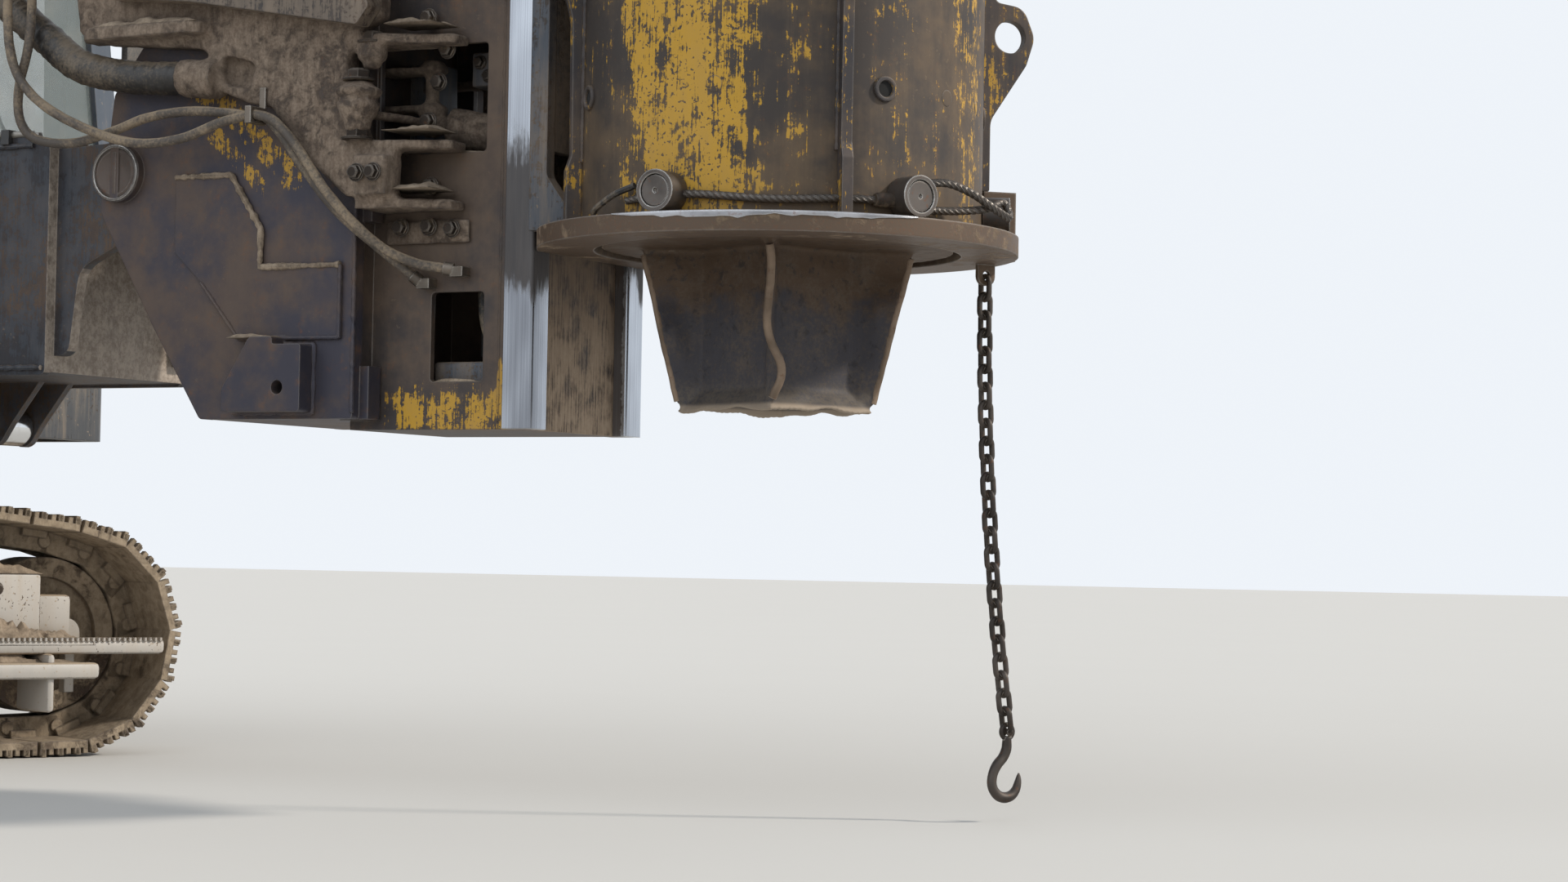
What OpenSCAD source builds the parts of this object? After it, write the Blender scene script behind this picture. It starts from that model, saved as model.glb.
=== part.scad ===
// Pile driver rig: crawler base, revolving upper, raking leader, hydraulic hammer and driving helmet.
// Millimetres, +X forward, +Y to port, +Z up. The origin is on the ground, at the outline's middle.

/* [Crawler] */
// Distance between the middles of the two tracks
track_gauge = 2900; // [2800:10:3100]
// Turn of the undercarriage under the upper works, as parked
under_turn = 67; // [-90:1:90]
// Width of a track shoe
shoe_w = 700; // [600:10:760]
// Thickness of a shoe's plate
shoe_t = 26; // [20:1:34]
// Height of a shoe's grouser
grouser_h = 28; // [18:1:40]
// Length of one shoe along the track
shoe_pitch = 190; // [170:1:216]
// Radius of the track where it runs round the idler
idler_r = 388; // [370:1:420]
// Radius of the track where it runs round the sprocket
sprocket_r = 440; // [425:1:470]
// Distance from the slew axis to each end of the track
track_reach = 2230; // [2100:10:2500]
// Depth of the link chain inside the shoes
link_h = 105; // [90:1:120]
// Width of the link chain
link_w = 190; // [150:1:220]
// Radius of a bottom roller
roller_r = 92; // [80:1:100]
// Number of bottom rollers on one side
roller_count = 8; // [6:1:9]

/* [Upper works] */
// Height of the slewing ring's top
ring_top = 1110; // [1080:10:1200]
// Half width of the revolving deck
deck_half_w = 1420; // [1380:10:1480]
// Rear end of the deck, behind the slew axis
deck_rear = 3340; // [3200:10:3500]
// Depth of the deck's frame
deck_h = 300; // [240:10:360]
// Height of the engine housing
hood_h = 1340; // [1200:10:1500]
// Wall of the engine housing and its doors
hood_wall = 24; // [20:1:30]
// Length of the counterweight
weight_l = 760; // [600:10:900]
// Height of the cab
cab_h = 1760; // [1650:10:1850]
// Width of the cab
cab_w = 940; // [900:10:960]
// Wall of the cab and its door
cab_wall = 40; // [36:1:50]

/* [Arm] */
// Distance from the slew axis to the pile axis
pile_reach = 5600; // [5500:10:5700]
// Height of the pin that carries the leader's carriage
foot_pin_z = 1830; // [1800:5:1860]
// Distance from the pile axis back to that pin
foot_pin_back = 2010; // [1990:5:2040]
// Radius of that pin
foot_pin_r = 60; // [50:1:70]
// Half width of the arm
arm_half_w = 340; // [320:5:344]
// Plate thickness of the arm
arm_plate = 30; // [20:1:40]

/* [Leader] */
// Distance from the pile axis back to the leader's guide rails
leader_gap = 600; // [596:1:606]
// Depth of the leader from its rails to its back
leader_depth = 640; // [620:5:660]
// Width over the leader's guide rails
leader_w = 610; // [600:2:616]
// Side of the leader's box between its side plates
leader_box_w = 500; // [480:2:506]
// Plate thickness of the leader
leader_plate = 20; // [14:1:26]
// Width of a guide rail
rail_w = 90; // [84:1:96]
// Depth of a guide rail
rail_d = 95; // [88:1:104]
// How far the front plate lies behind the rails' faces
front_recess = 45; // [30:1:60]
// Height of the leader's lower end above the ground
leader_foot_z = 1076; // [1060:1:1090]
// Length of the leader
leader_l = 15000; // [14000:100:17000]
// Height of the carriage's upper end above the ground
carriage_top_z = 7150; // [7000:10:7400]

/* [Hammer] */
// Radius of the hammer's sleeve
sleeve_r = 560; // [545:1:570]
// Wall of the sleeve
sleeve_wall = 30; // [20:1:40]
// Height of the sleeve
sleeve_h = 1700; // [1500:10:1800]
// Radius of the bottom flange
flange_r = 662; // [650:1:680]
// Thickness of the bottom flange
flange_t = 52; // [40:1:60]
// Underside of the bottom flange above the ground
flange_z = 1566; // [1560:1:1580]
// Radius of the opening through the bottom flange
mouth_r = 505; // [490:1:515]
// Height of the upper casing that holds the ram's cylinder
upper_case_h = 2450; // [2300:10:2700]
// Radius of the upper casing
upper_case_r = 410; // [390:1:430]
// Radius of the ram
ram_r = 300; // [260:1:330]
// Radius of the hole in the lifting ear
ear_hole_r = 46; // [40:1:50]

/* [Helmet and chain] */
// Outer side of the helmet's square socket
socket_side = 304; // [290:1:320]
// Clear side of the socket, for the pile
pile_side = 272; // [262:1:280]
// Lowest point of the helmet above the ground
helmet_z = 1130; // [1124:1:1140]
// Turn of the helmet about the pile axis
helmet_turn = -20.8; // [-30:0.1:-10]
// Pitch of the chain's links
link_pitch = 50.5; // [48:0.5:53]
// Thickness of the chain's wire
link_wire = 15; // [12:1:16]
// Number of links
link_count = 25; // [21:2:25]

/* [Hidden] */
$fn = 48;
fit = 0.3;        // gap between faces that touch in use
run = 6;          // running gap between pieces that move past each other
arc_n = 5;        // steps in a plate's rounded corner

// Crawler, derived
loop_floor = grouser_h;
loop_top = grouser_h + 2 * sprocket_r;
sprocket_x = -(track_reach - grouser_h - sprocket_r);
idler_x = track_reach - grouser_h - idler_r;
carrier_x = 1000;
idler_o = [idler_x, loop_floor + idler_r];
sprocket_o = [sprocket_x, loop_floor + sprocket_r];
to_carrier = [carrier_x - idler_o[0], loop_top - idler_o[1]];
leave = atan2(to_carrier[1], to_carrier[0]) - acos(idler_r / norm(to_carrier));
leave_p = idler_o + idler_r * [cos(leave), sin(leave)];
run_1 = idler_x - sprocket_x;
run_2 = run_1 + idler_r * (leave + 90) * PI / 180;
run_3 = run_2 + norm(leave_p - [carrier_x, loop_top]);
run_4 = run_3 + carrier_x - sprocket_x;
run_5 = run_4 + sprocket_r * PI;
shoe_count = round(run_5 / shoe_pitch);
step_s = run_5 / shoe_count;
half_turn_idler = step_s / idler_r * 90 / PI;
half_turn_sprocket = step_s / sprocket_r * 90 / PI;
idler_wheel_r = (idler_r - link_h) * cos(half_turn_idler) - fit;
sprocket_wheel_r = (sprocket_r - link_h) * cos(half_turn_sprocket) - fit;
roller_z = loop_floor + link_h + roller_r + fit;
carrier_roller_r = 80;
carrier_roller_z = loop_top - link_h - carrier_roller_r - fit;
beam_low = roller_z + roller_r + 26;
beam_high = 600;
beam_half_w = 190;
guard_t = 24;
guard_y = link_w / 2 + 16;
body_half = 760;
body_low = 430;
body_high = ring_top - 250;
pedestal_r = 760;
motor_r = 235;

// The rig's outline in X, for the origin
tail = deck_rear + weight_l;
nose = pile_reach + flange_r;
slew_x = (tail - nose) / 2;

// Upper, derived
deck_z = ring_top + 6;
deck_top = deck_z + deck_h;
hood_front = -940;
hood_rear = -deck_rear + 20;
hood_half_w = deck_half_w - 60;
hood_top = deck_top + hood_h;
hood_door_l = 1500;
hood_door_h = hood_h - 420;
hood_door_x = hood_rear + 420;
hood_door_z = deck_top + 130;
weight_low = deck_z + 20;
weight_high = deck_top + 1010;
cab_inner_y = 590;
cab_outer_y = cab_inner_y + cab_w;
cab_floor_z = deck_top + 8;
cab_rear_x = 170;
cab_front_x = 2060;
cab_top_z = cab_floor_z + cab_h;
door_gap = 8;
door_x0 = 930;
door_x1 = 1800;
door_z0 = cab_floor_z + 90;
door_z1 = cab_top_z - 150;
pane = 10;
knuckle_r = 13;
knuckle_h = 50;
hinge_pin_r = 6;
strap_l = 90;
strap_t = 6;
cab_hinge = door_x0 - door_gap / 2;
cab_knuckles = [door_z0 + 180, door_z0 + 700, door_z1 - 260];
hood_hinge = hood_door_x - door_gap / 2;
hood_knuckles = [hood_door_z + 160, hood_door_z + hood_door_h - 210];

// Arm, carriage and leader, derived
pin_x = pile_reach - foot_pin_back;
rail_face_x = pile_reach - leader_gap;
leader_back_x = rail_face_x - leader_depth;
box_front_x = rail_face_x - front_recess;
rear_rail_d = 70;
rear_rail_half = 300;
claw_t = 44;
casting_t = 66;
bracket_in = rear_rail_half + fit;
bracket_out = bracket_in + claw_t + run;
pin_head_r = 86;
pin_head_t = 26;
arm_low_z = foot_pin_z - 590;
arm_high_z = foot_pin_z + 130;
arm_end_x = pile_reach - 2290;
arm_foot_x = 1250;
arm_foot_z = foot_pin_z - 190;
arm_foot_r = 60;
ear_t = 60;
tongue_t = 40;
tongue_half = bracket_out - claw_t - run;
deck_front_x = arm_foot_x + 120;
back_tip = [leader_back_x - 290, carriage_top_z - 150];
back_foot = [arm_foot_x + 80, arm_foot_z + 780];
back_len = norm(back_tip - back_foot);
backstay_y = 452;
backstay_pin_r = 50;
barrel_r = 105;
rod_r = 62;
lift_base = [deck_front_x + 90, deck_z + 14];
lift_tip = [arm_foot_x + 1450, arm_low_z - 130];
lift_len = norm(lift_tip - lift_base);
lift_y = 200;
lift_pin_r = 40;
lift_barrel_r = 82;
lift_rod_r = 48;
backstay_eye = rod_r + 4;
lift_eye = lift_rod_r + 4;
lug_t = 24;
beam_y0 = 420;
beam_y1 = 540;
leader_top_z = leader_foot_z + leader_l;
head_h = 620;
sheave_r = 240;
sheave_pin_r = 45;
back_sheave_x = leader_back_x - 110;
front_sheave_x = pile_reach - 160;
w_head = leader_box_w / 2;
winch_low_z = 3500;
winch_high_z = 4620;
winch_x = leader_back_x - 360;
drum_r = 190;
drum_flange_r = 300;
drum_half = 190;

// Hammer and helmet, derived
flange_top = flange_z + flange_t;
sleeve_top = flange_top + sleeve_h;
upper_top = sleeve_top + upper_case_h;
rib_turns = [-45, 45, 135, -135];
sling_turns = [-92.5, -26.5, 26.5, 92.5];
sling_boss_r = 55;
sling_pin_r = 40;
ear_z = flange_top + 592;
ear_r = sleeve_r + 110;
guide_half = 345;
anvil_r = sleeve_r - sleeve_wall - run - 2;
anvil_top = flange_top + fit + 110;
socket_high = flange_z + 10;

// Chain and hook, derived
chain_r = flange_r - 50;
chain_top_z = flange_z - 32;
chain_drift = 102;
chain_turn = 62;
link_half_w = link_wire * 1.25;
link_straight = link_pitch / 2 - link_wire * 0.75;
link_reach = link_straight + link_half_w;
link_seat = 1.6;
chain_l = link_pitch * (link_count - 1) + 2 * link_reach;
hook_bowl_r = 34;
hook_drop = 134;

// Hoses: each point is [ahead of the pile axis, to port, up], chosen by hand
hose_r = 14;
sleeve_hose_r = 50;
gland_l = 28;
clamp_back = 1445;
clamp_z = 1962;
hose_front_route = [[-2305, -525, 2370], [-2305, -525, 2300], [-2295, -525, 2200], [-2260, -520, 2105],
  [-2175, -505, 2020], [-2025, -485, 1945], [-1860, -475, 1900], [-1700, -472, 1905], [-1560, -470, 1945],
  [-1460, -468, 1962], [-1430, -468, 1962], [-1370, -462, 1940], [-1300, -450, 1865], [-1215, -440, 1750],
  [-1130, -420, 1655], [-1055, -370, 1580], [-975, -320, 1540], [-905, -290, 1528]];
hose_rear_route = [[-2245, -490, 2370], [-2245, -490, 2300], [-2255, -490, 2195], [-2290, -485, 2080],
  [-2290, -475, 1985], [-2240, -460, 1930], [-2115, -442, 1915], [-1970, -436, 1945], [-1850, -434, 1978],
  [-1700, -434, 1990], [-1560, -434, 1978], [-1460, -434, 1962], [-1430, -434, 1962], [-1375, -434, 1915],
  [-1305, -415, 1815], [-1230, -400, 1720], [-1160, -380, 1650], [-1090, -340, 1585],
  [-1010, -290, 1510]];
hose_sleeved_route = [[-2440, -410, 2385], [-2375, -410, 2325], [-2245, -410, 2232], [-2120, -410, 2147],
  [-1935, -410, 2105], [-1740, -410, 2090]];

// Turns a plate outline's corners, each [x, y, radius], into arcs
function unit(v) = v / norm(v);
function corner(a, b, c, r, n) =
  r <= 0 ? [b] :
  let (u = unit(a - b), v = unit(c - b), open = acos(u * v), turn = 180 - open,
    o = b + unit(u + v) * r / sin(open / 2), p = b + u * r / tan(open / 2) - o,
    q = b + v * r / tan(open / 2) - o)
  [for (k = [0:n]) o + (p * sin((1 - k / n) * turn) + q * sin(k / n * turn)) / sin(turn)];
function xy(p) = [p[0], p[1]];
function rounded(pts, n = arc_n) =
  let (c = len(pts))
  [for (i = [0:c - 1]) each corner(xy(pts[(i + c - 1) % c]), xy(pts[i]), xy(pts[(i + 1) % c]),
    pts[i][2] == undef ? 0 : pts[i][2], n)];

// Plates and bars
module rig() { translate([slew_x, 0, 0]) children(); }
module under() { rig() rotate([0, 0, under_turn]) children(); }
module box(x0, x1, y0, y1, z0, z1) { translate([x0, y0, z0]) cube([x1 - x0, y1 - y0, z1 - z0]); }
module side_plate(pts, y0, y1) {
  translate([0, y1, 0]) rotate([90, 0, 0]) linear_extrude(y1 - y0) polygon(rounded(pts));
}
module cross_plate(pts, x0, x1) {
  translate([x0, 0, 0]) rotate([90, 0, 90]) linear_extrude(x1 - x0) polygon(rounded(pts));
}
module floor_plate(pts, z0, z1) { translate([0, 0, z0]) linear_extrude(z1 - z0) polygon(rounded(pts)); }
module both_sides() { children(); mirror([0, 1, 0]) children(); }
module cross_pin(x, z, r, y0, y1) {
  translate([x, y1, z]) rotate([90, 0, 0]) cylinder(r = r, h = y1 - y0);
}
module upright(x, y, r, z0, z1) { translate([x, y, z0]) cylinder(r = r, h = z1 - z0); }
module bar(p, q, r) {
  d = q - p;
  translate(p) rotate([0, acos(d[2] / norm(d)), atan2(d[1], d[0])]) cylinder(r = r, h = norm(d));
}
module disc(r, z, h) { translate([0, 0, z]) cylinder(r = r, h = h, $fn = 96); }
module ring(r, inner, z0, z1) {
  difference() {
    disc(r, z0, z1 - z0);
    disc(inner, z0 - 1, z1 - z0 + 2);
  }
}

// Crawler
function loop_at(s) =
  s < run_1 ? [sprocket_x + s, loop_floor, -90] :
  s < run_2 ? let (a = -90 + (s - run_1) / idler_r * 180 / PI)
    [idler_o[0] + idler_r * cos(a), idler_o[1] + idler_r * sin(a), a] :
  s < run_3 ? let (w = (s - run_2) / (run_3 - run_2))
    [leave_p[0] + w * (carrier_x - leave_p[0]), leave_p[1] + w * (loop_top - leave_p[1]), leave] :
  s < run_4 ? [carrier_x - (s - run_3), loop_top, 90] :
  let (a = 90 + (s - run_4) / sprocket_r * 180 / PI)
    [sprocket_o[0] + sprocket_r * cos(a), sprocket_o[1] + sprocket_r * sin(a), a];
function shoe_point(i, w, out) =
  let (a = loop_at(i * step_s), b = loop_at(((i + 1) % shoe_count) * step_s), d = unit(xy(b) - xy(a)))
  xy(a) + w * (xy(b) - xy(a)) + out * [d[1], -d[0]];
function inner_loop(depth) = [for (i = [0:shoe_count - 1]) let (p = loop_at(i * step_s)) xy(p) - depth *
  [cos(p[2]), sin(p[2])]];
shoe_steps = [[0.02, 0], [0.06, grouser_h], [0.16, grouser_h], [0.22, 0], [0.98, 0]];
module track() {
  w = shoe_w / 2;
  translate([0, w, 0]) rotate([90, 0, 0]) linear_extrude(shoe_w) difference() {
    polygon([for (i = [0:shoe_count - 1]) for (s = shoe_steps) shoe_point(i, s[0], s[1])]);
    polygon(inner_loop(shoe_t));
  }
  translate([0, link_w / 2, 0]) rotate([90, 0, 0]) linear_extrude(link_w) difference() {
    polygon(inner_loop(shoe_t - 4));
    polygon(inner_loop(link_h));
  }
}
module track_left() { color("dimgray") under() translate([0, track_gauge / 2, 0]) track(); }
module track_right() { color("dimgray") under() translate([0, -track_gauge / 2, 0]) track(); }

// One side's long beam, with the roller guards below and the step on its flank
module side_frame() {
  x0 = sprocket_x + 350;
  x1 = idler_x - 320;
  side_plate([[x0, beam_low], [x1, beam_low, 20], [x1, beam_high - 110, 40], [x1 - 260, beam_high, 60],
    [x0 + 120, beam_high, 60], [x0, beam_high - 90, 30]], -beam_half_w, beam_half_w);
  for (y = [-1, 1]) {
    side_plate([[x0 + 90, beam_low + 2], [x1 - 130, beam_low + 2], [x1 - 200, roller_z - 34, 30],
      [x0 + 160, roller_z - 34, 30]], y * (guard_y + guard_t / 2) - guard_t / 2,
      y * (guard_y + guard_t / 2) + guard_t / 2);
    side_plate([[x1 - 10, idler_o[1] - 70, 30], [idler_x + 90, idler_o[1] - 60, 50],
      [idler_x + 90, idler_o[1] + 60, 50], [x1 - 10, idler_o[1] + 70, 30]], y * (beam_half_w - 18) - 18,
      y * (beam_half_w - 18) + 18);
  }
  for (x = [-450, 750]) {
    upright(x, 0, 46, beam_high - 10, carrier_roller_z - 20);
  }
  upright(sprocket_x + 420, 0, 60, beam_high - 60, beam_high + 20);
}
// Steps and guards on the flanks of the side frames
module flank_step(y) {
  for (x = [-1150, 1290]) {
    side_plate([[x, 360], [x + 640, 360], [x + 640, 398], [x, 398]], y, y + 150);
    for (w = [60, 540]) {
      side_plate([[x + w, 399 - 180], [x + w + 36, 399 - 180], [x + w + 36, 362], [x + w, 362]], y,
        y + 40);
    }
  }
}
module track_frames() {
  color("gainsboro") under() both_sides() translate([0, track_gauge / 2, 0]) difference() {
    union() {
      side_frame();
      flank_step(beam_half_w - 2);
      cross_pin(sprocket_x, sprocket_o[1], motor_r + 50, -beam_half_w - 34, -beam_half_w + 26);
      box(sprocket_x, sprocket_x + 420, -beam_half_w - 34, -beam_half_w + 26, beam_low + 30,
        beam_high - 50);
    }
    cross_pin(idler_x, idler_o[1], 46 + fit, -300, 300);
    cross_pin(sprocket_x, sprocket_o[1], motor_r + fit, -300, 0);
  }
}
module roller(x, z, r) {
  cross_pin(x, z, r, -link_w / 2 + 20, link_w / 2 - 20);
  cross_pin(x, z, r * 0.5, -guard_y - fit + 1, guard_y + fit - 1);
}
module track_rollers() {
  span = idler_x - sprocket_x - 900;
  color("dimgray") under() for (side = [-1, 1]) translate([0, side * track_gauge / 2, 0]) {
    for (i = [0:roller_count - 1]) roller(sprocket_x + 470 + span * i / (roller_count - 1), roller_z,
      roller_r);
    for (x = [-450, 750]) difference() {
      cross_pin(x, carrier_roller_z, carrier_roller_r, -link_w / 2, link_w / 2);
      upright(x, 0, 46 + fit, beam_high - 10, carrier_roller_z - 20 + fit);
    }
  }
}
module idlers() {
  color("dimgray") under() for (side = [-1, 1]) translate([0, side * track_gauge / 2, 0]) {
    difference() {
      cross_pin(idler_x, idler_o[1], idler_wheel_r, -link_w / 2 + 10, link_w / 2 - 10);
      for (y = [-1, 1]) translate([0, y * (link_w / 2 + 20), 0])
        cross_pin(idler_x, idler_o[1], idler_wheel_r - 70, -55, 55);
    }
    cross_pin(idler_x, idler_o[1], 46, -beam_half_w, beam_half_w);
    cross_pin(idler_x, idler_o[1], 95, -beam_half_w + 38, beam_half_w - 38);
  }
}
module sprockets() {
  drive_y = beam_half_w - 30;
  color("dimgray") under() both_sides() translate([sprocket_x, track_gauge / 2, sprocket_o[1]]) {
    difference() {
      cross_pin(0, 0, sprocket_wheel_r, -link_w / 2 + 20, link_w / 2 - 20);
      for (a = [0:30:330]) rotate([0, a, 0]) cross_pin(sprocket_wheel_r - 90, 0, 26, -link_w, link_w);
    }
    cross_pin(0, 0, motor_r, -beam_half_w - 38, 40);
    cross_pin(0, 0, 200, -60, drive_y + 60);
    cross_pin(0, 0, 120, drive_y, drive_y + 100);
    for (a = [0:45:315]) rotate([0, a, 0]) cross_pin(160, 0, 18, drive_y, drive_y + 76);
  }
}
module car_body() {
  reach_y = track_gauge / 2 - beam_half_w - fit;
  leg_half = 210;
  shell = 30;
  color("gainsboro") under() difference() {
    union() {
      floor_plate([[-body_half, -620, 120], [body_half, -620, 120], [body_half, 620, 120],
        [-body_half, 620, 120]], body_low, body_high);
      for (x = [-1, 1]) cross_plate([[-reach_y, beam_low + 30], [-560, body_low + 10, 60],
        [560, body_low + 10, 60], [reach_y, beam_low + 30], [reach_y, beam_high - 40],
        [620, body_high - 30, 80], [-620, body_high - 30, 80], [-reach_y, beam_high - 40]],
        x * 700 - leg_half, x * 700 + leg_half);
      translate([0, 0, body_high - 2]) cylinder(r = pedestal_r, h = ring_top - 100 - body_high + 2 - fit,
        $fn = 96);
      for (x = [-1, 1]) for (y = [-1, 1]) translate([x * (700 + leg_half + 30), y * 260, 0])
        side_plate([[-60, 520, 40], [60, 520, 40], [60, 640, 40], [-60, 640, 40]], -20, 20);
    }
    for (x = [-1, 1]) for (y = [-1, 1]) cross_pin(x * (700 + leg_half + 52), 580, 24, y * 260 - 60,
      y * 260 + 60);
    // the legs and the box between them are plate, open below
    for (x = [-1, 1]) cross_plate([[-reach_y + shell, 0], [reach_y - shell, 0],
      [reach_y - shell, beam_high - 74], [590, body_high - 70], [-590, body_high - 70],
      [-reach_y + shell, beam_high - 74]], x * 700 - leg_half + shell, x * 700 + leg_half - shell);
    difference() {
      box(-460, 460, -590, 590, body_low - 10, body_high - 50);
      cylinder(r = 330, h = ring_top);
    }
    translate([0, 0, body_low - 1]) cylinder(r = 240, h = ring_top);
  }
}
module slew_ring() {
  color("dimgray") rig() difference() {
    union() {
      ring(720, 520, ring_top - 100, ring_top - 40);
      ring(690, 520, ring_top - 42, ring_top);
    }
    for (a = [0:15:345]) rotate([0, 0, a]) upright(620, 0, 16, ring_top - 60, ring_top + 5);
  }
}

// Revolving deck, with the centre beams that carry the arm and the backstays
module deck() {
  ear = [[arm_foot_x - 420, deck_top - 40], [arm_foot_x + 110, deck_top - 40, 30],
    [arm_foot_x + 170, arm_foot_z + 90, 130], [arm_foot_x - 130, arm_foot_z + 170, 130],
    [arm_foot_x - 700, deck_top + 60, 100], [arm_foot_x - 900, deck_top - 40]];
  top = 26;
  color("dimgray") rig() difference() {
    union() {
      floor_plate([[-deck_rear, -deck_half_w, 60], [cab_rear_x - 60, -deck_half_w, 60],
        [cab_rear_x - 20, -deck_half_w + 120], [cab_front_x - 40, -deck_half_w + 120, 80],
        [cab_front_x - 40, -560, 40], [deck_front_x, -470], [deck_front_x, 470],
        [cab_front_x - 40, 560, 40], [cab_front_x - 40, cab_outer_y, 80], [cab_rear_x - 20, cab_outer_y],
        [cab_rear_x - 60, deck_half_w, 60], [-deck_rear, deck_half_w, 60]], deck_z, deck_top);
      ring(700, 500, ring_top + fit, deck_z + 2);
      both_sides() {
        side_plate(ear, arm_half_w + run, arm_half_w + run + ear_t);
        for (s = [-1, 1]) translate([0, lift_y + s * (70 + run + lug_t / 2), 0])
          side_plate([[deck_front_x - 10, deck_z + 4], [lift_base[0] + 10, lift_base[1] - 62, 50],
            [lift_base[0] + 62, lift_base[1] + 10, 50], [deck_front_x + 40, deck_top - 60, 60],
            [deck_front_x - 10, deck_top - 20]], -12, 12);
        cross_pin(lift_base[0], lift_base[1], lift_pin_r, lift_y - 90, lift_y + 90);
      }
    }
    translate([0, 0, deck_z - 20]) cylinder(r = 300, h = deck_h + 60);
    both_sides() cross_pin(arm_foot_x, arm_foot_z, arm_foot_r + fit, 0, arm_half_w + 200);
    // plate deck over longitudinal and cross webs, open below
    for (x = [[-deck_rear + 60, -2120], [-2070, -840]]) for (y = [[-1370, -520], [-460, 460],
      [520, 1370]])
      box(x[0], x[1], y[0], y[1], deck_z - 10, deck_top - top);
    for (y = [[-1370, -800], [800, 1370]]) box(-780, 90, y[0], y[1], deck_z - 10, deck_top - top);
    box(190, cab_front_x - 100, -1250, -620, deck_z - 10, deck_top - top);
    box(190, cab_front_x - 100, 640, cab_outer_y - 50, deck_z - 10, deck_top - top);
  }
}
module counterweight() {
  w = deck_half_w;
  r = -deck_rear;
  color("steelblue") rig() difference() {
    floor_plate([[r - fit, -w, 20], [r - fit, w, 20], [r - weight_l * 0.62, w, 160],
      [r - weight_l, w * 0.62, 260], [r - weight_l, -w * 0.62, 260], [r - weight_l * 0.62, -w, 160]],
      weight_low, weight_high);
    floor_plate([[r - weight_l - 50, -560], [r - weight_l + 60, -560, 60], [r - weight_l + 60, 560, 60],
      [r - weight_l - 50, 560]], weight_low + 380, weight_high - 220);
    for (y = [-1, 1]) box(r - weight_l * 0.45 - 90, r - weight_l * 0.45 + 90, y * 900 - 120,
      y * 900 + 120, weight_high - 170, weight_high + 10);
  }
}
module engine_hood() {
  w = hood_half_w;
  outer = [[-w, deck_top + fit], [w, deck_top + fit], [w, hood_top - 90, 130], [w - 260, hood_top, 140],
    [-w + 260, hood_top, 140], [-w, hood_top - 90, 130]];
  t = hood_wall;
  inner = [[-w + t, deck_top - 5], [w - t, deck_top - 5], [w - t, hood_top - 90 - t / 2, 120],
    [w - 260 - t / 4, hood_top - t, 130], [-w + 260 + t / 4, hood_top - t, 130],
    [-w + t, hood_top - 90 - t / 2, 120]];
  color("steelblue") rig() {
    difference() {
      cross_plate(outer, hood_rear, hood_front);
      cross_plate(inner, hood_rear + t, hood_front - t);
      both_sides() box(hood_door_x - door_gap, hood_door_x + hood_door_l + door_gap, w - 200, w + 50,
        hood_door_z - door_gap, hood_door_z + hood_door_h + door_gap);
      for (i = [0:6]) box(hood_rear + 460 + i * 110, hood_rear + 520 + i * 110, -560, 560, hood_top - 60,
        hood_top + 20);
      for (i = [0:7]) both_sides() box(hood_rear + 110, hood_rear + 330, w - 60, w + 20,
        deck_top + 330 + i * 90, deck_top + 372 + i * 90);
      for (i = [0:9]) box(hood_rear - 10, hood_rear + 60, -620, 620, deck_top + 1040 + i * 20,
        deck_top + 1050 + i * 20);
      box(hood_front - 420, hood_front - 260, 720, 880, hood_top - 90, hood_top + 40);
    }
    both_sides() frame_knuckles(hood_hinge, w, hood_knuckles);
  }
}
module hood_door() {
  w = hood_half_w;
  difference() {
    side_plate([[hood_door_x, hood_door_z, 30], [hood_door_x + hood_door_l, hood_door_z, 30],
      [hood_door_x + hood_door_l, hood_door_z + hood_door_h, 30],
      [hood_door_x, hood_door_z + hood_door_h, 30]], w - hood_wall, w);
    for (i = [0:8]) box(hood_door_x + 180, hood_door_x + 780, w - 70, w + 20, hood_door_z + 170 + i * 66,
      hood_door_z + 200 + i * 66);
    box(hood_door_x + hood_door_l - 210, hood_door_x + hood_door_l - 90, w - 14, w + 20,
      hood_door_z + hood_door_h / 2 - 40, hood_door_z + hood_door_h / 2 + 40);
  }
  cross_pin(hood_door_x + hood_door_l - 150, hood_door_z + hood_door_h / 2, 26, w - 20, w - 2);
  door_knuckles(hood_hinge, w, hood_knuckles);
}
// Strap hinges: the frame's knuckle with its pin below, the door's knuckle above it
module frame_knuckles(x, y, heights) {
  for (z = heights) {
    upright(x, y + knuckle_r, knuckle_r, z - knuckle_h, z);
    upright(x, y + knuckle_r, hinge_pin_r, z - 1, z + knuckle_h - 4);
    box(x - strap_l, x - 2, y - 1, y + strap_t, z - knuckle_h, z);
  }
}
module door_knuckles(x, y, heights) {
  for (z = heights) difference() {
    union() {
      upright(x, y + knuckle_r, knuckle_r, z + fit, z + knuckle_h);
      box(x + 2, x + strap_l, y - 1, y + strap_t, z + fit, z + knuckle_h);
    }
    upright(x, y + knuckle_r, hinge_pin_r + fit, z - 5, z + knuckle_h + 5);
  }
}
module hood_door_left() { color("steelblue") rig() hood_door(); }
module hood_door_right() { color("steelblue") rig() mirror([0, 1, 0]) hood_door(); }
module engine() {
  color("dimgray") rig() {
    box(hood_rear + 640, hood_front - 520, -360, 360, deck_top + fit, deck_top + 760);
    box(hood_rear + 180, hood_rear + 300, -800, 800, deck_top + fit, deck_top + 1060);
  }
}
module exhaust() {
  x = hood_front - 340;
  color("dimgray") rig() difference() {
    union() {
      upright(x, 800, 62, hood_top - 300, hood_top + 520);
      upright(x, 800, 95, hood_top + fit, hood_top + 36);
    }
    upright(x, 800, 52, hood_top - 310, hood_top + 540);
    translate([x - 200, 700, hood_top + 470]) rotate([0, -35, 0]) cube([400, 200, 200]);
  }
}

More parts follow.
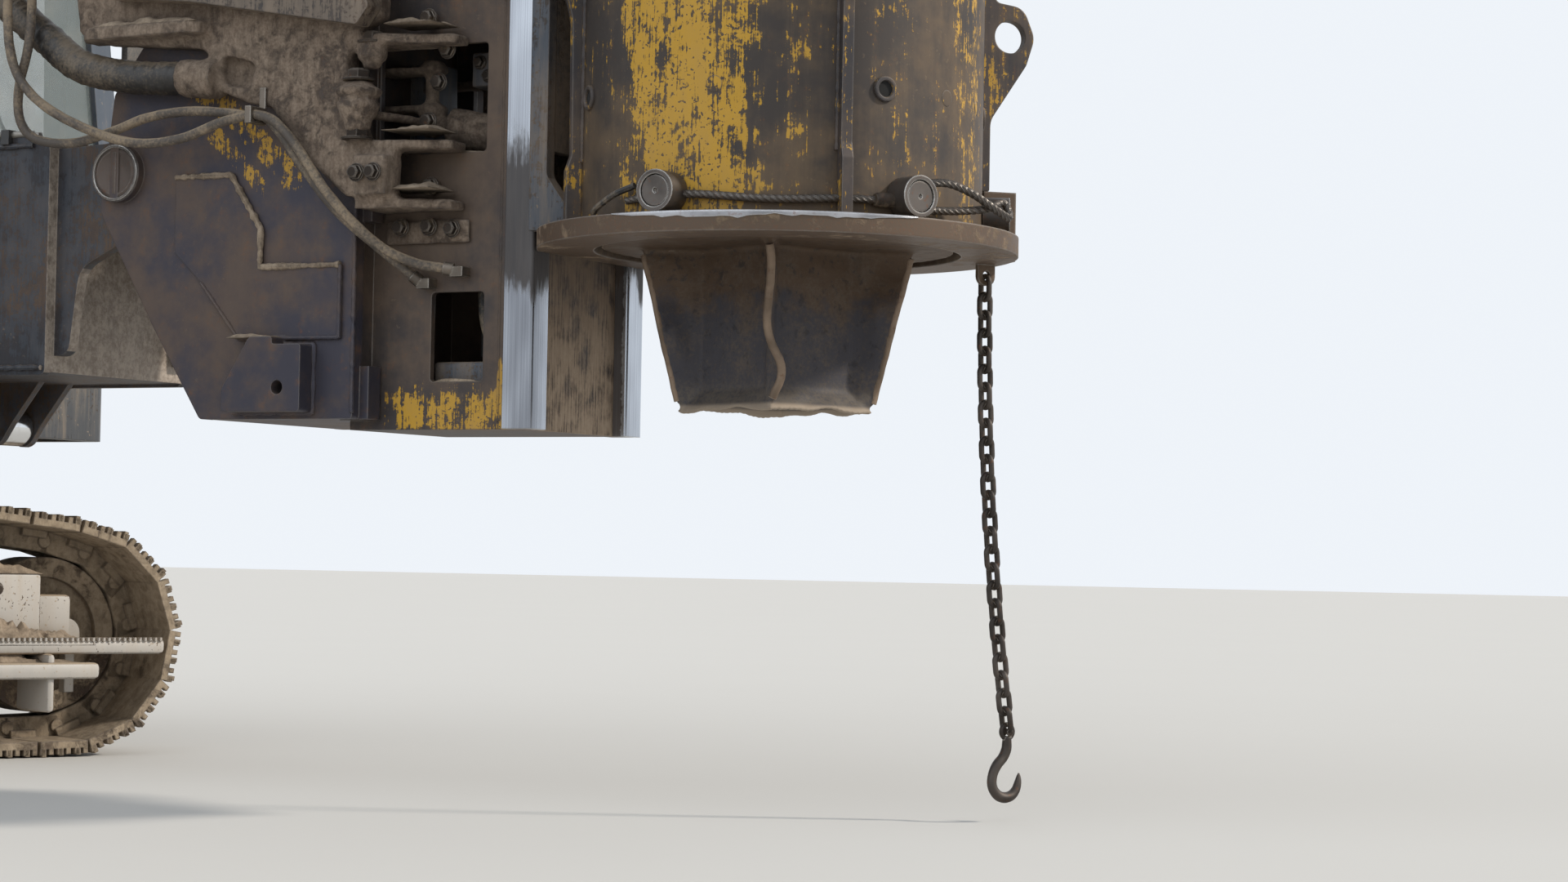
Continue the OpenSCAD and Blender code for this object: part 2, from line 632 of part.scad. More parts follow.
// Cab on the port side, hollow, with its windows cut
cab_outer = [[cab_rear_x, cab_floor_z, 60], [cab_front_x - 60, cab_floor_z, 100],
  [cab_front_x, cab_floor_z + 520, 60], [cab_front_x - 150, cab_top_z - 60, 120],
  [cab_front_x - 320, cab_top_z, 80], [cab_rear_x + 60, cab_top_z, 120],
  [cab_rear_x, cab_top_z - 160, 100]];
module cab_shell() {
  t = cab_wall;
  z = cab_floor_z;
  color("steelblue") rig() {
    difference() {
      side_plate(cab_outer, cab_inner_y, cab_outer_y);
      side_plate([[cab_rear_x + t, z + t, 40], [cab_front_x - 60 - t, z + t, 60],
        [cab_front_x - t, z + 520, 50], [cab_front_x - 150 - t, cab_top_z - 60 - t, 80],
        [cab_front_x - 330, cab_top_z - t, 60], [cab_rear_x + 60 + t, cab_top_z - t, 90],
        [cab_rear_x + t, cab_top_z - 160 - t, 70]], cab_inner_y + t, cab_outer_y - t);
      // windscreen, rear window, roof hatch, inner side window
      box(cab_front_x - 260, cab_front_x + 60, cab_inner_y + 110, cab_outer_y - 110, z + 560,
        cab_top_z - 190);
      box(cab_front_x - 110, cab_front_x + 60, cab_inner_y + 110, cab_outer_y - 110, z + 150, z + 470);
      box(cab_rear_x - 50, cab_rear_x + 120, cab_inner_y + 130, cab_outer_y - 130, z + 820,
        cab_top_z - 280);
      box(cab_rear_x + 620, cab_front_x - 620, cab_inner_y + 170, cab_outer_y - 170, cab_top_z - 120,
        cab_top_z + 40);
      side_plate([[cab_rear_x + 160, z + 760, 60], [cab_front_x - 210, z + 620, 60],
        [cab_front_x - 330, cab_top_z - 190, 60], [cab_rear_x + 160, cab_top_z - 190, 60]],
        cab_inner_y - 20, cab_inner_y + 200);
      // door opening and the window behind it
      side_plate([[door_x0 - door_gap, door_z0 - door_gap, 40],
        [door_x1 + door_gap, door_z0 - door_gap, 60], [door_x1 + door_gap, door_z1 + door_gap - 30, 60],
        [door_x1 - 90, door_z1 + door_gap, 40], [door_x0 - door_gap, door_z1 + door_gap, 40]],
        cab_outer_y - 200, cab_outer_y + 40);
      side_plate([[cab_rear_x + 150, z + 820, 50], [door_x0 - 120, z + 820, 50],
        [door_x0 - 120, cab_top_z - 200, 50], [cab_rear_x + 150, cab_top_z - 200, 50]], cab_outer_y - 200,
        cab_outer_y + 40);
    }
    frame_knuckles(cab_hinge, cab_outer_y, cab_knuckles);
    // mounts under the floor
    for (x = [cab_rear_x + 160, cab_front_x - 240]) for (y = [cab_inner_y + 110, cab_outer_y - 110])
      upright(x, y, 60, deck_top + fit, z + 5);
  }
}
module cab_glass() {
  z = cab_floor_z;
  c = cab_wall / 2;
  lean = atan2(150, cab_h - 580);
  color("lightcyan") rig() {
    // the windscreen leans with the cab's front; the pane below it looks down at the ground
    translate([cab_front_x - c, 0, z + 520]) rotate([0, -lean, 0])
      box(-pane, 0, cab_inner_y + 110 + fit, cab_outer_y - 110 - fit, 40 / cos(lean) + 3,
        (cab_h - 710) / cos(lean) - 4);
    translate([cab_front_x - c - 42, 0, z + 150]) rotate([0, 6.5, 0])
      box(-pane, 0, cab_inner_y + 110 + fit, cab_outer_y - 110 - fit, fit, 318);
    box(cab_rear_x + c, cab_rear_x + c + pane, cab_inner_y + 130 + fit, cab_outer_y - 130 - fit,
      z + 820 + fit, cab_top_z - 280 - fit);
    box(cab_rear_x + 620 + fit, cab_front_x - 620 - fit, cab_inner_y + 170 + fit, cab_outer_y - 170 - fit,
      cab_top_z - c - pane, cab_top_z - c);
    side_plate([[cab_rear_x + 160 + fit, z + 760 + fit, 60], [cab_front_x - 210.4, z + 620.5, 60],
      [cab_front_x - 330.2, cab_top_z - 190 - fit, 60], [cab_rear_x + 160 + fit, cab_top_z - 190 - fit,
      60]], cab_inner_y + c, cab_inner_y + c + pane);
    side_plate([[cab_rear_x + 150 + fit, z + 820 + fit, 50], [door_x0 - 120 - fit, z + 820 + fit, 50],
      [door_x0 - 120 - fit, cab_top_z - 200 - fit, 50], [cab_rear_x + 150 + fit, cab_top_z - 200 - fit,
      50]], cab_outer_y - c - pane, cab_outer_y - c);
  }
}
function door_window(in) = [[door_x0 + 90 + in, door_z0 + 640 + in, 50],
  [door_x1 - 90 - in, door_z0 + 560 + in, 50], [door_x1 - 110 - in, door_z1 - 110 - in, 60],
  [door_x0 + 90 + in, door_z1 - 90 - in, 50]];
module cab_door() {
  y = cab_outer_y;
  color("steelblue") rig() {
    difference() {
      union() {
        side_plate([[door_x0, door_z0, 40], [door_x1, door_z0, 60], [door_x1, door_z1 - 30, 60],
          [door_x1 - 90, door_z1, 40], [door_x0, door_z1, 40]], y - cab_wall, y);
        side_plate([[door_x1 - 150, door_z0 + 420, 20], [door_x1 - 60, door_z0 + 420, 20],
          [door_x1 - 60, door_z0 + 470, 20], [door_x1 - 150, door_z0 + 470, 20]], y - 4, y + 30);
      }
      side_plate(door_window(0), y - 100, y + 50);
    }
    door_knuckles(cab_hinge, y, cab_knuckles);
  }
}
module door_glass() {
  y = cab_outer_y - cab_wall / 2;
  color("lightcyan") rig() side_plate(door_window(fit), y - pane, y);
}
module operator_seat() {
  x = cab_rear_x + 520;
  y = (cab_inner_y + cab_outer_y) / 2;
  z = cab_floor_z + cab_wall + fit;
  color("dimgray") rig() {
    box(x - 180, x + 200, y - 150, y + 150, z, z + 330);
    side_plate([[x - 240, z + 329, 40], [x + 290, z + 329, 60], [x + 300, z + 450, 50],
      [x - 130, z + 440, 40], [x - 260, z + 1040, 50], [x - 380, z + 1030, 50], [x - 300, z + 400, 40]],
      y - 240, y + 240);
    for (s = [-1, 1]) box(x - 120, x + 330, y + s * 300 - 55, y + s * 300 + 55, z, z + 560);
  }
}
module tank_box() {
  y1 = -590;
  y0 = -deck_half_w + 200;
  z = deck_top + fit;
  w = 30;
  color("steelblue") rig() difference() {
    union() {
      cross_plate([[y0, z, 20], [y1, z, 20], [y1, z + 900, 70], [y0, z + 900, 70]], 180, 1180);
      cross_plate([[y0, z, 20], [y1, z, 20], [y1, z + 620, 60], [y0, z + 620, 60]], 1180 + fit, 1900);
      for (x = [430, 900]) upright(x, (y0 + y1) / 2, 70, z + 880, z + 945);
    }
    for (i = [0:2]) box(1640, 1960, y0 - 20, y0 + 120, z + 60 + i * 200, z + 150 + i * 200);
    box(180 + w, 1180 - w, y0 + w, y1 - w, z - 5, z + 900 - w);
    box(1180 + w, 1600, y0 + w, y1 - w, z - 5, z + 620 - w);
  }
}
// Rails of one inch and a half tube round the housing and over the tank
module rail_run(x0, x1, y, z0, z1, posts) {
  r = 19;
  for (i = [0:posts - 1]) upright(x0 + (x1 - x0) * i / (posts - 1), y, r, z0, z1);
  for (z = [z1 - 8, (z0 + z1) / 2]) bar([x0 - 8, y, z], [x1 + 8, y, z], r - 1);
}
module handrails() {
  color("gold") rig() {
    both_sides() rail_run(hood_rear + 200, hood_front - 60, hood_half_w - 330, hood_top + fit,
      hood_top + 620, 5);
    rail_run(300, 1800, -deck_half_w + 150, deck_top + fit, deck_top + 1500, 3);
  }
}
module lamp(x, y, z) {
  translate([x, y, z]) {
    rotate([0, 90, 0]) cylinder(r1 = 52, r2 = 70, h = 80);
    box(-6, 30, -12, 12, -110, 0);
  }
}
module work_lamps() {
  color("gainsboro") rig() {
    for (y = [cab_inner_y + 180, cab_outer_y - 180]) lamp(cab_front_x - 420, y, cab_top_z + 110 + fit);
    lamp(1790, -980, deck_top + 620 + 110 + 2 * fit);
  }
}

// Arm from the deck to the leader's foot, with its open front end
module arm() {
  x = arm_end_x;
  w = arm_half_w;
  fx = arm_foot_x;
  fz = arm_foot_z;
  px = pin_x;
  pz = foot_pin_z;
  lower = [[fx + 240, fz - 160, 60], [fx + 560, arm_low_z, 160]];
  cheek = [[fx - 160, fz - 150, 110], each lower, [x, arm_low_z, 20], [x, arm_high_z, 50],
    [fx + 900, arm_high_z, 260], [back_foot[0] + 170, back_foot[1] + 30, 110],
    [back_foot[0] + 60, back_foot[1] + 150, 110], [back_foot[0] - 130, back_foot[1] + 120, 110],
    [fx - 180, fz + 110, 140]];
  tongue = [[x - 360, arm_low_z + 60, 60], [x + 55, arm_low_z + 60, 40], [x + 90, pz - 270, 80],
    [px + 70, pz - 150, 90], [px + 145, pz - 20, 110], [px + 90, pz + 130, 110], [px - 100, pz + 100, 60],
    [x - 360, arm_high_z - 50, 60]];
  t = arm_plate;
  color("slategray") rig() {
    difference() {
      union() {
        both_sides() {
          side_plate(cheek, w - t, w);
          side_plate(tongue, tongue_half - tongue_t, tongue_half);
          cross_pin(px, pz, 105, tongue_half - 110, tongue_half);
          for (s = [-1, 1]) translate([0, lift_y + s * (lift_eye + run + lug_t / 2), 0])
            side_plate([[lift_tip[0] - 190, arm_low_z + 24], [lift_tip[0] - 70, lift_tip[1] - 30, 50],
              [lift_tip[0] + 30, lift_tip[1] - 75, 50], [lift_tip[0] + 90, lift_tip[1] + 10, 50],
              [lift_tip[0] + 210, arm_low_z + 24]], -12, 12);
        }
        // floor and top plates, end frames, foot tube
        side_plate([[fx + 570, arm_low_z + 10], [x, arm_low_z + 10], [x, arm_low_z + 10 + t],
          [fx + 580, arm_low_z + 10 + t], [fx + 262, fz - 140 + t], [fx + 250, fz - 140]], -w + 4, w - 4);
        side_plate([[fx + 760, arm_high_z - 20 - t], [x, arm_high_z - 20 - t], [x, arm_high_z - 20],
          [fx + 770, arm_high_z - 20]], -w + 4, w - 4);
        box(x - t, x, -w + 4, w - 4, arm_low_z + 12, arm_high_z - 24);
        box(x - 340, x - 340 + t, -w + 4, w - 4, arm_low_z + 12, arm_high_z - 24);
        cross_pin(fx, fz, 130, -w, w);
        cross_pin(back_foot[0], back_foot[1], 92, -w, w);
      }
      cross_pin(px, pz, foot_pin_r + fit, -w - 50, w + 50);
      cross_pin(fx, fz, arm_foot_r + fit, -w - 50, w + 50);
      cross_pin(back_foot[0], back_foot[1], backstay_pin_r + fit, -w - 50, w + 50);
    }
    // pins at the foot and at the backstays, with their end plates
    cross_pin(fx, fz, arm_foot_r, -w - ear_t - 40, w + ear_t + 40);
    both_sides() cross_pin(fx, fz, 92, w + ear_t + 2 * run, w + ear_t + 2 * run + 26);
    cross_pin(back_foot[0], back_foot[1], backstay_pin_r, -backstay_y - 104, backstay_y + 104);
    both_sides() cross_pin(back_foot[0], back_foot[1], 78, backstay_y + 80, backstay_y + 104);
    both_sides() cross_pin(back_foot[0], back_foot[1], 78, w + fit, w + 14);
  }
}

// Cylinders: a barrel with its eye at the base, and a rod whose eye meets the carriage
function along(a, b) = unit(b - a);
module barrel(base, tip, y, r, l, eye_r, bore, half) {
  d = along(base, tip);
  a = atan2(d[1], d[0]);
  translate([base[0], y, base[1]]) rotate([0, -a, 0]) difference() {
    union() {
      cross_pin(0, 0, eye_r, -half, half);
      rotate([0, 90, 0]) translate([0, 0, eye_r * 0.5]) cylinder(r = half * 0.98, h = eye_r * 0.5 + 40);
      rotate([0, 90, 0]) translate([0, 0, eye_r + 24]) cylinder(r = r, h = l - eye_r - 24);
      rotate([0, 90, 0]) translate([0, 0, l - 110]) cylinder(r = r * 1.13, h = 110);
    }
    cross_pin(0, 0, bore, -half - 5, half + 5);
    rotate([0, 90, 0]) translate([0, 0, eye_r + 70]) cylinder(r = r * 0.8, h = l + 300);
  }
}
module rod(base, tip, y, r, l, eye_r, half) {
  d = along(base, tip);
  a = atan2(d[1], d[0]);
  translate([tip[0], y, tip[1]]) rotate([0, -a, 0]) {
    cross_pin(0, 0, eye_r, -half, half);
    rotate([0, -90, 0]) cylinder(r = r, h = l);
  }
}
module piston(base, tip, y, r, back) {
  d = along(base, tip);
  translate([tip[0] - d[0] * back, y, tip[1] - d[1] * back]) rotate([0, -atan2(d[1], d[0]), 0]) rotate([0,
    90, 0])
    cylinder(r = r, h = 90);
}
module backstay_barrels() {
  color("gainsboro") rig() for (y = [-1, 1])
    barrel(back_foot, back_tip, y * backstay_y, barrel_r, back_len * 0.56, 100, backstay_pin_r + fit, 72);
}
module backstay_rods() {
  color("silver") rig() for (y = [-1, 1]) {
    rod(back_foot, back_tip, y * backstay_y, rod_r, back_len * 0.56, 85, backstay_eye);
    piston(back_foot, back_tip, y * backstay_y, barrel_r * 0.8 - fit, back_len * 0.56);
  }
}
module lift_barrels() {
  color("dimgray") rig() for (y = [-1, 1])
    barrel(lift_base, lift_tip, y * lift_y, lift_barrel_r, lift_len * 0.66, 72, lift_pin_r + fit, 70);
}
module lift_rods() {
  color("silver") rig() for (y = [-1, 1]) {
    rod(lift_base, lift_tip, y * lift_y, lift_rod_r, lift_len * 0.62, 60, lift_eye);
    piston(lift_base, lift_tip, y * lift_y, lift_barrel_r * 0.8 - fit, lift_len * 0.62);
  }
}

// Carriage: bracket plates at the leader's foot, knuckles, side beams and the upper collar
module bracket_outline() {
  z = leader_foot_z + 28;
  pin = -foot_pin_back;
  polygon(rounded([[-1700, z, 20], [-1164, z, 10], [-1164, foot_pin_z + 80, 20],
    [-1224, foot_pin_z + 260, 60], [pin + 250, foot_pin_z + 430, 60], [pin + 110, foot_pin_z + 420, 60],
    [pin - 30, foot_pin_z + 235, 20], [-2085, foot_pin_z - 110, 60], [-1880, foot_pin_z - 450, 60]]));
}
module foot_bracket() {
  z = leader_foot_z + 28;
  pin = -foot_pin_back;
  pin_z = foot_pin_z;
  inner = bracket_out - claw_t;
  outer = bracket_out;
  back = -leader_gap - leader_depth;
  claw = back + rear_rail_d + fit;
  color("dimgray") on_pile() difference() {
    union() {
      both_sides() {
        translate([0, outer, 0]) rotate([90, 0, 0]) linear_extrude(claw_t) bracket_outline();
        // doubler plate, with the stepped weld that shows on its flank
        side_plate([[-1800, pin_z - 20, 10], [-1600, pin_z - 20, 10], [-1490, pin_z - 180, 10],
          [-1490, pin_z - 290, 10], [-1210, pin_z - 290, 10], [-1210, z + 230, 10], [-1560, z + 230, 10],
          [-1700, pin_z - 330, 10], [-1800, pin_z - 240, 10]], outer - 2, outer + 8);
        // towing lug low on the flank
        side_plate([[-1575, z + 18, 10], [-1575, z + 80, 20], [-1480, z + 232, 20], [-1400, z + 232, 8],
          [-1400, z + 210, 8], [-1300, z + 210, 10], [-1300, z + 18, 10]], outer + 6, outer + 66);
        // claws round the leader's rear rail
        for (h = [z, z + 560]) {
          box(back - 40, claw + 36, rear_rail_half + fit, inner + 10, h, h + 150);
          box(claw, claw + 36, leader_box_w / 2 + fit + 6, inner + 8, h, h + 150);
        }
      }
      // cross members behind the leader
      box(back - fit - 64, back - fit, -inner - 6, inner + 6, z, z + 420);
      side_plate([[-1680, z], [back - 62, z], [back - 62, z + 30], [-1700, z + 30]], -inner - 6,
        inner + 6);
      box(pin + 260, pin + 300, -inner - 6, inner + 6, pin_z - 330, pin_z + 130);
      box(back - fit - 64, back - fit, -inner - 6, inner + 6, pin_z + 100, pin_z + 330);
    }
    both_sides() cross_pin(pin, pin_z, foot_pin_r + fit, inner - 20, outer + 60);
    both_sides() cross_pin(-1379, z + 87, 20, outer - 60, outer + 100);
  }
  color("silver") on_pile() both_sides() {
    cross_pin(pin, pin_z, foot_pin_r, tongue_half - 130, outer + fit);
    difference() {
      cross_pin(pin, pin_z, pin_head_r, outer + fit, outer + pin_head_t);
      cross_pin(pin, pin_z, pin_head_r - 14, outer + pin_head_t - 8, outer + pin_head_t + 2);
    }
    box(pin - 15, pin + 15, outer + pin_head_t - 9, outer + pin_head_t + 6, pin_z - pin_head_r + 4,
      pin_z + pin_head_r - 4);
  }
}
// Castings that steady the leader, with vertical pins and shelves. A stack's rows are [radius, low, high].
module stack(x, y, rows) { for (r = rows) upright(x, y, r[0], r[1], r[2]); }
module casting_outline() {
  z = foot_pin_z;
  polygon(rounded([[-2530, z + 680, 30], [-2530, z + 610, 30], [-2150, z + 610, 40], [-2130, z + 415, 20],
    [-2020, z + 373, 20], [-1660, z + 340, 40], [-1613, z + 219, 20], [-1510, z + 178, 20],
    [-1423, z + 162, 30], [-1319, z + 29, 60], [-1161, z - 104, 8], [-1111, z - 104, 8],
    [-1108, z + 70, 10], [-1165, z + 270, 60], [-1118, z + 377, 20], [-1060, z + 395, 10],
    [-1060, z + 520, 30], [-1230, z + 575, 20], [-1420, z + 575, 20], [-1480, z + 680, 30]]));
}
module swivel_knuckles() {
  z = foot_pin_z;
  w = leader_box_w / 2 + fit;
  y0 = bracket_out + fit;
  y1 = y0 + casting_t;
  wall = -leader_gap - leader_depth + leader_plate + fit;
  color("rosybrown") on_pile() {
    both_sides() {
      difference() {
        translate([0, y1, 0]) rotate([90, 0, 0]) linear_extrude(casting_t) casting_outline();
        side_plate([[-1590, z + 235, 20], [-1500, z + 215, 10], [-1480, z + 290, 10],
          [-1600, z + 320, 10]], y1 - 40, y1 + 5);
      }
      // flange over the sleeved hose, and the block at the casting's foot with its two screws
      floor_plate([[-2100, y0 + 5], [-1640, y0 + 5], [-1640, y1 + 60, 50], [-2060, y1 + 60, 60],
        [-2100, y1, 20]], z + 380, z + 420);
      box(-1113, -1010, y0, y0 + 90, z - 104, z + 8);
      for (x = [-1092, -1036]) cross_pin(x, z - 44, 17, y0 + 88, y0 + 104);
      // vertical pins with their collars and nuts
      stack(-1113, y0 + 74, [[40, z + 198, z + 218], [66, z + 180, z + 199], [50, z + 115, z + 181],
        [60, z + 140, z + 156], [38, z + 80, z + 116], [22, z + 50, z + 81]]);
      stack(-1095, y0 + 33, [[42, z + 280, z + 328], [26, z + 255, z + 281]]);
      // shelves that reach the castings from the leader's flank
      for (h = [z - 139, z + 26, z + 326]) floor_plate([[h < z - 30 ? -1128 : -1158, w],
        [h < z - 30 ? -1128 : -1158, y1 - 6], [-1050, y1 - 6, 20], [-860, w + 80, 20], [-860, w]], h,
        h + 28);
      // screws and the ledge on the flank
      for (p = [[-981, z + 411], [-963, z - 68], [-889, z - 190]]) cross_pin(p[0], p[1], 22, w, w + 24);
      side_plate([[-1125, z - 232, 8], [-840, z - 232, 8], [-840, z - 160, 8], [-1125, z - 160, 8]], w,
        w + 14);
      for (x = [-1060, -966]) cross_pin(x, z - 182, 15, w + 12, w + 24);
      // lugs on the back plate that show through the upper window, with the link from the outer pin
      for (h = [z + 160, z + 270]) floor_plate([[wall, 110], [-1004, 110, 36], [-1004, 190, 36],
        [wall, 190]], h, h + 22);
      stack(-1047, 150, [[34, z + 100, z + 158], [20, z + 90, z + 310], [30, z + 292, z + 312]]);
      bar([-1113, y0 + 74, z + 130], [-1047, 150, z + 128], 14);
    }
    // seats of the hoses on the starboard casting
    mirror([0, 1, 0]) {
      socket(seat(hose_sleeved_route[0]), seat(hose_sleeved_route[1]), 105, sleeve_hose_r + 6);
      socket(seat(hose_sleeved_route[5]), seat(hose_sleeved_route[4]), 130, sleeve_hose_r + 6);
      floor_plate([[-2350, y0 + 4], [-2200, y0 + 4], [-2200, 560, 40], [-2350, 560, 40]], z + 580,
        z + 630);
    }
  }
  // short steadying cylinders inside the leader, behind the upper window
  color("dimgray") on_pile() both_sides() {
    bar([-1040, 148, z + 128], [-985, 134, z + 118], 26);
    bar([-990, 135, z + 119], [-688, 68, z + 58], 56);
  }
}
function seat(p) = [p[0], -p[1], p[2]];
// A round seat that starts at a hose's end p and runs on away from its last point but one
module socket(p, from, l, r) { bar(p + fit * unit(p - from), p + l * unit(p - from), r); }

// Hoses: a smooth route through the chosen points, with rings square to it
function bend(p, i, t) =
  let (c = len(p), a = i > 0 ? p[i - 1] : 2 * p[0] - p[1],
    d = i + 2 < c ? p[i + 2] : 2 * p[c - 1] - p[c - 2])
  0.5 * (2 * p[i] + t * (p[i + 1] - a) + t * t * (2 * a - 5 * p[i] + 4 * p[i + 1] - d)
    + t * t * t * (3 * p[i] - a - 3 * p[i + 1] + d));
function smooth(p, n) = [for (i = [0:len(p) - 2]) for (k = [0:n - 1]) bend(p, i, k / n), p[len(p) - 1]];
module tube(route, r, sides = 8) {
  p = smooth(route, 2);
  c = len(p);
  last = len(route) - 1;
  rings = [for (i = [0:c - 1])
    let (d = i == 0 ? route[1] - route[0] :
      i == c - 1 ? route[last] - route[last - 1] : p[i + 1] - p[i - 1],
      u = unit(cross([0, 1, 0], d)), v = unit(cross(d, u)))
    for (k = [0:sides - 1]) p[i] + r * (cos(360 * k / sides) * u + sin(360 * k / sides) * v)];
  polyhedron(points = rings, faces = concat([for (i = [0:c - 2]) for (k = [0:sides - 1]) [i * sides + k,
    (i + 1) * sides + k, (i + 1) * sides + (k + 1) % sides, i * sides + (k + 1) % sides]],
    [[for (k = [0:sides - 1]) k]], [[for (k = [sides - 1:-1:0]) (c - 1) * sides + k]]));
}
module hose_front() { color("dimgray") on_pile() tube(hose_front_route, hose_r); }
module hose_rear() { color("dimgray") on_pile() tube(hose_rear_route, hose_r); }
module hose_sleeved() { color("dimgray") on_pile() tube(hose_sleeved_route, sleeve_hose_r, 12); }
// The hoses' glands under the shelf, their clamp on the casting and their elbows on the leader's flank
module hose_clamp() {
  face = bracket_out + fit + casting_t + fit;
  flank = leader_box_w / 2 + fit;
  color("silver") on_pile() {
    for (p = [hose_front_route[0], hose_rear_route[0]]) upright(p[0], p[1], hose_r + 6, p[2] + fit,
      foot_pin_z + 580 - fit);
    difference() {
      union() {
        box(-clamp_back - 10, -clamp_back + 10, -492, -face, clamp_z - 24, clamp_z + 24);
        box(-clamp_back - 10, -clamp_back + 10, -face - 8, -face, clamp_z + 10, clamp_z + 84);
      }
      for (y = [hose_front_route[9][1], hose_rear_route[11][1]])
        translate([-clamp_back - 20, y, clamp_z]) rotate([0, 90, 0]) cylinder(r = hose_r + 2, h = 40);
    }
    for (route = [hose_front_route, hose_rear_route]) {
      p = route[len(route) - 1];
      from = route[len(route) - 2];
      q = p + gland_l * unit(p - from);
      socket(p, from, gland_l, hose_r + 5);
      box(q[0] - 3, q[0] + 38, q[1] - 14, -flank, q[2] - 20, q[2] + 8);
    }
  }
}
module carriage_frame() {
  z0 = foot_pin_z + 250;
  z1 = carriage_top_z;
  x0 = leader_back_x - 160;
  x1 = leader_back_x + 40;
  back = leader_back_x - fit;
  side = bracket_out + fit + casting_t + fit;
  color("slategray") rig() difference() {
    union() {
      both_sides() {
        box(x0, x1, beam_y0, beam_y1, z0 + 320, z1);
        // sloping beam over the casting
        side_plate([[x0 - 580, z0 + 400, 20], [x0 - 580, z0 + 250, 20], [x0 - 275, z0 + 220, 60],
          [x0 + 311, z0 + 118, 14], [x0 + 351, z0 + 168, 14], [x0 + 300, z0 + 320, 30],
          [x0 + 210, z0 + 400]], side, beam_y1 - 60);
        for (z = [z1 - 260, 5900]) {
          box(leader_back_x - 90, leader_back_x + rear_rail_d + fit + 40, rear_rail_half + fit,
            beam_y0 + 2, z, z + 240);
          box(leader_back_x + rear_rail_d + fit, leader_back_x + rear_rail_d + fit + 40,
            leader_box_w / 2 + fit + 2, rear_rail_half + fit + 2, z, z + 240);
        }
        for (s = [-1, 1]) translate([0, backstay_y + s * (backstay_eye + run + 15), 0])
          side_plate([[back_tip[0] - 100, back_tip[1] - 60, 70], [x0 + 4, back_tip[1] - 300],
            [x0 + 4, back_tip[1] + 150], [back_tip[0] - 60, back_tip[1] + 105, 80]], -15, 15);
      }
      for (z = [z1 - 260, 5900]) box(x0, back, -beam_y1, beam_y1, z, z + 240);
      box(x0, back, -beam_y1, beam_y1, z0 + 330, z0 + 560);
    }
    for (z = [2900:620:5600]) both_sides() box(x0 - 10, x1 + 10, beam_y0 + 34, beam_y1 - 34, z, z + 240);
  }
}

// Leader: box of plates, open low down where the pins are reached, with polished rails on its front corners
module window(x0, x1, z0, z1) {
  side_plate([[x0, z0, 12], [x1, z0, 12], [x1, z1, 12], [x0, z1, 12]], -leader_box_w / 2 - 60,
    leader_box_w / 2 + 60);
}
module leader_box() {
  w = leader_box_w / 2;
  t = leader_plate;
  z0 = leader_foot_z;
  z1 = leader_top_z;
  x0 = leader_back_x;
  x1 = box_front_x;
  color("dimgray") rig() difference() {
    union() {
      box(x0, x1, -w, w, z0, z1);
      for (y = [-1, 1]) {
        box(x0, x0 + rear_rail_d, min(y * (w - 30), y * rear_rail_half),
          max(y * (w - 30), y * rear_rail_half), z0 + 26, z1 - 300);
        box(x1 - 90, x1, min(y * (w - 4), y * (w + 5)), max(y * (w - 4), y * (w + 5)), z0, z1);
      }
    }
    box(x0 + t, x1 - t, -w + t, w - t, z0 + 40, z1 - 30);
    window(pile_reach - 970, pile_reach - 794, z0 + 135, z0 + 388);
    window(x0 + rear_rail_d + 12, pile_reach - 796, foot_pin_z + 28, foot_pin_z + 336);
    for (i = [0:11]) cross_pin(x0 + 330, z0 + 2300 + i * 1080, 110, -w - 40, w + 40);
  }
}
module guide_rails() {
  leg = leader_box_w / 2 + 5 + fit;
  out = leader_w / 2;
  color("silver") rig() both_sides()
    floor_plate([[rail_face_x - rail_d, leg], [box_front_x + fit, leg], [box_front_x + fit, out - rail_w],
      [rail_face_x, out - rail_w, 10], [rail_face_x, out, 10], [rail_face_x - rail_d, out, 4]],
      leader_foot_z, leader_top_z - 260);
}
module leader_head() {
  z = leader_top_z;
  x0 = leader_back_x - 300;
  x1 = rail_face_x + leader_gap + 120;
  color("slategray") rig() difference() {
    union() {
      both_sides() side_plate([[x0, z + fit, 20], [x1 - 500, z + fit, 60], [x1, z + head_h - 330, 120],
        [x1, z + head_h - 130, 120], [x1 - 260, z + head_h, 80], [x0 + 160, z + head_h, 120],
        [x0, z + 300, 60]], 160, 190);
      floor_plate([[leader_back_x - 20, -w_head], [rail_face_x - rail_d, -w_head],
        [rail_face_x - rail_d, w_head], [leader_back_x - 20, w_head]], z + fit, z + 40);
      for (x = [leader_back_x + 144, rail_face_x - 270]) box(x, x + 28, -170, 170, z + 30,
        z + head_h - 240);
    }
    both_sides() cross_pin(back_sheave_x, z + head_h - 330, sheave_pin_r + fit, 100, 300);
    both_sides() cross_pin(front_sheave_x, z + head_h - 250, sheave_pin_r + fit, 100, 300);
    both_sides() side_plate([[leader_back_x + 180, z + 130, 40], [rail_face_x - 280, z + 130, 40],
      [rail_face_x - 280, z + head_h - 110, 40], [leader_back_x + 180, z + head_h - 110, 40]], 100, 300);
  }
}
module sheave(r, half) {
  difference() {
    cross_pin(0, 0, r, -half, half);
    rotate([90, 0, 0]) translate([0, 0, -half / 2]) rotate_extrude($fn = 96) translate([r + 4,
      half / 2]) circle(r = half * 0.75, $fn = 24);
    for (a = [0:60:300]) rotate([0, a, 0]) cross_pin(r * 0.58, 0, r * 0.2, -half - 5, half + 5);
  }
}
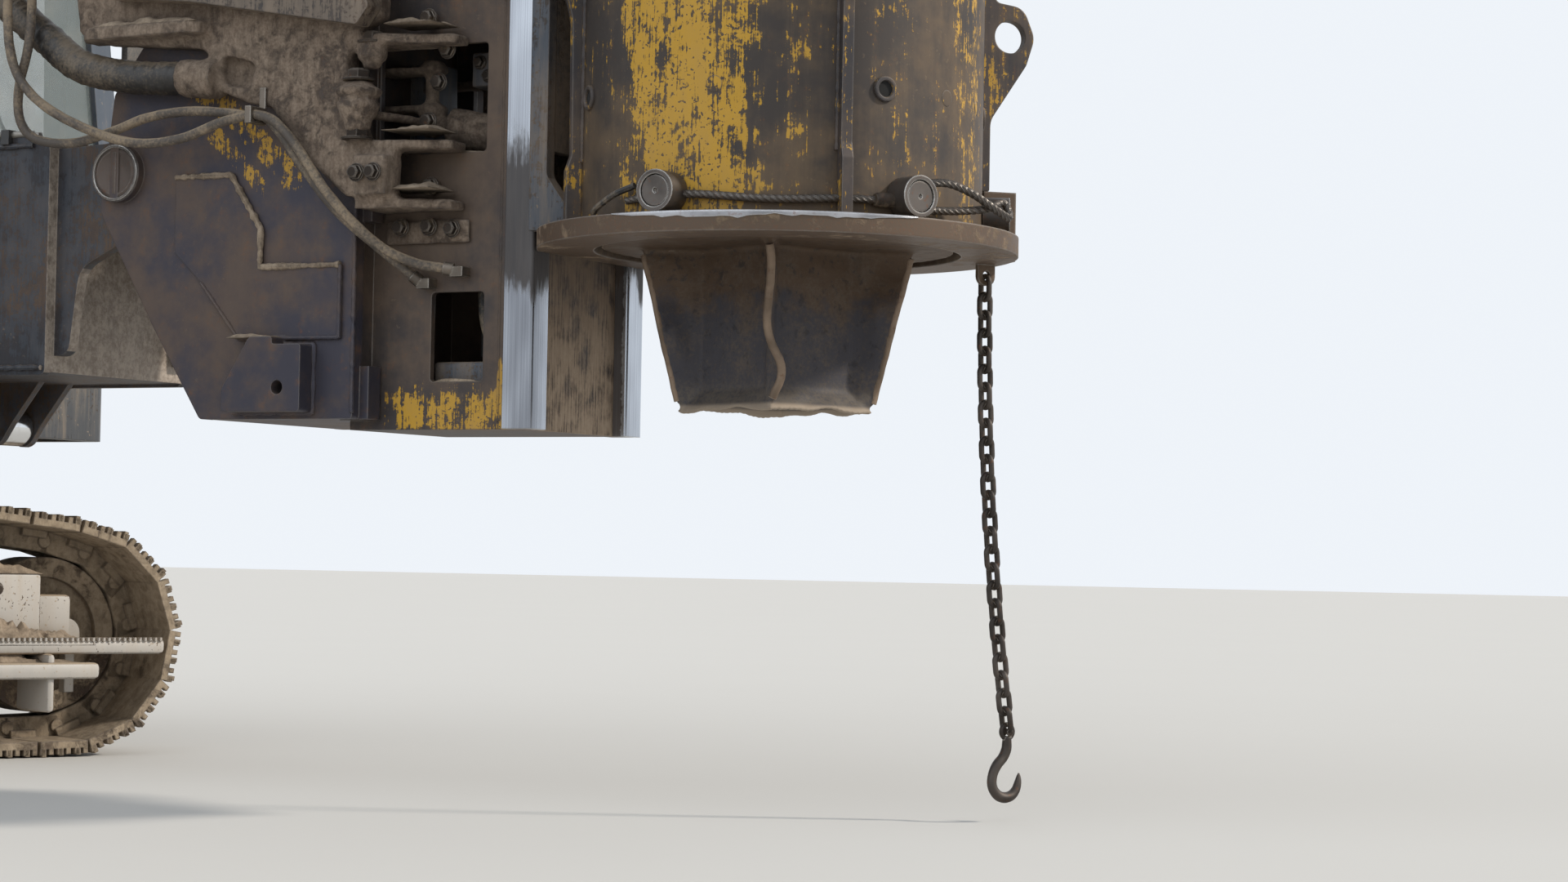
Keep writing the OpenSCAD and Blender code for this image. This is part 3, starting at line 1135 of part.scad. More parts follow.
module head_sheaves() {
  z = leader_top_z + head_h;
  color("gold") rig() for (p = [[back_sheave_x, z - 330], [front_sheave_x, z - 250]]) {
    for (y = [-80, 80]) translate([p[0], y, p[1]]) sheave(sheave_r, 32);
    cross_pin(p[0], p[1], sheave_pin_r, -215, -112 - fit);
    cross_pin(p[0], p[1], sheave_pin_r, -48 + fit, 48 - fit);
    cross_pin(p[0], p[1], sheave_pin_r, 112 + fit, 215);
  }
}
module winch_frame() {
  x0 = winch_x - 330;
  x1 = leader_back_x - fit;
  color("slategray") rig() difference() {
    union() {
      for (z = [winch_low_z, winch_high_z]) {
        both_sides() side_plate([[x1, z - 330, 20], [x1, z + 330, 20], [x0 + 160, z + 330, 120],
          [x0, z + 120, 100], [x0, z - 120, 100], [x0 + 160, z - 330, 120]], drum_half + 16,
          drum_half + 46);
        box(x1 - 40, x1, -drum_half - 30, drum_half + 30, z - 330, z + 330);
        cross_pin(winch_x, z, 120, drum_half + 44, drum_half + 106);
      }
    }
    for (z = [winch_low_z, winch_high_z]) cross_pin(winch_x, z, 50 + fit, -drum_half - 200,
      drum_half + 20);
  }
}
module drum() {
  cross_pin(0, 0, drum_r, -drum_half + 20, drum_half - 20);
  both_sides() cross_pin(0, 0, drum_flange_r, drum_half - 22, drum_half);
  cross_pin(0, 0, 50, -drum_half - 60, drum_half + 10);
  for (i = [-3:3]) cross_pin(0, 0, drum_r + 16, i * 42 - 16, i * 42 + 16);
}
module winch_drum_low() { color("gold") rig() translate([winch_x, 0, winch_low_z]) drum(); }
module winch_drum_high() { color("gold") rig() translate([winch_x, 0, winch_high_z]) drum(); }

// Hammer
module on_pile() { rig() translate([pile_reach, 0, 0]) children(); }
module hammer_sleeve() {
  color("gold") on_pile() difference() {
    ring(sleeve_r, sleeve_r - sleeve_wall, flange_top + fit, sleeve_top);
    for (a = [-10, -80, 10, 80]) rotate([0, 0, a]) translate([0, 0, flange_top + 340]) rotate([0, 90, 0])
      cylinder(r = 20, h = sleeve_r + 100);
  }
}
module hammer_flange() {
  color("dimgray") on_pile() {
    difference() {
      union() {
        disc(flange_r, flange_z, flange_t);
        // lug that holds the sling's end and the chain
        rotate([0, 0, 45]) box(flange_r - 70, flange_r + 26, -34, 34, flange_z + 8, flange_top + 150);
      }
      disc(mouth_r, flange_z - 1, flange_t + 2);
      // the rear of the flange is cut back clear of the leader's rails
      box(-flange_r - 10, -leader_gap + run, -flange_r, flange_r, flange_z - 5, flange_top + 5);
    }
    // eye plate for the chain
    at_chain() difference() {
      side_plate([[-30, -28, 26], [30, -28, 26], [30, 42], [-30, 42]], -6, 6);
      cross_pin(0, 0, 13, -30, 30);
    }
  }
}
module hammer_ribs() {
  r0 = sleeve_r + fit;
  r1 = sleeve_r + 54;
  z = flange_top;
  top = sleeve_top - 40;
  color("gold") on_pile() {
    for (a = rib_turns) if (a != 45) rotate([0, 0, a])
      side_plate([[r0, z + fit], [r1 - 10, z + fit, 6], [r1 - 10, z + 150, 6], [r1 - 24, z + 190, 20],
        [r1 - 20, z + 560, 200], [r1 + 44, z + 800, 120], [r1 + 44, top, 20], [r0, top]], -15, 15);
    rotate([0, 0, 45]) difference() {
      side_plate([[r0, z + 152], [r1, z + 152, 6], [r1, ear_z - 240, 60], [ear_r + 50, ear_z - 78, 50],
        [ear_r + 74, ear_z, 60], [ear_r + 40, ear_z + 84, 50], [r1 + 10, ear_z + 96, 20],
        [r1 + 10, top, 10], [r0, top]], -17, 17);
      cross_pin(ear_r, ear_z, ear_hole_r, -60, 60);
    }
    difference() {
      ring(r1 + 30, r0, sleeve_top - 39, sleeve_top);
      box(-flange_r - 50, -leader_gap + run + 135, -guide_half - 4, guide_half + 4, sleeve_top - 60,
        sleeve_top + 10);
    }
  }
}
// Guide frame behind the sleeve, with the claws that run on the leader's rails
module hammer_guides() {
  x0 = -leader_gap + fit;
  claw_in = leader_w / 2 + fit;
  claw_out = claw_in + 36;
  color("dimgray") on_pile() difference() {
    union() {
      both_sides() {
        side_plate([[x0 + run, flange_top + fit], [x0 + 130, flange_top + fit, 8],
          [x0 + 130, flange_top + 60, 40], [x0 + 62, flange_top + 150, 40],
          [x0 + 62, upper_top - 200, 40], [x0 + run, upper_top - 200, 10]], 305, 345);
        side_plate([[x0 + 30, flange_top + 220], [x0 + 60, flange_top + 220], [x0 + 60, upper_top - 260],
          [x0 + 30, upper_top - 260]], 20, 330);
      }
      // shoes that hold the rails from the front, the flank and behind
      for (z = [sleeve_top - 520, upper_top - 900]) both_sides() {
        box(x0 - rail_d - 2 * fit - 36, x0 + 12, claw_in, claw_out, z, z + 420);
        box(x0 - rail_d - 2 * fit - 36, x0 - rail_d - 2 * fit, leader_box_w / 2 + 5 + run + 4,
          claw_in + 2, z, z + 420);
        box(x0, x0 + 40, 180, claw_out, z, z + 420);
      }
    }
    disc(sleeve_r + fit, flange_z, sleeve_top - flange_z);
    disc(sleeve_r + 40 + fit, sleeve_top - 1, 62);
    disc(sleeve_r - 18, sleeve_top - 100, upper_case_h + 200);
  }
}
module hammer_upper() {
  color("gold") on_pile() difference() {
    union() {
      disc(sleeve_r + 40, sleeve_top + fit, 60);
      translate([0, 0, sleeve_top + 50]) cylinder(r1 = sleeve_r - 20, r2 = upper_case_r, h = 320,
        $fn = 96);
      translate([0, 0, sleeve_top + 360]) cylinder(r = upper_case_r, h = upper_case_h - 420, $fn = 96);
      disc(upper_case_r + 60, upper_top - 70, 70);
      for (a = [0:60:300]) rotate([0, 0, a + 30]) side_plate([[upper_case_r - 10, sleeve_top + 350],
        [upper_case_r + 30, sleeve_top + 400, 10], [upper_case_r + 30, upper_top - 60],
        [upper_case_r - 10, upper_top - 60]], -12, 12);
    }
    disc(upper_case_r - 30, sleeve_top - 5, upper_case_h + 20);
    box(-leader_gap - 100, -leader_gap + run, -700, 700, sleeve_top, upper_top + 10);
    for (a = [-30, 30]) for (z = [0, 1]) rotate([0, 0, a]) box(upper_case_r - 80, upper_case_r + 80, -70,
      70, sleeve_top + 620 + z * 860, sleeve_top + 1260 + z * 860);
  }
}
module hammer_ram() {
  color("dimgray") on_pile() translate([0, 0, anvil_top + fit]) cylinder(r = ram_r, h = 2300);
}
module hammer_head() {
  z = upper_top + fit;
  color("steelblue") on_pile() {
    floor_plate([[-330, -330, 60], [330, -330, 60], [330, 330, 60], [-330, 330, 60]], z, z + 360);
    for (p = [[-150, 190], [-150, -190], [170, 190]]) stack(p[0], p[1],
      [[90, z + 355, z + 860], [60, z + 855, z + 930]]);
    both_sides() difference() {
      side_plate([[90, z + 358], [320, z + 358], [280, z + 700, 64], [130, z + 700, 64]], 30, 70);
      cross_pin(205, z + 600, 42, 0, 100);
    }
  }
}
module sling_pins() {
  color("silver") on_pile() for (a = sling_turns) rotate([0, 0, a]) translate([0, 0,
    flange_top + sling_boss_r + 4]) rotate([0, 90, 0]) {
    difference() {
      translate([0, 0, sleeve_r + fit]) cylinder(r = sling_boss_r, h = 76);
      translate([0, 0, sleeve_r + 62]) cylinder(r = sling_pin_r + 3, h = 20);
    }
    difference() {
      translate([0, 0, sleeve_r + 61]) cylinder(r = sling_pin_r, h = 12);
      translate([0, 0, sleeve_r + 66]) cylinder(r = 6, h = 20);
    }
  }
}

// Helmet: round anvil plate over a square socket, with corner gussets and a flared mouth
module helmet() {
  s = socket_side / 2;
  p = pile_side / 2;
  reach_top = 372;
  reach_low = 270;
  neck_r = mouth_r - 20;
  color("rosybrown") on_pile() rotate([0, 0, helmet_turn]) difference() {
    union() {
      // anvil disc, carried by the flange's lip, over the neck that passes the mouth
      translate([0, 0, flange_top + fit]) cylinder(r = anvil_r, h = anvil_top - flange_top - fit,
        $fn = 96);
      disc(neck_r, socket_high, flange_top - socket_high + 2);
      box(-s, s, -s, s, helmet_z + 34, socket_high + 2);
      for (a = [45, 135, 225, 315]) rotate([0, 0, a]) side_plate([[s, helmet_z + 20],
        [reach_low, helmet_z + 24, 8], [reach_top, socket_high + 2], [s, socket_high + 2]], -11, 11);
      funnel(s);
    }
    box(-p, p, -p, p, helmet_z - 60, socket_high - 60);
    funnel(p);
  }
}
// A square frustum whose lower mouth is wider by its flare
module funnel(half) {
  flare = 44;
  polyhedron(points = [[-half - flare, -half - flare, helmet_z], [half + flare, -half - flare, helmet_z],
    [half + flare, half + flare, helmet_z], [-half - flare, half + flare, helmet_z],
    [-half, -half, helmet_z + 60], [half, -half, helmet_z + 60], [half, half, helmet_z + 60],
    [-half, half, helmet_z + 60]], faces = [[0, 1, 2, 3], [7, 6, 5, 4], [0, 4, 5, 1], [1, 5, 6, 2],
    [2, 6, 7, 3], [3, 7, 4, 0]]);
}

// Chain and hook below the flange's lug. Each link is turned a quarter from the one above it.
function drift(t) = chain_drift * t * t;
module at_chain() {
  rotate([0, 0, 45]) translate([chain_r, 0, chain_top_z]) rotate([0, 0, chain_turn - 45]) children();
}
module link(w, l, r) {
  n = 4;
  bends = [for (k = [0:n]) [w * cos(180 * k / n), l + w * sin(180 * k / n)],
    for (k = [0:n]) [w * cos(180 + 180 * k / n), -l + w * sin(180 + 180 * k / n)]];
  c = len(bends);
  rings = [for (q = bends) let (d = unit(q - [0, q[1] > 0 ? l : -l])) for (a = [45:90:315]) [q[0]
    + d[0] * r * cos(a), r * sin(a), q[1] + d[1] * r * cos(a)]];
  polyhedron(points = rings, faces = [for (i = [0:c - 1]) for (k = [0:3]) [i * 4 + k,
    ((i + 1) % c) * 4 + k, ((i + 1) % c) * 4 + (k + 1) % 4, i * 4 + (k + 1) % 4]]);
}
module chain() {
  color("dimgray") on_pile() at_chain() for (i = [0:link_count - 1]) {
    t = (i + 0.5) / link_count;
    translate([drift(t), 0, -link_seat - link_reach - link_pitch * i]) rotate([0,
      -atan(2 * chain_drift * t / chain_l), 0])
      rotate([0, 0, 90 * ((i + 1) % 2)]) link(link_half_w, link_straight, link_wire * 0.6);
  }
}
module hook() {
  o = [-6, -hook_drop];
  color("dimgray") on_pile() at_chain() translate([drift(1), 0,
    -chain_l - 1.5 * link_seat]) difference() {
    union() {
      translate([0, 13, 0]) rotate([90, 0, 0]) linear_extrude(26) polygon(concat([for (a = [150:20:370])
        o + (hook_bowl_r + 25 + 9 * sin(a - 150)) * [cos(a), sin(a)]],
        [for (a = [370:-20:190]) o + hook_bowl_r * [cos(a), sin(a)]],
        [[-34, -112], [2, -76], [16, -44], [16, -20], [-16, -20], [-18, -58], [-48, -84]]));
      side_plate([[-18, -40, 6], [18, -40, 6], [18, 18, 17], [-18, 18, 17]], -6, 6);
    }
    cross_pin(0, 0, 12, -40, 40);
  }
}

car_body();
track_frames();
track_rollers();
idlers();
sprockets();
track_left();
track_right();
slew_ring();
deck();
counterweight();
engine_hood();
hood_door_left();
hood_door_right();
engine();
exhaust();
cab_shell();
cab_glass();
cab_door();
door_glass();
operator_seat();
tank_box();
handrails();
work_lamps();
arm();
lift_barrels();
lift_rods();
backstay_barrels();
backstay_rods();
foot_bracket();
swivel_knuckles();
hose_clamp();
hose_front();
hose_rear();
hose_sleeved();
carriage_frame();
leader_box();
guide_rails();
leader_head();
head_sheaves();
winch_frame();
winch_drum_low();
winch_drum_high();
hammer_sleeve();
hammer_flange();
hammer_ribs();
hammer_guides();
hammer_upper();
hammer_ram();
hammer_head();
sling_pins();
helmet();
chain();
hook();
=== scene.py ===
"""Looks of the pile driver rig: finishes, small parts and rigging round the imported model."""

import logging
import math
from collections.abc import Callable, Iterable, Mapping, Sequence
from dataclasses import dataclass
from enum import Enum
from typing import Any, NamedTuple

import bmesh
import bpy
from mathutils import Matrix, Quaternion, Vector, noise


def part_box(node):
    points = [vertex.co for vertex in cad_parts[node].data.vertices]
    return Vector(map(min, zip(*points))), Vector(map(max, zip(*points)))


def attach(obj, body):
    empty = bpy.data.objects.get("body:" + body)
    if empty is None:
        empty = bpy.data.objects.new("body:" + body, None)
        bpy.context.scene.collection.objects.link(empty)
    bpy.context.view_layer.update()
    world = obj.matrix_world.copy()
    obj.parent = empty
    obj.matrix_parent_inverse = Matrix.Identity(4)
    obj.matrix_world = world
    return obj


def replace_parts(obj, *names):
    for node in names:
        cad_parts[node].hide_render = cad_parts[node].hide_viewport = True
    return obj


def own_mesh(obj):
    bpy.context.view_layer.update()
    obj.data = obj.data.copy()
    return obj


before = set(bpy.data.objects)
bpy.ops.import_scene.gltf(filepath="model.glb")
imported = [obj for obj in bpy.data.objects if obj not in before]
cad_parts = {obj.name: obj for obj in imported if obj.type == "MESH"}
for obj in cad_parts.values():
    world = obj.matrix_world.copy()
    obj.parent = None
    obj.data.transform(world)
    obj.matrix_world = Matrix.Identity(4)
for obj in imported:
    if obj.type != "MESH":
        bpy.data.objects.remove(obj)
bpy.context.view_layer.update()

log = logging.getLogger("rig")
Colour = tuple[float, float, float]
Point = tuple[float, float, float]


# Places that several assemblies share, in metres, and the seed of the worn surfaces
def middle(node: str) -> Vector:
    """Returns the middle of a node's box."""
    low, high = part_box(node)
    return (low + high) / 2


PILE_X: float = middle("hammer_sleeve").x
SLEW_X: float = middle("slew_ring").x
UNDER_TURN: float = math.radians(67)
NOISE_SEED: int = 7


# Node trees
class Value:
    """A number's or colour's socket, on which maths is written as Python expressions."""

    def __init__(self, tree: "Tree", socket: bpy.types.NodeSocket) -> None:
        """Wraps one output socket.

        Args:
            tree: The tree that the socket's node is in.
            socket: The output socket.
        """
        self.tree = tree
        self.socket = socket

    def maths(self, operation: str, *others: Any) -> "Value":
        """Returns a Math node's result on this value and the others."""
        return self.tree.value("ShaderNodeMath", {"operation": operation}, dict(enumerate((self, *others))))

    def __add__(self, other: Any) -> "Value":
        """Returns the sum."""
        return self.maths("ADD", other)

    __radd__ = __add__

    def __sub__(self, other: Any) -> "Value":
        """Returns the difference."""
        return self.maths("SUBTRACT", other)

    def __rsub__(self, other: Any) -> "Value":
        """Returns the other less this."""
        return self.tree.value("ShaderNodeMath", {"operation": "SUBTRACT"}, {0: other, 1: self})

    def __mul__(self, other: Any) -> "Value":
        """Returns the product."""
        return self.maths("MULTIPLY", other)

    __rmul__ = __mul__

    def __truediv__(self, other: Any) -> "Value":
        """Returns the quotient."""
        return self.maths("DIVIDE", other)

    def __abs__(self) -> "Value":
        """Returns the size without its sign."""
        return self.maths("ABSOLUTE")

    def top(self, other: Any) -> "Value":
        """Returns the greater of the two."""
        return self.maths("MAXIMUM", other)

    def low(self, other: Any) -> "Value":
        """Returns the lesser of the two."""
        return self.maths("MINIMUM", other)

    def step(self, start: float, end: float) -> "Value":
        """Returns a smooth rise from 0 at start to 1 at end, or a fall where start is the higher."""
        if start <= end:
            return self.tree.value("ShaderNodeMapRange", {"interpolation_type": "SMOOTHSTEP"},
                                   {"Value": self, "From Min": start, "From Max": end})
        return self.tree.value("ShaderNodeMapRange", {"interpolation_type": "SMOOTHSTEP"},
                               {"Value": self, "From Min": end, "From Max": start, "To Min": 1.0,
                                "To Max": 0.0})


class Tree:
    """Adds nodes to one node tree."""

    def __init__(self, tree: bpy.types.NodeTree) -> None:
        """Wraps a tree and empties it."""
        self.tree = tree
        tree.nodes.clear()

    def add(self, kind: str, settings: Mapping[str, Any] | None = None,
            sockets: Mapping[str | int, Any] | None = None) -> bpy.types.Node:
        """Adds one node.

        Args:
            kind: The node's type.
            settings: Its properties, set first. "stops" holds a ramp's (place, colour) pairs.
            sockets: What its inputs hold, a value or a link, by name or number.

        Returns:
            The node.
        """
        node = self.tree.nodes.new(kind)
        for key, setting in (settings or {}).items():
            if key == "stops":
                elements = node.color_ramp.elements
                while len(elements) < len(setting):
                    elements.new(0.5)
                for element, (place, colour) in zip(elements, setting):
                    element.position = place
                    element.color = (*colour, 1.0)
            else:
                setattr(node, key, setting)
        for key, given in (sockets or {}).items():
            socket = node.inputs[key]
            if isinstance(given, Value):
                self.tree.links.new(given.socket, socket)
            elif isinstance(given, tuple) and len(given) == 3 and socket.type == "RGBA":
                socket.default_value = (*given, 1.0)
            else:
                socket.default_value = given
        return node

    def value(self, kind: str, settings: Mapping[str, Any] | None = None,
              sockets: Mapping[str | int, Any] | None = None, out: str | int = 0) -> Value:
        """Adds one node and returns one of its outputs."""
        return Value(self, self.add(kind, settings, sockets).outputs[out])


class Shader(Tree):
    """One material's tree, with the textures and masks that the finishes share."""

    def __init__(self, name: str) -> None:
        """Starts an empty material.

        Args:
            name: The material's name.
        """
        self.material = bpy.data.materials.new(name)
        self.material.use_nodes = True
        super().__init__(self.material.node_tree)
        self.place = self.value("ShaderNodeTexCoord", out="Object")
        self.edge_normal: Value | None = None

    def xyz(self) -> tuple[Value, Value, Value]:
        """Returns the three coordinates in the rig's frame, in metres."""
        node = self.add("ShaderNodeSeparateXYZ", sockets={0: self.place})
        return Value(self, node.outputs[0]), Value(self, node.outputs[1]), Value(self, node.outputs[2])

    def stretched(self, scale: Point, turn: Point = (0.0, 0.0, 0.0)) -> Value:
        """Returns the coordinates scaled by axis, for streaks and scratches."""
        return self.value("ShaderNodeMapping",
                          sockets={"Vector": self.place, "Scale": scale, "Rotation": turn})

    def noise(self, scale: float, detail: float = 4.0, rough: float = 0.55, along: Value | None = None,
              bend: float = 0.0) -> Value:
        """Returns a noise texture's value.

        Args:
            scale: Bumps per metre.
            detail: Octaves.
            rough: Share of each finer octave.
            along: Coordinates, if not the plain ones.
            bend: Distortion.

        Returns:
            A value round 0.5.
        """
        return self.value("ShaderNodeTexNoise", sockets={"Vector": along or self.place, "Scale": scale,
                                                         "Detail": detail, "Roughness": rough,
                                                         "Distortion": bend})

    def edges(self, radius: float) -> Value:
        """Returns a mask that is 1 along sharp edges, and keeps the rounded normal for the bump.

        Args:
            radius: Width of the band, in metres.

        Returns:
            The mask.
        """
        node = self.add("ShaderNodeBevel", {"samples": 4}, {"Radius": radius})
        self.edge_normal = Value(self, node.outputs[0])
        plain = self.value("ShaderNodeNewGeometry", out="Normal")
        same = self.value("ShaderNodeVectorMath", {"operation": "DOT_PRODUCT"},
                          {0: self.edge_normal, 1: plain}, "Value")
        return (1.0 - same).step(0.01, 0.2)

    def hollows(self, reach: float) -> Value:
        """Returns a mask that is 1 in corners and behind things within a reach in metres."""
        shut = self.value("ShaderNodeAmbientOcclusion", {"samples": 4}, {"Distance": reach}, "AO")
        return (1.0 - shut).step(0.25, 0.8)

    def facing(self, axis: int) -> Value:
        """Returns how far faces point along the x, y or z axis, from -1 to 1."""
        normal = self.value("ShaderNodeNewGeometry", out="Normal")
        return Value(self, self.add("ShaderNodeSeparateXYZ", sockets={0: normal}).outputs[axis])

    def facing_up(self) -> Value:
        """Returns a mask that is 1 on level top faces."""
        return self.facing(2).step(0.35, 0.85)

    def mix(self, share: Any, first: Any, second: Any) -> Value:
        """Returns a blend of two colours.

        Args:
            share: How much of the second.
            first: A colour or its socket.
            second: A colour or its socket.

        Returns:
            The blended colour.
        """
        def full(colour: Any) -> Any:
            """Returns a plain colour with its alpha."""
            return (*colour, 1.0) if isinstance(colour, tuple) else colour
        node = self.add("ShaderNodeMix", {"data_type": "RGBA"}, {0: share, 6: full(first), 7: full(second)})
        return Value(self, node.outputs[2])

    def finish(self, colour: Any, rough: Any, metal: Any = 0.0, height: Value | None = None,
               depth: float = 0.002, strength: float = 0.5, **sockets: Any) -> bpy.types.Material:
        """Closes the tree with its shader and bump.

        Args:
            colour: Base colour.
            rough: Roughness.
            metal: Metallic share.
            height: What the bump reads, 0 to 1.
            depth: The bump's height, in metres.
            strength: The bump's strength.
            sockets: Plain values of the shader's other inputs, with _ for a space.

        Returns:
            The material.
        """
        given: dict[str, Any] = {"Base Color": colour, "Roughness": rough, "Metallic": metal}
        given.update({key.replace("_", " "): value for key, value in sockets.items()})
        if height is not None:
            bump = {"Height": height, "Distance": depth, "Strength": strength}
            if self.edge_normal is not None:
                bump["Normal"] = self.edge_normal
            given["Normal"] = self.value("ShaderNodeBump", sockets=bump)
        elif self.edge_normal is not None:
            given["Normal"] = self.edge_normal
        shader = self.value("ShaderNodeBsdfPrincipled", sockets=given)
        self.add("ShaderNodeOutputMaterial", sockets={"Surface": shader})
        return self.material


# Finishes
MUD: Colour = (0.33, 0.255, 0.175)
DRY_MUD: Colour = (0.43, 0.345, 0.25)
DARK_STEEL: Colour = (0.034, 0.028, 0.026)
BROWN_STEEL: Colour = (0.075, 0.052, 0.038)
RUST: Colour = (0.16, 0.062, 0.026)
YELLOW: Colour = (0.61, 0.335, 0.014)
OCHRE: Colour = (0.2, 0.145, 0.09)


def tinted(colour: Colour, share: float) -> Colour:
    """Returns a colour made darker or lighter by a share."""
    return tuple(c * share for c in colour)


class Patch(Enum):
    """Where a worn paint still sits."""

    EVERYWHERE = "everywhere"
    SLEEVE = "sleeve"
    BRACKET = "bracket"
    LEADER = "leader"
    ARM = "arm"


@dataclass(frozen=True)
class WornPaint:
    """Paint over steel, scratched through, rusty in places and dusty on top.

    Args:
        paint: The paint's colour.
        worn: Share of the paint that is gone.
        bare: Main colour of the steel beneath.
        bare_other: The steel's second colour.
        mud: Amount of mud in corners and on top faces.
        patch: Where the paint sits.
        gloss: Roughness of the sound paint.
        dust: Share of dust over all.
        depth: Height of the bump, in metres.
        edge: Width of the worn edges, in metres.
        soil: Colour of the dust and mud on it.
        run: How far its stains run down, 0 for clouds and 1 for streaks.
    """

    paint: Colour
    worn: float = 0.2
    bare: Colour = DARK_STEEL
    bare_other: Colour = BROWN_STEEL
    mud: float = 0.5
    patch: Patch = Patch.EVERYWHERE
    gloss: float = 0.42
    dust: float = 0.25
    depth: float = 0.0012
    edge: float = 0.006
    soil: Colour = MUD
    run: float = 1.0

    def cover(self, s: Shader) -> Value | None:
        """Returns where paint may sit at all, or None for everywhere."""
        if self.patch in (Patch.EVERYWHERE, Patch.ARM):
            return None
        x, y, z = s.xyz()
        ragged = (s.noise(5.0, 6.0, 0.7, s.stretched((1.0, 1.0, 0.35))) - 0.5) * 1.0
        if self.patch is Patch.SLEEVE:
            turn = s.value("ShaderNodeMath", {"operation": "ARCTAN2"}, {0: y, 1: x - PILE_X})
            main = (abs(turn + math.radians(88)) + ragged * 0.5).step(0.74, 0.26)
            port = (abs(turn - math.radians(92)) + ragged * 0.7).step(0.7, 0.2)
            front = (abs(turn - math.radians(4)) + ragged * 0.8).step(0.5, 0.02) * 0.86
            return main.top(port * 0.95).top(front).top(ragged * 0.3 + 0.74)
        if self.patch is Patch.BRACKET:
            def band(x0: float, z0: float, x1: float, z1: float, half: float) -> Value:
                """Returns a mask along a line in the side plane."""
                length = math.hypot(x1 - x0, z1 - z0)
                c, n = (x1 - x0) / length, (z1 - z0) / length
                along = (x - x0) * c + (z - z0) * n
                side = abs((z - z0) * c - (x - x0) * n + ragged * 0.05)
                return side.step(half, half * 0.4) * along.step(-0.02, 0.05) * along.step(length,
                                                                                          length - 0.1)
            return band(2.74, 2.12, 3.23, 1.72, 0.075).top(band(2.81, 1.96, 3.1, 1.7, 0.05)) * 0.97
        flank = abs(y).step(0.2425, 0.2485)
        foot = (z + ragged * 0.22).step(1.46, 1.12) * (x + ragged * 0.1).step(3.22, 3.46)
        side = (x + ragged * 0.03).step(3.74, 3.785) * (z + ragged * 0.25).step(1.62, 1.22)
        high = (s.noise(1.1, 3.0) + ragged * 0.3).step(0.56, 0.66) * z.step(2.6, 3.4)
        return (foot.top(side) * flank).top(high * 0.8)

    def material(self, name: str) -> bpy.types.Material:
        """Returns the finish as a material."""
        s = Shader(name)
        edge = s.edges(self.edge)
        hollow = s.hollows(0.12)
        grain = s.noise(46.0, 8.0, 0.72)
        streak = s.noise(1.0, 8.0, 0.68, s.stretched((26.0, 26.0, 2.2)), 0.3)
        scratch = s.noise(1.0, 6.0, 0.75, s.stretched((150.0, 150.0, 7.0)))
        broad = s.noise(2.3, 5.0, 0.6)
        lumps = s.noise(14.0, 6.0, 0.62)
        speck = s.noise(88.0, 2.0, 0.5).step(0.60, 0.66) * (broad + grain * 0.2).step(0.5, 0.62)
        hold = grain * 0.24 + streak * 0.26 + scratch * 0.26 + lumps * 0.24 - edge * 0.16 - speck * 0.09
        level = 0.5 + (self.worn - 0.5) * 0.3
        cover = self.cover(s)
        if cover is not None:
            hold = hold - (1.0 - cover) * 0.34
        paint = (hold - level).step(-0.006, 0.006)
        streak = streak * self.run + lumps * (1.0 - self.run)
        fade = (broad * 0.6 + streak * 0.4).step(0.3, 0.72)
        tone = s.mix(fade, tinted(self.paint, 0.72), self.paint)
        steel = s.mix((broad + lumps * 0.25).step(0.5, 0.74), self.bare, self.bare_other)
        rusty = (grain * 0.5 + streak * 0.5).step(0.53, 0.66) * 0.55
        steel = s.mix(rusty, steel, RUST)
        shine = (edge * (grain + 0.25)).step(0.35, 0.75)
        steel = s.mix(shine * 0.5, steel, (0.33, 0.31, 0.29))
        colour = s.mix(paint, steel, tone)
        dusting = (streak * 0.55 + broad * 0.45).step(0.42, 0.68) * self.dust
        colour = s.mix(dusting, colour, self.soil)
        caked = (s.facing_up() * (0.45 + lumps) + hollow * (0.25 + grain)).step(0.42, 0.85) * self.mud
        spatter = s.noise(75.0, 3.0, 0.5).step(0.66, 0.7) * s.noise(3.0, 2.0).step(0.4, 0.6) * self.mud
        caked = caked.top(spatter * 0.8)
        if self.patch is Patch.LEADER:
            x, _, z = s.xyz()
            front = x.step(PILE_X - 0.664, PILE_X - 0.654)
            low = front * (z + (streak - 0.5) * 0.6).step(1.6, 1.25)
            low = low * (scratch * 0.6 + lumps * 0.4).step(0.4, 0.56)
            caked = caked.top(front * (scratch * 0.5 + streak * 0.3 + lumps * 0.4).step(0.46, 0.66) * 0.85)
        colour = s.mix(caked, colour, s.mix(grain, self.soil, tinted(self.soil, 1.35)))
        if self.patch is Patch.LEADER:
            colour = s.mix(low * 0.8, colour, s.mix(grain, (0.36, 0.27, 0.19), (0.56, 0.45, 0.34)))
        # Pale mud on the arm's end face, its tone raised beyond the mud's own as painted light to make up
        # for the shade on that face.
        if self.patch is Patch.ARM:
            end = s.facing(0).step(0.7, 0.9) * s.xyz()[0].step(PILE_X - 2.35, PILE_X - 2.3)
            end = end * (lumps * 0.5 + grain * 0.5).step(0.24, 0.36)
            plate = s.mix(grain.step(0.35, 0.65), (0.3, 0.245, 0.2), (0.52, 0.44, 0.365))
            colour = s.mix(end * 0.92, colour, plate)
        rough = paint * (self.gloss - 0.47) + 0.47 + grain * 0.16 + dusting * 0.3 - shine * 0.2
        rough = (rough + caked * 0.5).low(0.97)
        metal = (1.0 - paint) * (1.0 - caked) * 0.35 + shine * 0.3
        height = paint * 0.35 + grain * 0.3 + lumps * 0.15 + caked * (0.4 + grain)
        return s.finish(colour, rough, metal.low(1.0), height, self.depth, 0.55)


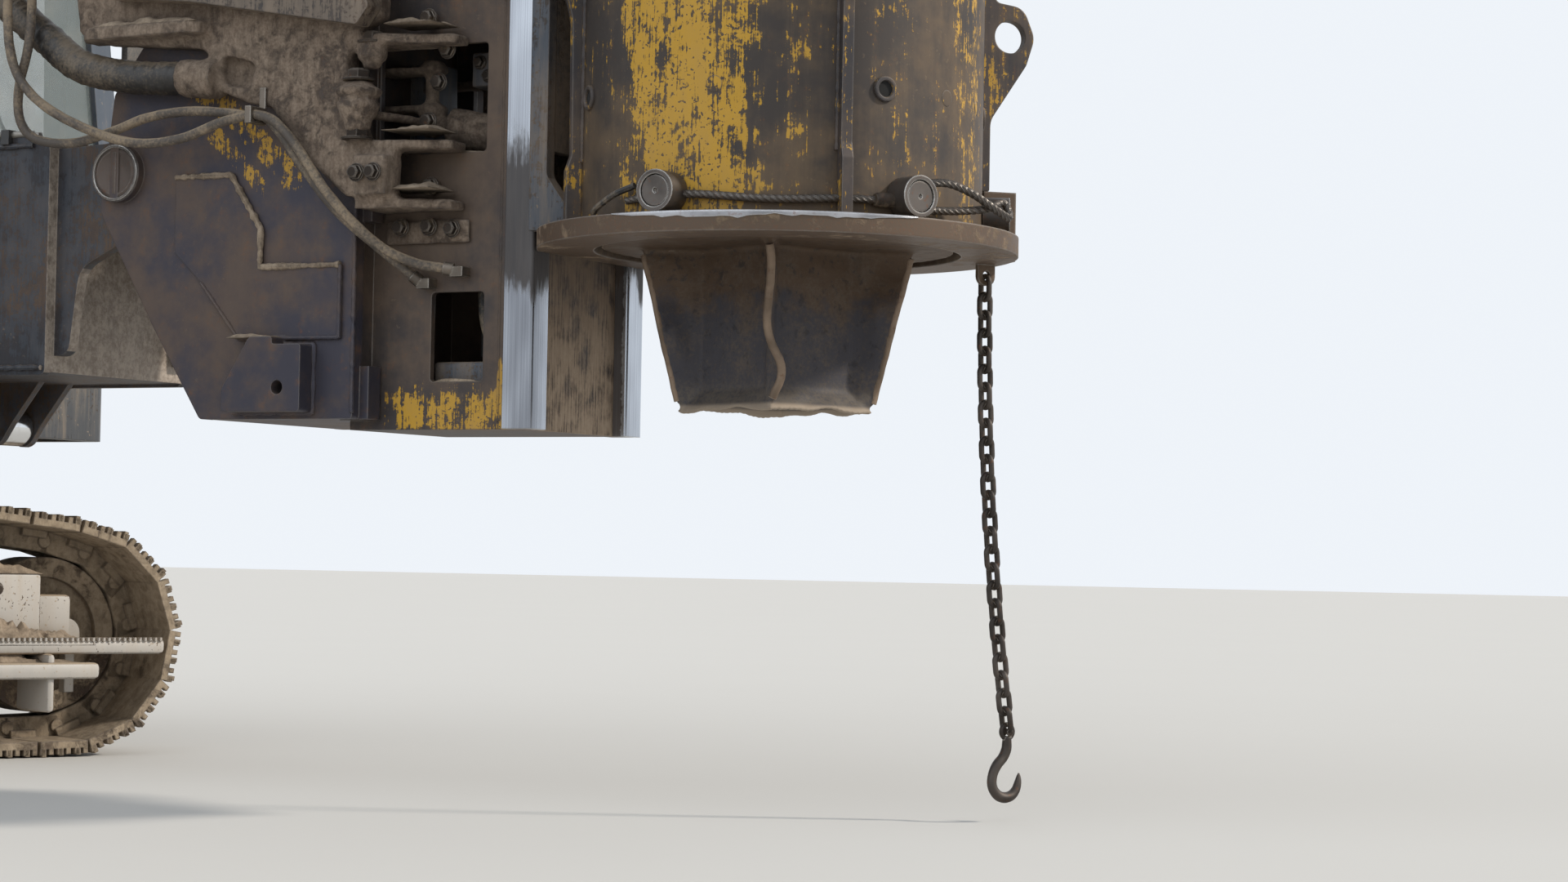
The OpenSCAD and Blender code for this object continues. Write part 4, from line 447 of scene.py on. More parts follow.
@dataclass(frozen=True)
class CakedMud:
    """Castings and track parts under dried mud, with steel at the rubbed edges and painted shade in their
    corners.

    Args:
        steel: The metal's colour.
        cover: Share of the surface that mud hides.
        depth: Height of the clods, in metres.
        rub: Share of bright metal on edges.
        soil: Colour of the damp mud.
        dry: Colour of the dry mud.
    """

    steel: Colour = BROWN_STEEL
    cover: float = 0.7
    depth: float = 0.006
    rub: float = 0.3
    soil: Colour = MUD
    dry: Colour = DRY_MUD

    def material(self, name: str) -> bpy.types.Material:
        """Returns the finish as a material."""
        s = Shader(name)
        edge = s.edges(0.008)
        hollow = s.hollows(0.15)
        clods = s.noise(22.0, 8.0, 0.7, bend=0.4)
        broad = s.noise(3.0, 5.0, 0.6)
        grit = s.noise(130.0, 4.0, 0.7)
        mask = (broad * 0.5 + clods * 0.5 + hollow * 0.25 + s.facing_up() * 0.16 - edge * 0.2)
        mask = mask.step(0.62 - self.cover * 0.32, 0.70 - self.cover * 0.26)
        metal_tone = s.mix((edge * (clods + 0.3)).step(0.4, 0.8) * self.rub, self.steel, (0.36, 0.33, 0.3))
        metal_tone = s.mix(grit.step(0.5, 0.7) * 0.4, metal_tone, RUST)
        fibre = s.noise(1.0, 6.0, 0.7, s.stretched((70.0, 70.0, 16.0)))
        mud = s.mix((grit * 0.4 + broad * 0.3 + fibre * 0.5).step(0.42, 0.76), self.soil, self.dry)
        mud = s.mix(clods.step(0.62, 0.34) * 0.6, mud, tinted(self.soil, 0.42))
        # Painted shade: the mud is darkened in corners and recesses by the occlusion mask.
        mud = s.mix(hollow * 0.5, mud, tinted(self.soil, 0.35))
        height = mask * (clods + 0.2) + grit * 0.14 + fibre * 0.2
        return s.finish(s.mix(mask, metal_tone, mud), mask * 0.4 + 0.52 + grit * 0.05, (1.0 - mask) * 0.4,
                        height, self.depth, 0.8)


@dataclass(frozen=True)
class SlideFace:
    """A guide rail polished by its shoes, with upright oil streaks and dark film."""

    def material(self, name: str) -> bpy.types.Material:
        """Returns the finish as a material."""
        s = Shader(name)
        s.edges(0.003)
        x, y, z = s.xyz()
        line = s.noise(1.0, 6.0, 0.7, s.stretched((230.0, 230.0, 1.1)))
        film = s.noise(1.0, 7.0, 0.62, s.stretched((7.0, 9.0, 1.9)), 0.35)
        fine = s.noise(1.0, 6.0, 0.72, s.stretched((60.0, 60.0, 5.0)))
        ragged = (film - 0.5) * 0.9 + (fine - 0.5) * 0.35
        parked = (z + ragged * 0.5).step(1.47, 1.53) * (z + ragged).step(1.99, 1.84)
        dark = ((film + fine * 0.14).step(0.64, 0.68) * z.step(2.3, 2.7)).top(parked)
        shade = (s.noise(1.0, 3.0, 0.5, s.stretched((3.0, 3.0, 1.1))) + (line - 0.5) * 0.3).step(0.3, 0.7)
        grime = s.noise(34.0, 7.0, 0.72)
        flank = x.step(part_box("guide_rails")[1].x - 0.004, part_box("guide_rails")[1].x - 0.03)
        flank = flank * abs(y).step(0.300, 0.285)
        tone = s.mix(shade, (0.2, 0.21, 0.235), (0.62, 0.66, 0.72))
        tone = s.mix(dark * 0.92, tone, s.mix(fine, (0.03, 0.028, 0.03), (0.085, 0.072, 0.065)))
        tone = s.mix((grime + flank * 0.5).step(0.66, 0.8) * 0.8, tone, BROWN_STEEL)
        rough = 0.16 + line * 0.1 + dark * 0.3 + flank * 0.3 + grime * 0.06
        return s.finish(tone, rough, 1.0 - dark * 0.6 - flank * 0.4, line * 0.3 + grime * 0.2, 0.0003, 0.3)


@dataclass(frozen=True)
class DrivingSteel:
    """Thick steel of the driving helmet: earth above, burnt blue below, a rubbed, dusty lip and painted
    shade in its recesses.

    Args:
        earth: Tone near the flange.
        burnt: Tone of the faces below.
        lip: Tone of the flared mouth.
        worn: Tone of the beaten edges.
        turn_z: Height at which the tones change.
        lip_z: Height of the lip's top.
        mouth_z: Height of the mouth.
    """

    earth: Colour = (0.085, 0.052, 0.03)
    burnt: Colour = (0.05, 0.047, 0.055)
    lip: Colour = (0.115, 0.097, 0.08)
    worn: Colour = (0.36, 0.29, 0.22)
    turn_z: float = 1.43
    lip_z: float = 1.2
    mouth_z: float = 1.13

    def material(self, name: str) -> bpy.types.Material:
        """Returns the finish as a material."""
        s = Shader(name)
        edge = s.edges(0.009)
        z = s.xyz()[2]
        cloud = s.noise(7.0, 7.0, 0.66)
        grit = s.noise(95.0, 7.0, 0.72)
        pits = s.noise(30.0, 5.0, 0.7)
        above = (z + (cloud - 0.5) * 0.5).step(self.turn_z - 0.07, self.turn_z + 0.05)
        below = (z + (cloud - 0.5) * 0.12).step(self.lip_z + 0.02, self.lip_z - 0.03)
        tone = s.mix(above, self.burnt, self.earth)
        tone = s.mix((cloud * 0.5 + grit * 0.5).step(0.46, 0.62) * 0.7, tone, (0.115, 0.088, 0.066))
        tone = s.mix((pits + grit * 0.3).step(0.7, 0.82) * 0.6, tone, (0.02, 0.019, 0.022))
        tone = s.mix(below * (grit + cloud).step(0.75, 1.15), tone, self.lip)
        tone = s.mix((edge * (pits + 0.55)).step(0.32, 0.7) * 0.8, tone, self.worn)
        # Painted shade: corners and recesses are darkened to near black by the occlusion mask.
        tone = s.mix(s.hollows(0.08) * 0.45, tone, (0.03, 0.022, 0.016))
        tone = s.mix(z.step(self.mouth_z + 0.022, self.mouth_z + 0.01) * 0.75, tone, self.worn)
        height = grit * 0.45 + pits * 0.4 + cloud * 0.15
        return s.finish(tone, 0.52 + grit * 0.3 - edge * 0.08, 0.25, height, 0.0022, 0.7)


@dataclass(frozen=True)
class BareSteel:
    """Worked steel with a thin brown film and bright rubbed edges.

    Args:
        tone: Main colour.
        bright: Colour of the rubbed places.
        rub: How much is rubbed.
        rough: Roughness of the film.
        mud: Amount of mud.
    """

    tone: Colour = (0.09, 0.075, 0.065)
    bright: Colour = (0.5, 0.49, 0.47)
    rub: float = 0.5
    rough: float = 0.48
    mud: float = 0.2

    def material(self, name: str) -> bpy.types.Material:
        """Returns the finish as a material."""
        s = Shader(name)
        edge = s.edges(0.006)
        grain = s.noise(70.0, 8.0, 0.7)
        broad = s.noise(6.0, 4.0)
        rub = ((edge * 0.8 + grain * 0.3) * self.rub * 2.0).step(0.42, 0.8)
        film = s.mix(broad.step(0.4, 0.62), self.tone, tinted(self.tone, 0.55))
        film = s.mix(grain.step(0.55, 0.68) * 0.5, film, RUST)
        mud = (s.hollows(0.08) * (grain + 0.2)).step(0.5, 0.8) * self.mud
        tone = s.mix(mud, s.mix(rub, film, self.bright), MUD)
        return s.finish(tone, self.rough - rub * 0.22 + grain * 0.12 + mud * 0.3, 0.75 - mud * 0.6,
                        grain * 0.6 + broad * 0.2, 0.0008, 0.5)


@dataclass(frozen=True)
class PolishedRod:
    """Hard chrome on a cylinder's rod, with an oily band."""

    def material(self, name: str) -> bpy.types.Material:
        """Returns the finish as a material."""
        s = Shader(name)
        film = s.noise(18.0, 5.0, 0.6)
        tone = s.mix(film.step(0.5, 0.75) * 0.5, (0.78, 0.79, 0.8), (0.38, 0.33, 0.27))
        return s.finish(tone, film * 0.22 + 0.06, 1.0)


@dataclass(frozen=True)
class Moulded:
    """Rubber or plastic under dust.

    Args:
        tone: Its colour.
        rough: Its roughness.
        dust: Amount of dust.
    """

    tone: Colour = (0.02, 0.02, 0.021)
    rough: float = 0.55
    dust: float = 0.4

    def material(self, name: str) -> bpy.types.Material:
        """Returns the finish as a material."""
        s = Shader(name)
        s.edges(0.002)
        grain = s.noise(120.0, 5.0, 0.65)
        broad = s.noise(8.0, 5.0, 0.65)
        dust = (broad * 0.6 + grain * 0.4 + s.facing_up() * 0.12).step(0.42, 0.66) * self.dust
        return s.finish(s.mix(dust, self.tone, MUD), dust * 0.35 + self.rough, 0.0, grain * 0.5, 0.0005, 0.5)


@dataclass(frozen=True)
class Pane:
    """Window glass with dust in its corners."""

    def material(self, name: str) -> bpy.types.Material:
        """Returns the finish as a material."""
        s = Shader(name)
        dust = s.noise(7.0, 5.0, 0.6).step(0.4, 0.8) * 0.25 + s.hollows(0.1) * 0.25
        tint = s.mix(dust, (0.30, 0.36, 0.37), MUD)
        return s.finish(tint, dust * 0.5 + 0.04, 0.0, Alpha=dust * 0.6 + 0.3, Specular_IOR_Level=0.6)


@dataclass(frozen=True)
class Cloth:
    """Woven seat cover."""

    tone: Colour = (0.03, 0.032, 0.038)

    def material(self, name: str) -> bpy.types.Material:
        """Returns the finish as a material."""
        s = Shader(name)
        x, y, z = s.xyz()
        weave = ((x + z) * 900.0).maths("SINE") * (y * 900.0).maths("SINE")
        fade = s.noise(9.0, 4.0)
        tone = s.mix(fade, self.tone, tinted(self.tone, 2.2))
        return s.finish(tone, 0.9, 0.0, weave * 0.5 + 0.5, 0.0006, 0.6, Sheen_Weight=0.25)


@dataclass(frozen=True)
class PlainFloor:
    """Pale floor and backdrop."""

    tone: Colour = (0.60, 0.585, 0.56)

    def material(self, name: str) -> bpy.types.Material:
        """Returns the finish as a material."""
        s = Shader(name)
        return s.finish(s.mix(s.noise(0.6, 3.0) * 0.3, self.tone, tinted(self.tone, 0.93)), 0.9)


class PaintShop:
    """Makes each finish once and hands it out by name."""

    def __init__(self) -> None:
        """Lists the rig's finishes."""
        house = (0.075, 0.098, 0.135)
        self.finishes: dict[str, Any] = {
            "house": WornPaint(house, worn=0.12, mud=0.35, dust=0.3),
            "frame": WornPaint((0.07, 0.074, 0.082), worn=0.25, mud=0.9, dust=0.75),
            "weight": WornPaint((0.06, 0.078, 0.108), worn=0.16, mud=0.4, dust=0.35, depth=0.002),
            "arm": WornPaint((0.03, 0.036, 0.05), worn=0.46, bare=(0.03, 0.029, 0.034),
                             bare_other=(0.085, 0.055, 0.038), patch=Patch.ARM, dust=0.35,
                             soil=(0.17, 0.125, 0.09), run=0.5),
            "frame_mud": WornPaint((0.16, 0.125, 0.095), worn=0.4, bare=(0.055, 0.048, 0.045),
                                   bare_other=(0.1, 0.066, 0.045), mud=0.9, dust=0.8,
                                   soil=(0.28, 0.215, 0.16)),
            "carriage": WornPaint((0.055, 0.068, 0.09), worn=0.36, mud=0.95, dust=0.9,
                                  soil=(0.2, 0.155, 0.115)),
            "barrel": WornPaint((0.06, 0.062, 0.068), worn=0.22, mud=0.5, dust=0.4),
            "rail_yellow": WornPaint(YELLOW, worn=0.22, mud=0.2, dust=0.2, edge=0.003),
            "sheave": WornPaint(YELLOW, worn=0.4, mud=0.2, dust=0.35),
            "sleeve": WornPaint(YELLOW, worn=0.42, bare=(0.042, 0.034, 0.03), bare_other=(0.1, 0.068, 0.042),
                                mud=0.3, patch=Patch.SLEEVE, dust=0.4, gloss=0.4, soil=OCHRE, run=0.7),
            "rib": WornPaint(YELLOW, worn=0.66, bare=(0.04, 0.036, 0.038), bare_other=(0.08, 0.062, 0.055),
                             mud=0.3, dust=0.4, soil=OCHRE),
            "casing": WornPaint(YELLOW, worn=0.34, mud=0.3, dust=0.25, soil=OCHRE),
            "bracket": WornPaint(YELLOW, worn=0.5, bare=(0.042, 0.04, 0.056),
                                 bare_other=(0.082, 0.058, 0.05),
                                 mud=0.3, patch=Patch.BRACKET, dust=0.5, soil=(0.15, 0.112, 0.085), run=0.2),
            "leader": WornPaint(YELLOW, worn=0.47, bare=(0.045, 0.038, 0.038),
                                bare_other=(0.08, 0.056, 0.043),
                                mud=0.35, patch=Patch.LEADER, dust=0.5, soil=(0.19, 0.14, 0.1), run=0.35),
            "casting": CakedMud(steel=(0.06, 0.045, 0.036), cover=0.74, depth=0.005, rub=0.5,
                                soil=(0.125, 0.088, 0.064), dry=(0.29, 0.225, 0.17)),
            "track": CakedMud(cover=0.86, depth=0.008),
            "wheel": CakedMud(cover=0.6, rub=0.6),
            "helmet": DrivingSteel(),
            # Gusset ridges: pale worn steel, with the tone raised further as a painted sunlit highlight.
            "ridge": BareSteel((0.3, 0.225, 0.165), (0.5, 0.42, 0.34), 0.6, 0.62, 0.3),
            "pin_face": BareSteel((0.13, 0.105, 0.092), (0.34, 0.31, 0.28), 0.5, 0.6, 0.5),
            # Near black for the discs that stand in for the holes' shaded insides: painted shade.
            "hole": Moulded((0.006, 0.006, 0.006), 0.9, 0.0),
            "flange": CakedMud(steel=(0.1, 0.068, 0.046), cover=0.34, depth=0.002, rub=0.9,
                               soil=(0.15, 0.1, 0.06),
                               dry=(0.24, 0.175, 0.115)),
            "slide": SlideFace(),
            "chain": BareSteel((0.085, 0.072, 0.063), (0.42, 0.39, 0.36), 0.5, 0.46, 0.4),
            "rope": BareSteel((0.055, 0.046, 0.04), (0.26, 0.24, 0.22), 0.4, 0.5, 0.3),
            "pin": BareSteel((0.12, 0.105, 0.095), (0.62, 0.6, 0.57), 0.62, 0.4, 0.3),
            "bolt": BareSteel((0.07, 0.055, 0.045), (0.22, 0.195, 0.17), 0.4, 0.62, 0.7),
            "forging": BareSteel((0.2, 0.19, 0.18), (0.55, 0.54, 0.52), 0.5, 0.35, 0.1),
            "exhaust": BareSteel((0.16, 0.12, 0.095), (0.4, 0.36, 0.32), 0.3, 0.55, 0.2),
            "engine": WornPaint((0.03, 0.03, 0.032), worn=0.2, mud=0.2),
            "rod": PolishedRod(),
            "rubber": Moulded(dust=0.75),
            "hose": Moulded((0.075, 0.062, 0.052), 0.6, 0.9),
            "wrap": Moulded((0.02, 0.018, 0.017), 0.45, 0.45),
            "gland": BareSteel((0.2, 0.17, 0.14), (0.5, 0.47, 0.42), 0.5, 0.45, 0.7),
            "mud": CakedMud(cover=1.0, depth=0.004, soil=(0.24, 0.18, 0.125), dry=(0.42, 0.335, 0.25)),
            "pale": WornPaint((0.6, 0.565, 0.52), worn=0.22, bare=BROWN_STEEL, mud=0.9, dust=0.45),
            "pipe": BareSteel((0.32, 0.3, 0.27), (0.6, 0.58, 0.55), 0.5, 0.35, 0.5),
            "screen": Moulded((0.012, 0.014, 0.018), 0.12, 0.1),
            "rim": BareSteel((0.4, 0.4, 0.42), (0.7, 0.71, 0.74), 0.85, 0.33, 0.35),
            "plastic": Moulded((0.03, 0.031, 0.033), 0.42, 0.3),
            "glass": Pane(),
            "lens": BareSteel((0.75, 0.75, 0.75), (0.9, 0.9, 0.9), 0.6, 0.12, 0.05),
            "seat": Cloth(),
            "floor": PlainFloor(),
        }
        self.made: dict[str, bpy.types.Material] = {}

    def get(self, name: str) -> bpy.types.Material:
        """Returns a finish's material, made at its first use."""
        if name not in self.made:
            self.made[name] = self.finishes[name].material(name)
        return self.made[name]


SHOP = PaintShop()


# Mesh helpers
class Skin(NamedTuple):
    """The body that a piece rides on, its material slot in the record and its finish."""

    body: str
    slot: str
    finish: str


def linked(name: str, data: bpy.types.ID) -> bpy.types.Object:
    """Returns a new object that stands in the scene."""
    obj = bpy.data.objects.new(name, data)
    bpy.context.scene.collection.objects.link(obj)
    return obj


def baked(obj: bpy.types.Object) -> bpy.types.Mesh:
    """Returns an object's shape after its modifiers as a plain mesh, and removes the object."""
    mesh = bpy.data.meshes.new_from_object(obj.evaluated_get(bpy.context.evaluated_depsgraph_get()))
    bpy.data.objects.remove(obj)
    return mesh


def remeshed(name: str, mesh: bpy.types.Mesh, voxel: float) -> bpy.types.Object:
    """Returns an object whose faces are made even, of a size in metres."""
    obj = linked(name, mesh)
    remesh = obj.modifiers.new("remesh", "REMESH")
    remesh.mode = "VOXEL"
    remesh.voxel_size = voxel
    return obj


def settle(name: str, mesh: bpy.types.Mesh, skin: Skin, smooth: bool = True) -> bpy.types.Object:
    """Makes a finished piece of a mesh, with its normals outward.

    Args:
        name: The piece's name.
        mesh: Its shape in the rig's frame.
        skin: Its body, slot and finish.
        smooth: Whether its faces are shaded smooth.

    Returns:
        The object.
    """
    shape = bmesh.new()
    shape.from_mesh(mesh)
    bmesh.ops.recalc_face_normals(shape, faces=shape.faces)
    shape.to_mesh(mesh)
    shape.free()
    mesh.name = name
    obj = linked(name, mesh)
    mesh.materials.clear()
    mesh.materials.append(SHOP.get(skin.finish))
    for polygon in mesh.polygons:
        polygon.use_smooth = smooth
        polygon.material_index = 0
    if smooth:
        mesh.set_sharp_from_angle(angle=math.radians(38))
    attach(obj, skin.body)
    log.info("%s: %d faces on %s", name, len(mesh.polygons), skin.body)
    return obj


def piece(name: str, points: Iterable[Sequence[float]], faces: Iterable[Sequence[int]],
          skin: Skin) -> bpy.types.Object:
    """Makes a finished piece from its corners and the corner numbers of its faces."""
    mesh = bpy.data.meshes.new(name)
    mesh.from_pydata([tuple(p) for p in points], [], [tuple(f) for f in faces])
    mesh.update()
    return settle(name, mesh, skin)


def sweep(path: Sequence[Vector], radii: Sequence[float] | float | Callable[[int, int], float],
          sides: int = 10,
          closed: bool = False) -> tuple[list[Vector], list[list[int]]]:
    """Returns a round tube along a path.

    Args:
        path: The points it follows.
        radii: Its radius: one for all, one a point, or a function of the point's and the side's number.
        sides: Its number of sides.
        closed: Whether the path is a loop.

    Returns:
        Its points and faces.
    """
    count = len(path)
    points: list[Vector] = []
    normal: Vector | None = None
    for i, here in enumerate(path):
        after = path[(i + 1) % count] if closed or i < count - 1 else here
        before = path[i - 1] if closed or i > 0 else here
        along = (after - before).normalized()
        if normal is None:
            normal = along.orthogonal().normalized()
        normal = (normal - along * normal.dot(along)).normalized()
        across = along.cross(normal)
        for k in range(sides):
            r = radii(i, k) if callable(radii) else radii if isinstance(radii, (int, float)) else radii[i]
            a = math.tau * k / sides
            points.append(here + (normal * math.cos(a) + across * math.sin(a)) * r)
    faces = []
    for i in range(count if closed else count - 1):
        a, b = i * sides, ((i + 1) % count) * sides
        faces += [[a + k, a + (k + 1) % sides, b + (k + 1) % sides, b + k] for k in range(sides)]
    if not closed:
        faces += [list(range(sides))[::-1], [(count - 1) * sides + k for k in range(sides)]]
    return points, faces


def joined(parts: Iterable[tuple[list[Vector], list[list[int]]]]) -> tuple[list[Vector], list[list[int]]]:
    """Returns the points and faces of several shapes as those of one."""
    points: list[Vector] = []
    faces: list[list[int]] = []
    for more, shell in parts:
        faces += [[i + len(points) for i in face] for face in shell]
        points += more
    return points, faces


def smooth_path(points: Iterable[Sequence[float]], per: int = 8) -> list[Vector]:
    """Returns a smooth curve through points.

    Args:
        points: The points.
        per: Steps for each stretch between two of them.

    Returns:
        The curve's points.
    """
    knots = [Vector(p) for p in points]
    knots = [knots[0] * 2 - knots[1], *knots, knots[-1] * 2 - knots[-2]]
    path = []
    for i in range(1, len(knots) - 2):
        p0, p1, p2, p3 = knots[i - 1:i + 3]
        for k in range(per):
            t = k / per
            path.append(0.5 * ((2 * p1) + (p2 - p0) * t + (2 * p0 - 5 * p1 + 4 * p2 - p3) * t * t
                               + (3 * p1 - p0 - 3 * p2 + p3) * t ** 3))
    return [*path, knots[-2]]


def box_at(low: Sequence[float], high: Sequence[float], soften: float) -> bmesh.types.BMesh:
    """Returns a box between two corners, with its edges rounded by a width."""
    shape = bmesh.new()
    low_v, high_v = Vector(low), Vector(high)
    size = high_v - low_v
    place = Matrix.Translation((low_v + high_v) / 2)
    bmesh.ops.create_cube(shape, size=1.0, matrix=place @ Matrix.Diagonal((*size, 1.0)))
    bmesh.ops.bevel(shape, geom=shape.edges[:], offset=soften, segments=2, affect="EDGES", profile=0.5)
    return shape


def merged(shapes: Iterable[bmesh.types.BMesh]) -> bpy.types.Mesh:
    """Returns one mesh that holds all the shapes."""
    whole = bmesh.new()
    for shape in shapes:
        mesh = bpy.data.meshes.new("part")
        shape.to_mesh(mesh)
        shape.free()
        whole.from_mesh(mesh)
        bpy.data.meshes.remove(mesh)
    mesh = bpy.data.meshes.new("whole")
    whole.to_mesh(mesh)
    whole.free()
    return mesh


def turned(profile: Sequence[tuple[float, float]], place: Sequence[float], axis: Sequence[float],
           steps: int = 32) -> bmesh.types.BMesh:
    """Returns a turned shape.

    Args:
        profile: Its (radius, height) points from one end on the axis to the other.
        place: Where its foot stands.
        axis: The way it points.
        steps: Its number of sides.

    Returns:
        The shape.
    """
    shape = bmesh.new()
    rings = []
    for r, h in profile:
        if r < 1e-6:
            rings.append([shape.verts.new((0, 0, h))])
        else:
            rings.append([shape.verts.new((r * math.cos(math.tau * k / steps),
                                           r * math.sin(math.tau * k / steps), h))
                          for k in range(steps)])
    for low, high in zip(rings, rings[1:]):
        for k in range(steps):
            n = (k + 1) % steps
            corners = [low[k % len(low)], low[n % len(low)], high[n % len(high)], high[k % len(high)]]
            corners = list(dict.fromkeys(corners))
            if len(corners) > 2:
                shape.faces.new(corners)
    turn = Vector((0, 0, 1)).rotation_difference(Vector(axis)).to_matrix().to_4x4()
    shape.transform(Matrix.Translation(Vector(place)) @ turn)
    bmesh.ops.recalc_face_normals(shape, faces=shape.faces)
    return shape


def recast(node: str, name: str, skin: Skin, voxel: float, shift: Callable[[Vector], Vector]) -> None:
    """Replaces a node by a remeshed copy whose surface is moved as a worn casting's is.

    Args:
        node: The CAD node.
        name: The piece's name.
        skin: Its body, slot and finish.
        voxel: Size of the mesh's faces, in metres.
        shift: Gives each point's move.
    """
    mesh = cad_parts[node].data.copy()
    shape = bmesh.new()
    shape.from_mesh(mesh)
    bmesh.ops.remove_doubles(shape, verts=shape.verts, dist=2e-5)
    bmesh.ops.recalc_face_normals(shape, faces=shape.faces)
    shape.to_mesh(mesh)
    shape.free()
    obj = remeshed(name, mesh, voxel)
    even = obj.modifiers.new("even", "SMOOTH")
    even.factor = 0.5
    even.iterations = 2
    result = baked(obj)
    for vertex in result.vertices:
        vertex.co += shift(vertex.co)
    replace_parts(settle(name, result, skin), node)


# Geometry Nodes
class Shaper(Tree):
    """One Geometry Nodes tree with named inputs."""

    def __init__(self, name: str) -> None:
        """Starts a tree that takes one geometry and a material."""
        group = bpy.data.node_groups.new(name, "GeometryNodeTree")
        super().__init__(group)
        group.interface.new_socket("Geometry", in_out="INPUT", socket_type="NodeSocketGeometry")
        group.interface.new_socket("Finish", in_out="INPUT", socket_type="NodeSocketMaterial")
        group.interface.new_socket("Geometry", in_out="OUTPUT", socket_type="NodeSocketGeometry")
        self.entry = self.add("NodeGroupInput")
        self.source = Value(self, self.entry.outputs["Geometry"])

    def size(self, name: str, default: float) -> Value:
        """Returns a new named input for a size."""
        self.tree.interface.new_socket(name, in_out="INPUT",
                                       socket_type="NodeSocketFloat").default_value = default
        return Value(self, self.entry.outputs[name])

    def vector(self, x: Any = 0.0, y: Any = 0.0, z: Any = 0.0) -> Value:
        """Returns a vector of three numbers or sockets."""
        return self.value("ShaderNodeCombineXYZ", sockets={0: x, 1: y, 2: z})

    def block(self, size: Value, place: Value) -> Value:
        """Returns a box of a size, moved to a place."""
        return self.moved(self.value("GeometryNodeMeshCube", sockets={"Size": size}, out="Mesh"), place)

    def rod(self, sides: int, radius: Value, depth: Any) -> Value:
        """Returns an upright rod."""
        return self.value("GeometryNodeMeshCylinder",
                          sockets={"Vertices": sides, "Radius": radius, "Depth": depth},
                          out="Mesh")

    def circle(self, sides: int, radius: Any) -> Value:
        """Returns a round line."""
        return self.value("GeometryNodeCurvePrimitiveCircle", {"mode": "RADIUS"},
                          {"Resolution": sides, "Radius": radius})

    def even(self, step: Any) -> Value:
        """Returns the source's edges as curves with a point at every step."""
        line = self.value("GeometryNodeMeshToCurve", sockets={"Mesh": self.source})
        return self.value("GeometryNodeResampleCurve", {"mode": "LENGTH"}, {"Curve": line, "Length": step})

    def moved(self, shape: Value, place: Value, turn: Any = (0.0, 0.0, 0.0)) -> Value:
        """Returns a shape moved and turned."""
        return self.value("GeometryNodeTransform", sockets={"Geometry": shape, "Translation": place,
                                                            "Rotation": turn})

    def joined(self, *shapes: Value) -> Value:
        """Returns several shapes as one."""
        node = self.add("GeometryNodeJoinGeometry")
        for shape in shapes:
            self.tree.links.new(shape.socket, node.inputs[0])
        return Value(self, node.outputs[0])

    def at_points(self, shape: Value) -> "Shaper":
        """Ends the tree with the shape at every point of the source, turned by the point's own turn."""
        turn = self.value("GeometryNodeInputNamedAttribute", {"data_type": "FLOAT_VECTOR"}, {"Name": "turn"})
        angle = self.value("FunctionNodeEulerToRotation", sockets={0: turn})
        return self.close(self.value("GeometryNodeInstanceOnPoints", sockets={
            "Points": self.source, "Instance": shape, "Rotation": angle}))

    def close(self, geometry: Value) -> "Shaper":
        """Ends the tree with real, dressed faces."""
        real = self.value("GeometryNodeRealizeInstances", sockets={0: geometry})
        finish = Value(self, self.entry.outputs["Finish"])
        dressed = self.value("GeometryNodeSetMaterial", sockets={"Geometry": real, "Material": finish})
        self.add("NodeGroupOutput", sockets={0: dressed})
        return self


def bolt_shaper() -> Shaper:
    """Returns a tree that puts a hexagon bolt with its washer at each point."""
    s = Shaper("bolts")
    across, height = s.size("Across", 0.03), s.size("Height", 0.018)
    washer = s.rod(16, across * 0.78, height * 0.24)
    head = s.rod(6, across * 0.577, height)
    crown = s.rod(12, across * 0.44, height * 0.2)
    return s.at_points(s.joined(s.moved(washer, s.vector(z=height * 0.12)),
                                s.moved(head, s.vector(z=height * 0.6)),
                                s.moved(crown, s.vector(z=height * 1.18))))


def block_shaper() -> Shaper:
    """Returns a tree that puts a small block at each point."""
    s = Shaper("blocks")
    size = s.vector(s.size("Length", 0.02), s.size("Width", 0.02), s.size("Thickness", 0.02))
    return s.at_points(s.value("GeometryNodeMeshCube", sockets={"Size": size}, out="Mesh"))


def shoe_shaper() -> Shaper:
    """Returns a tree that puts a track shoe with its links at each point of the loop."""
    s = Shaper("shoes")
    pitch, width = s.size("Pitch", 0.19), s.size("Width", 0.7)
    plate, bar = s.size("Plate", 0.026), s.size("Bar", 0.026)
    link = s.size("Link", 0.105)
    parts = [s.block(s.vector(pitch * 0.93, width, plate), s.vector(z=plate * -0.5))]
    for place, tall in ((-0.4, 1.0), (-0.06, 0.86), (0.28, 0.86)):
        parts.append(s.block(s.vector(pitch * 0.085, width, bar * tall),
                             s.vector(pitch * place, 0.0, bar * tall * 0.5)))
    for side in (-0.5, 0.5):
        for place in (-0.43, -0.26, -0.09, 0.08, 0.25, 0.42):
            parts.append(s.block(s.vector(pitch * 0.09, width * 0.035, bar * 0.72),
                                 s.vector(pitch * place, width * side * 0.965, bar * 0.36)))
        parts.append(s.block(s.vector(pitch * 1.02, 0.034, link * 0.74),
                             s.vector(0.0, side * 0.15, link * -0.62)))
        parts.append(s.block(s.vector(pitch * 0.5, 0.05, link * 0.3),
                             s.vector(pitch * -0.2, side * 0.17, link * -0.36)))
    pin = s.rod(12, link * 0.24, 0.2)
    parts.append(s.moved(pin, s.vector(pitch * 0.5, 0.0, link * -0.62), (math.pi / 2, 0.0, 0.0)))
    return s.at_points(s.joined(*parts))


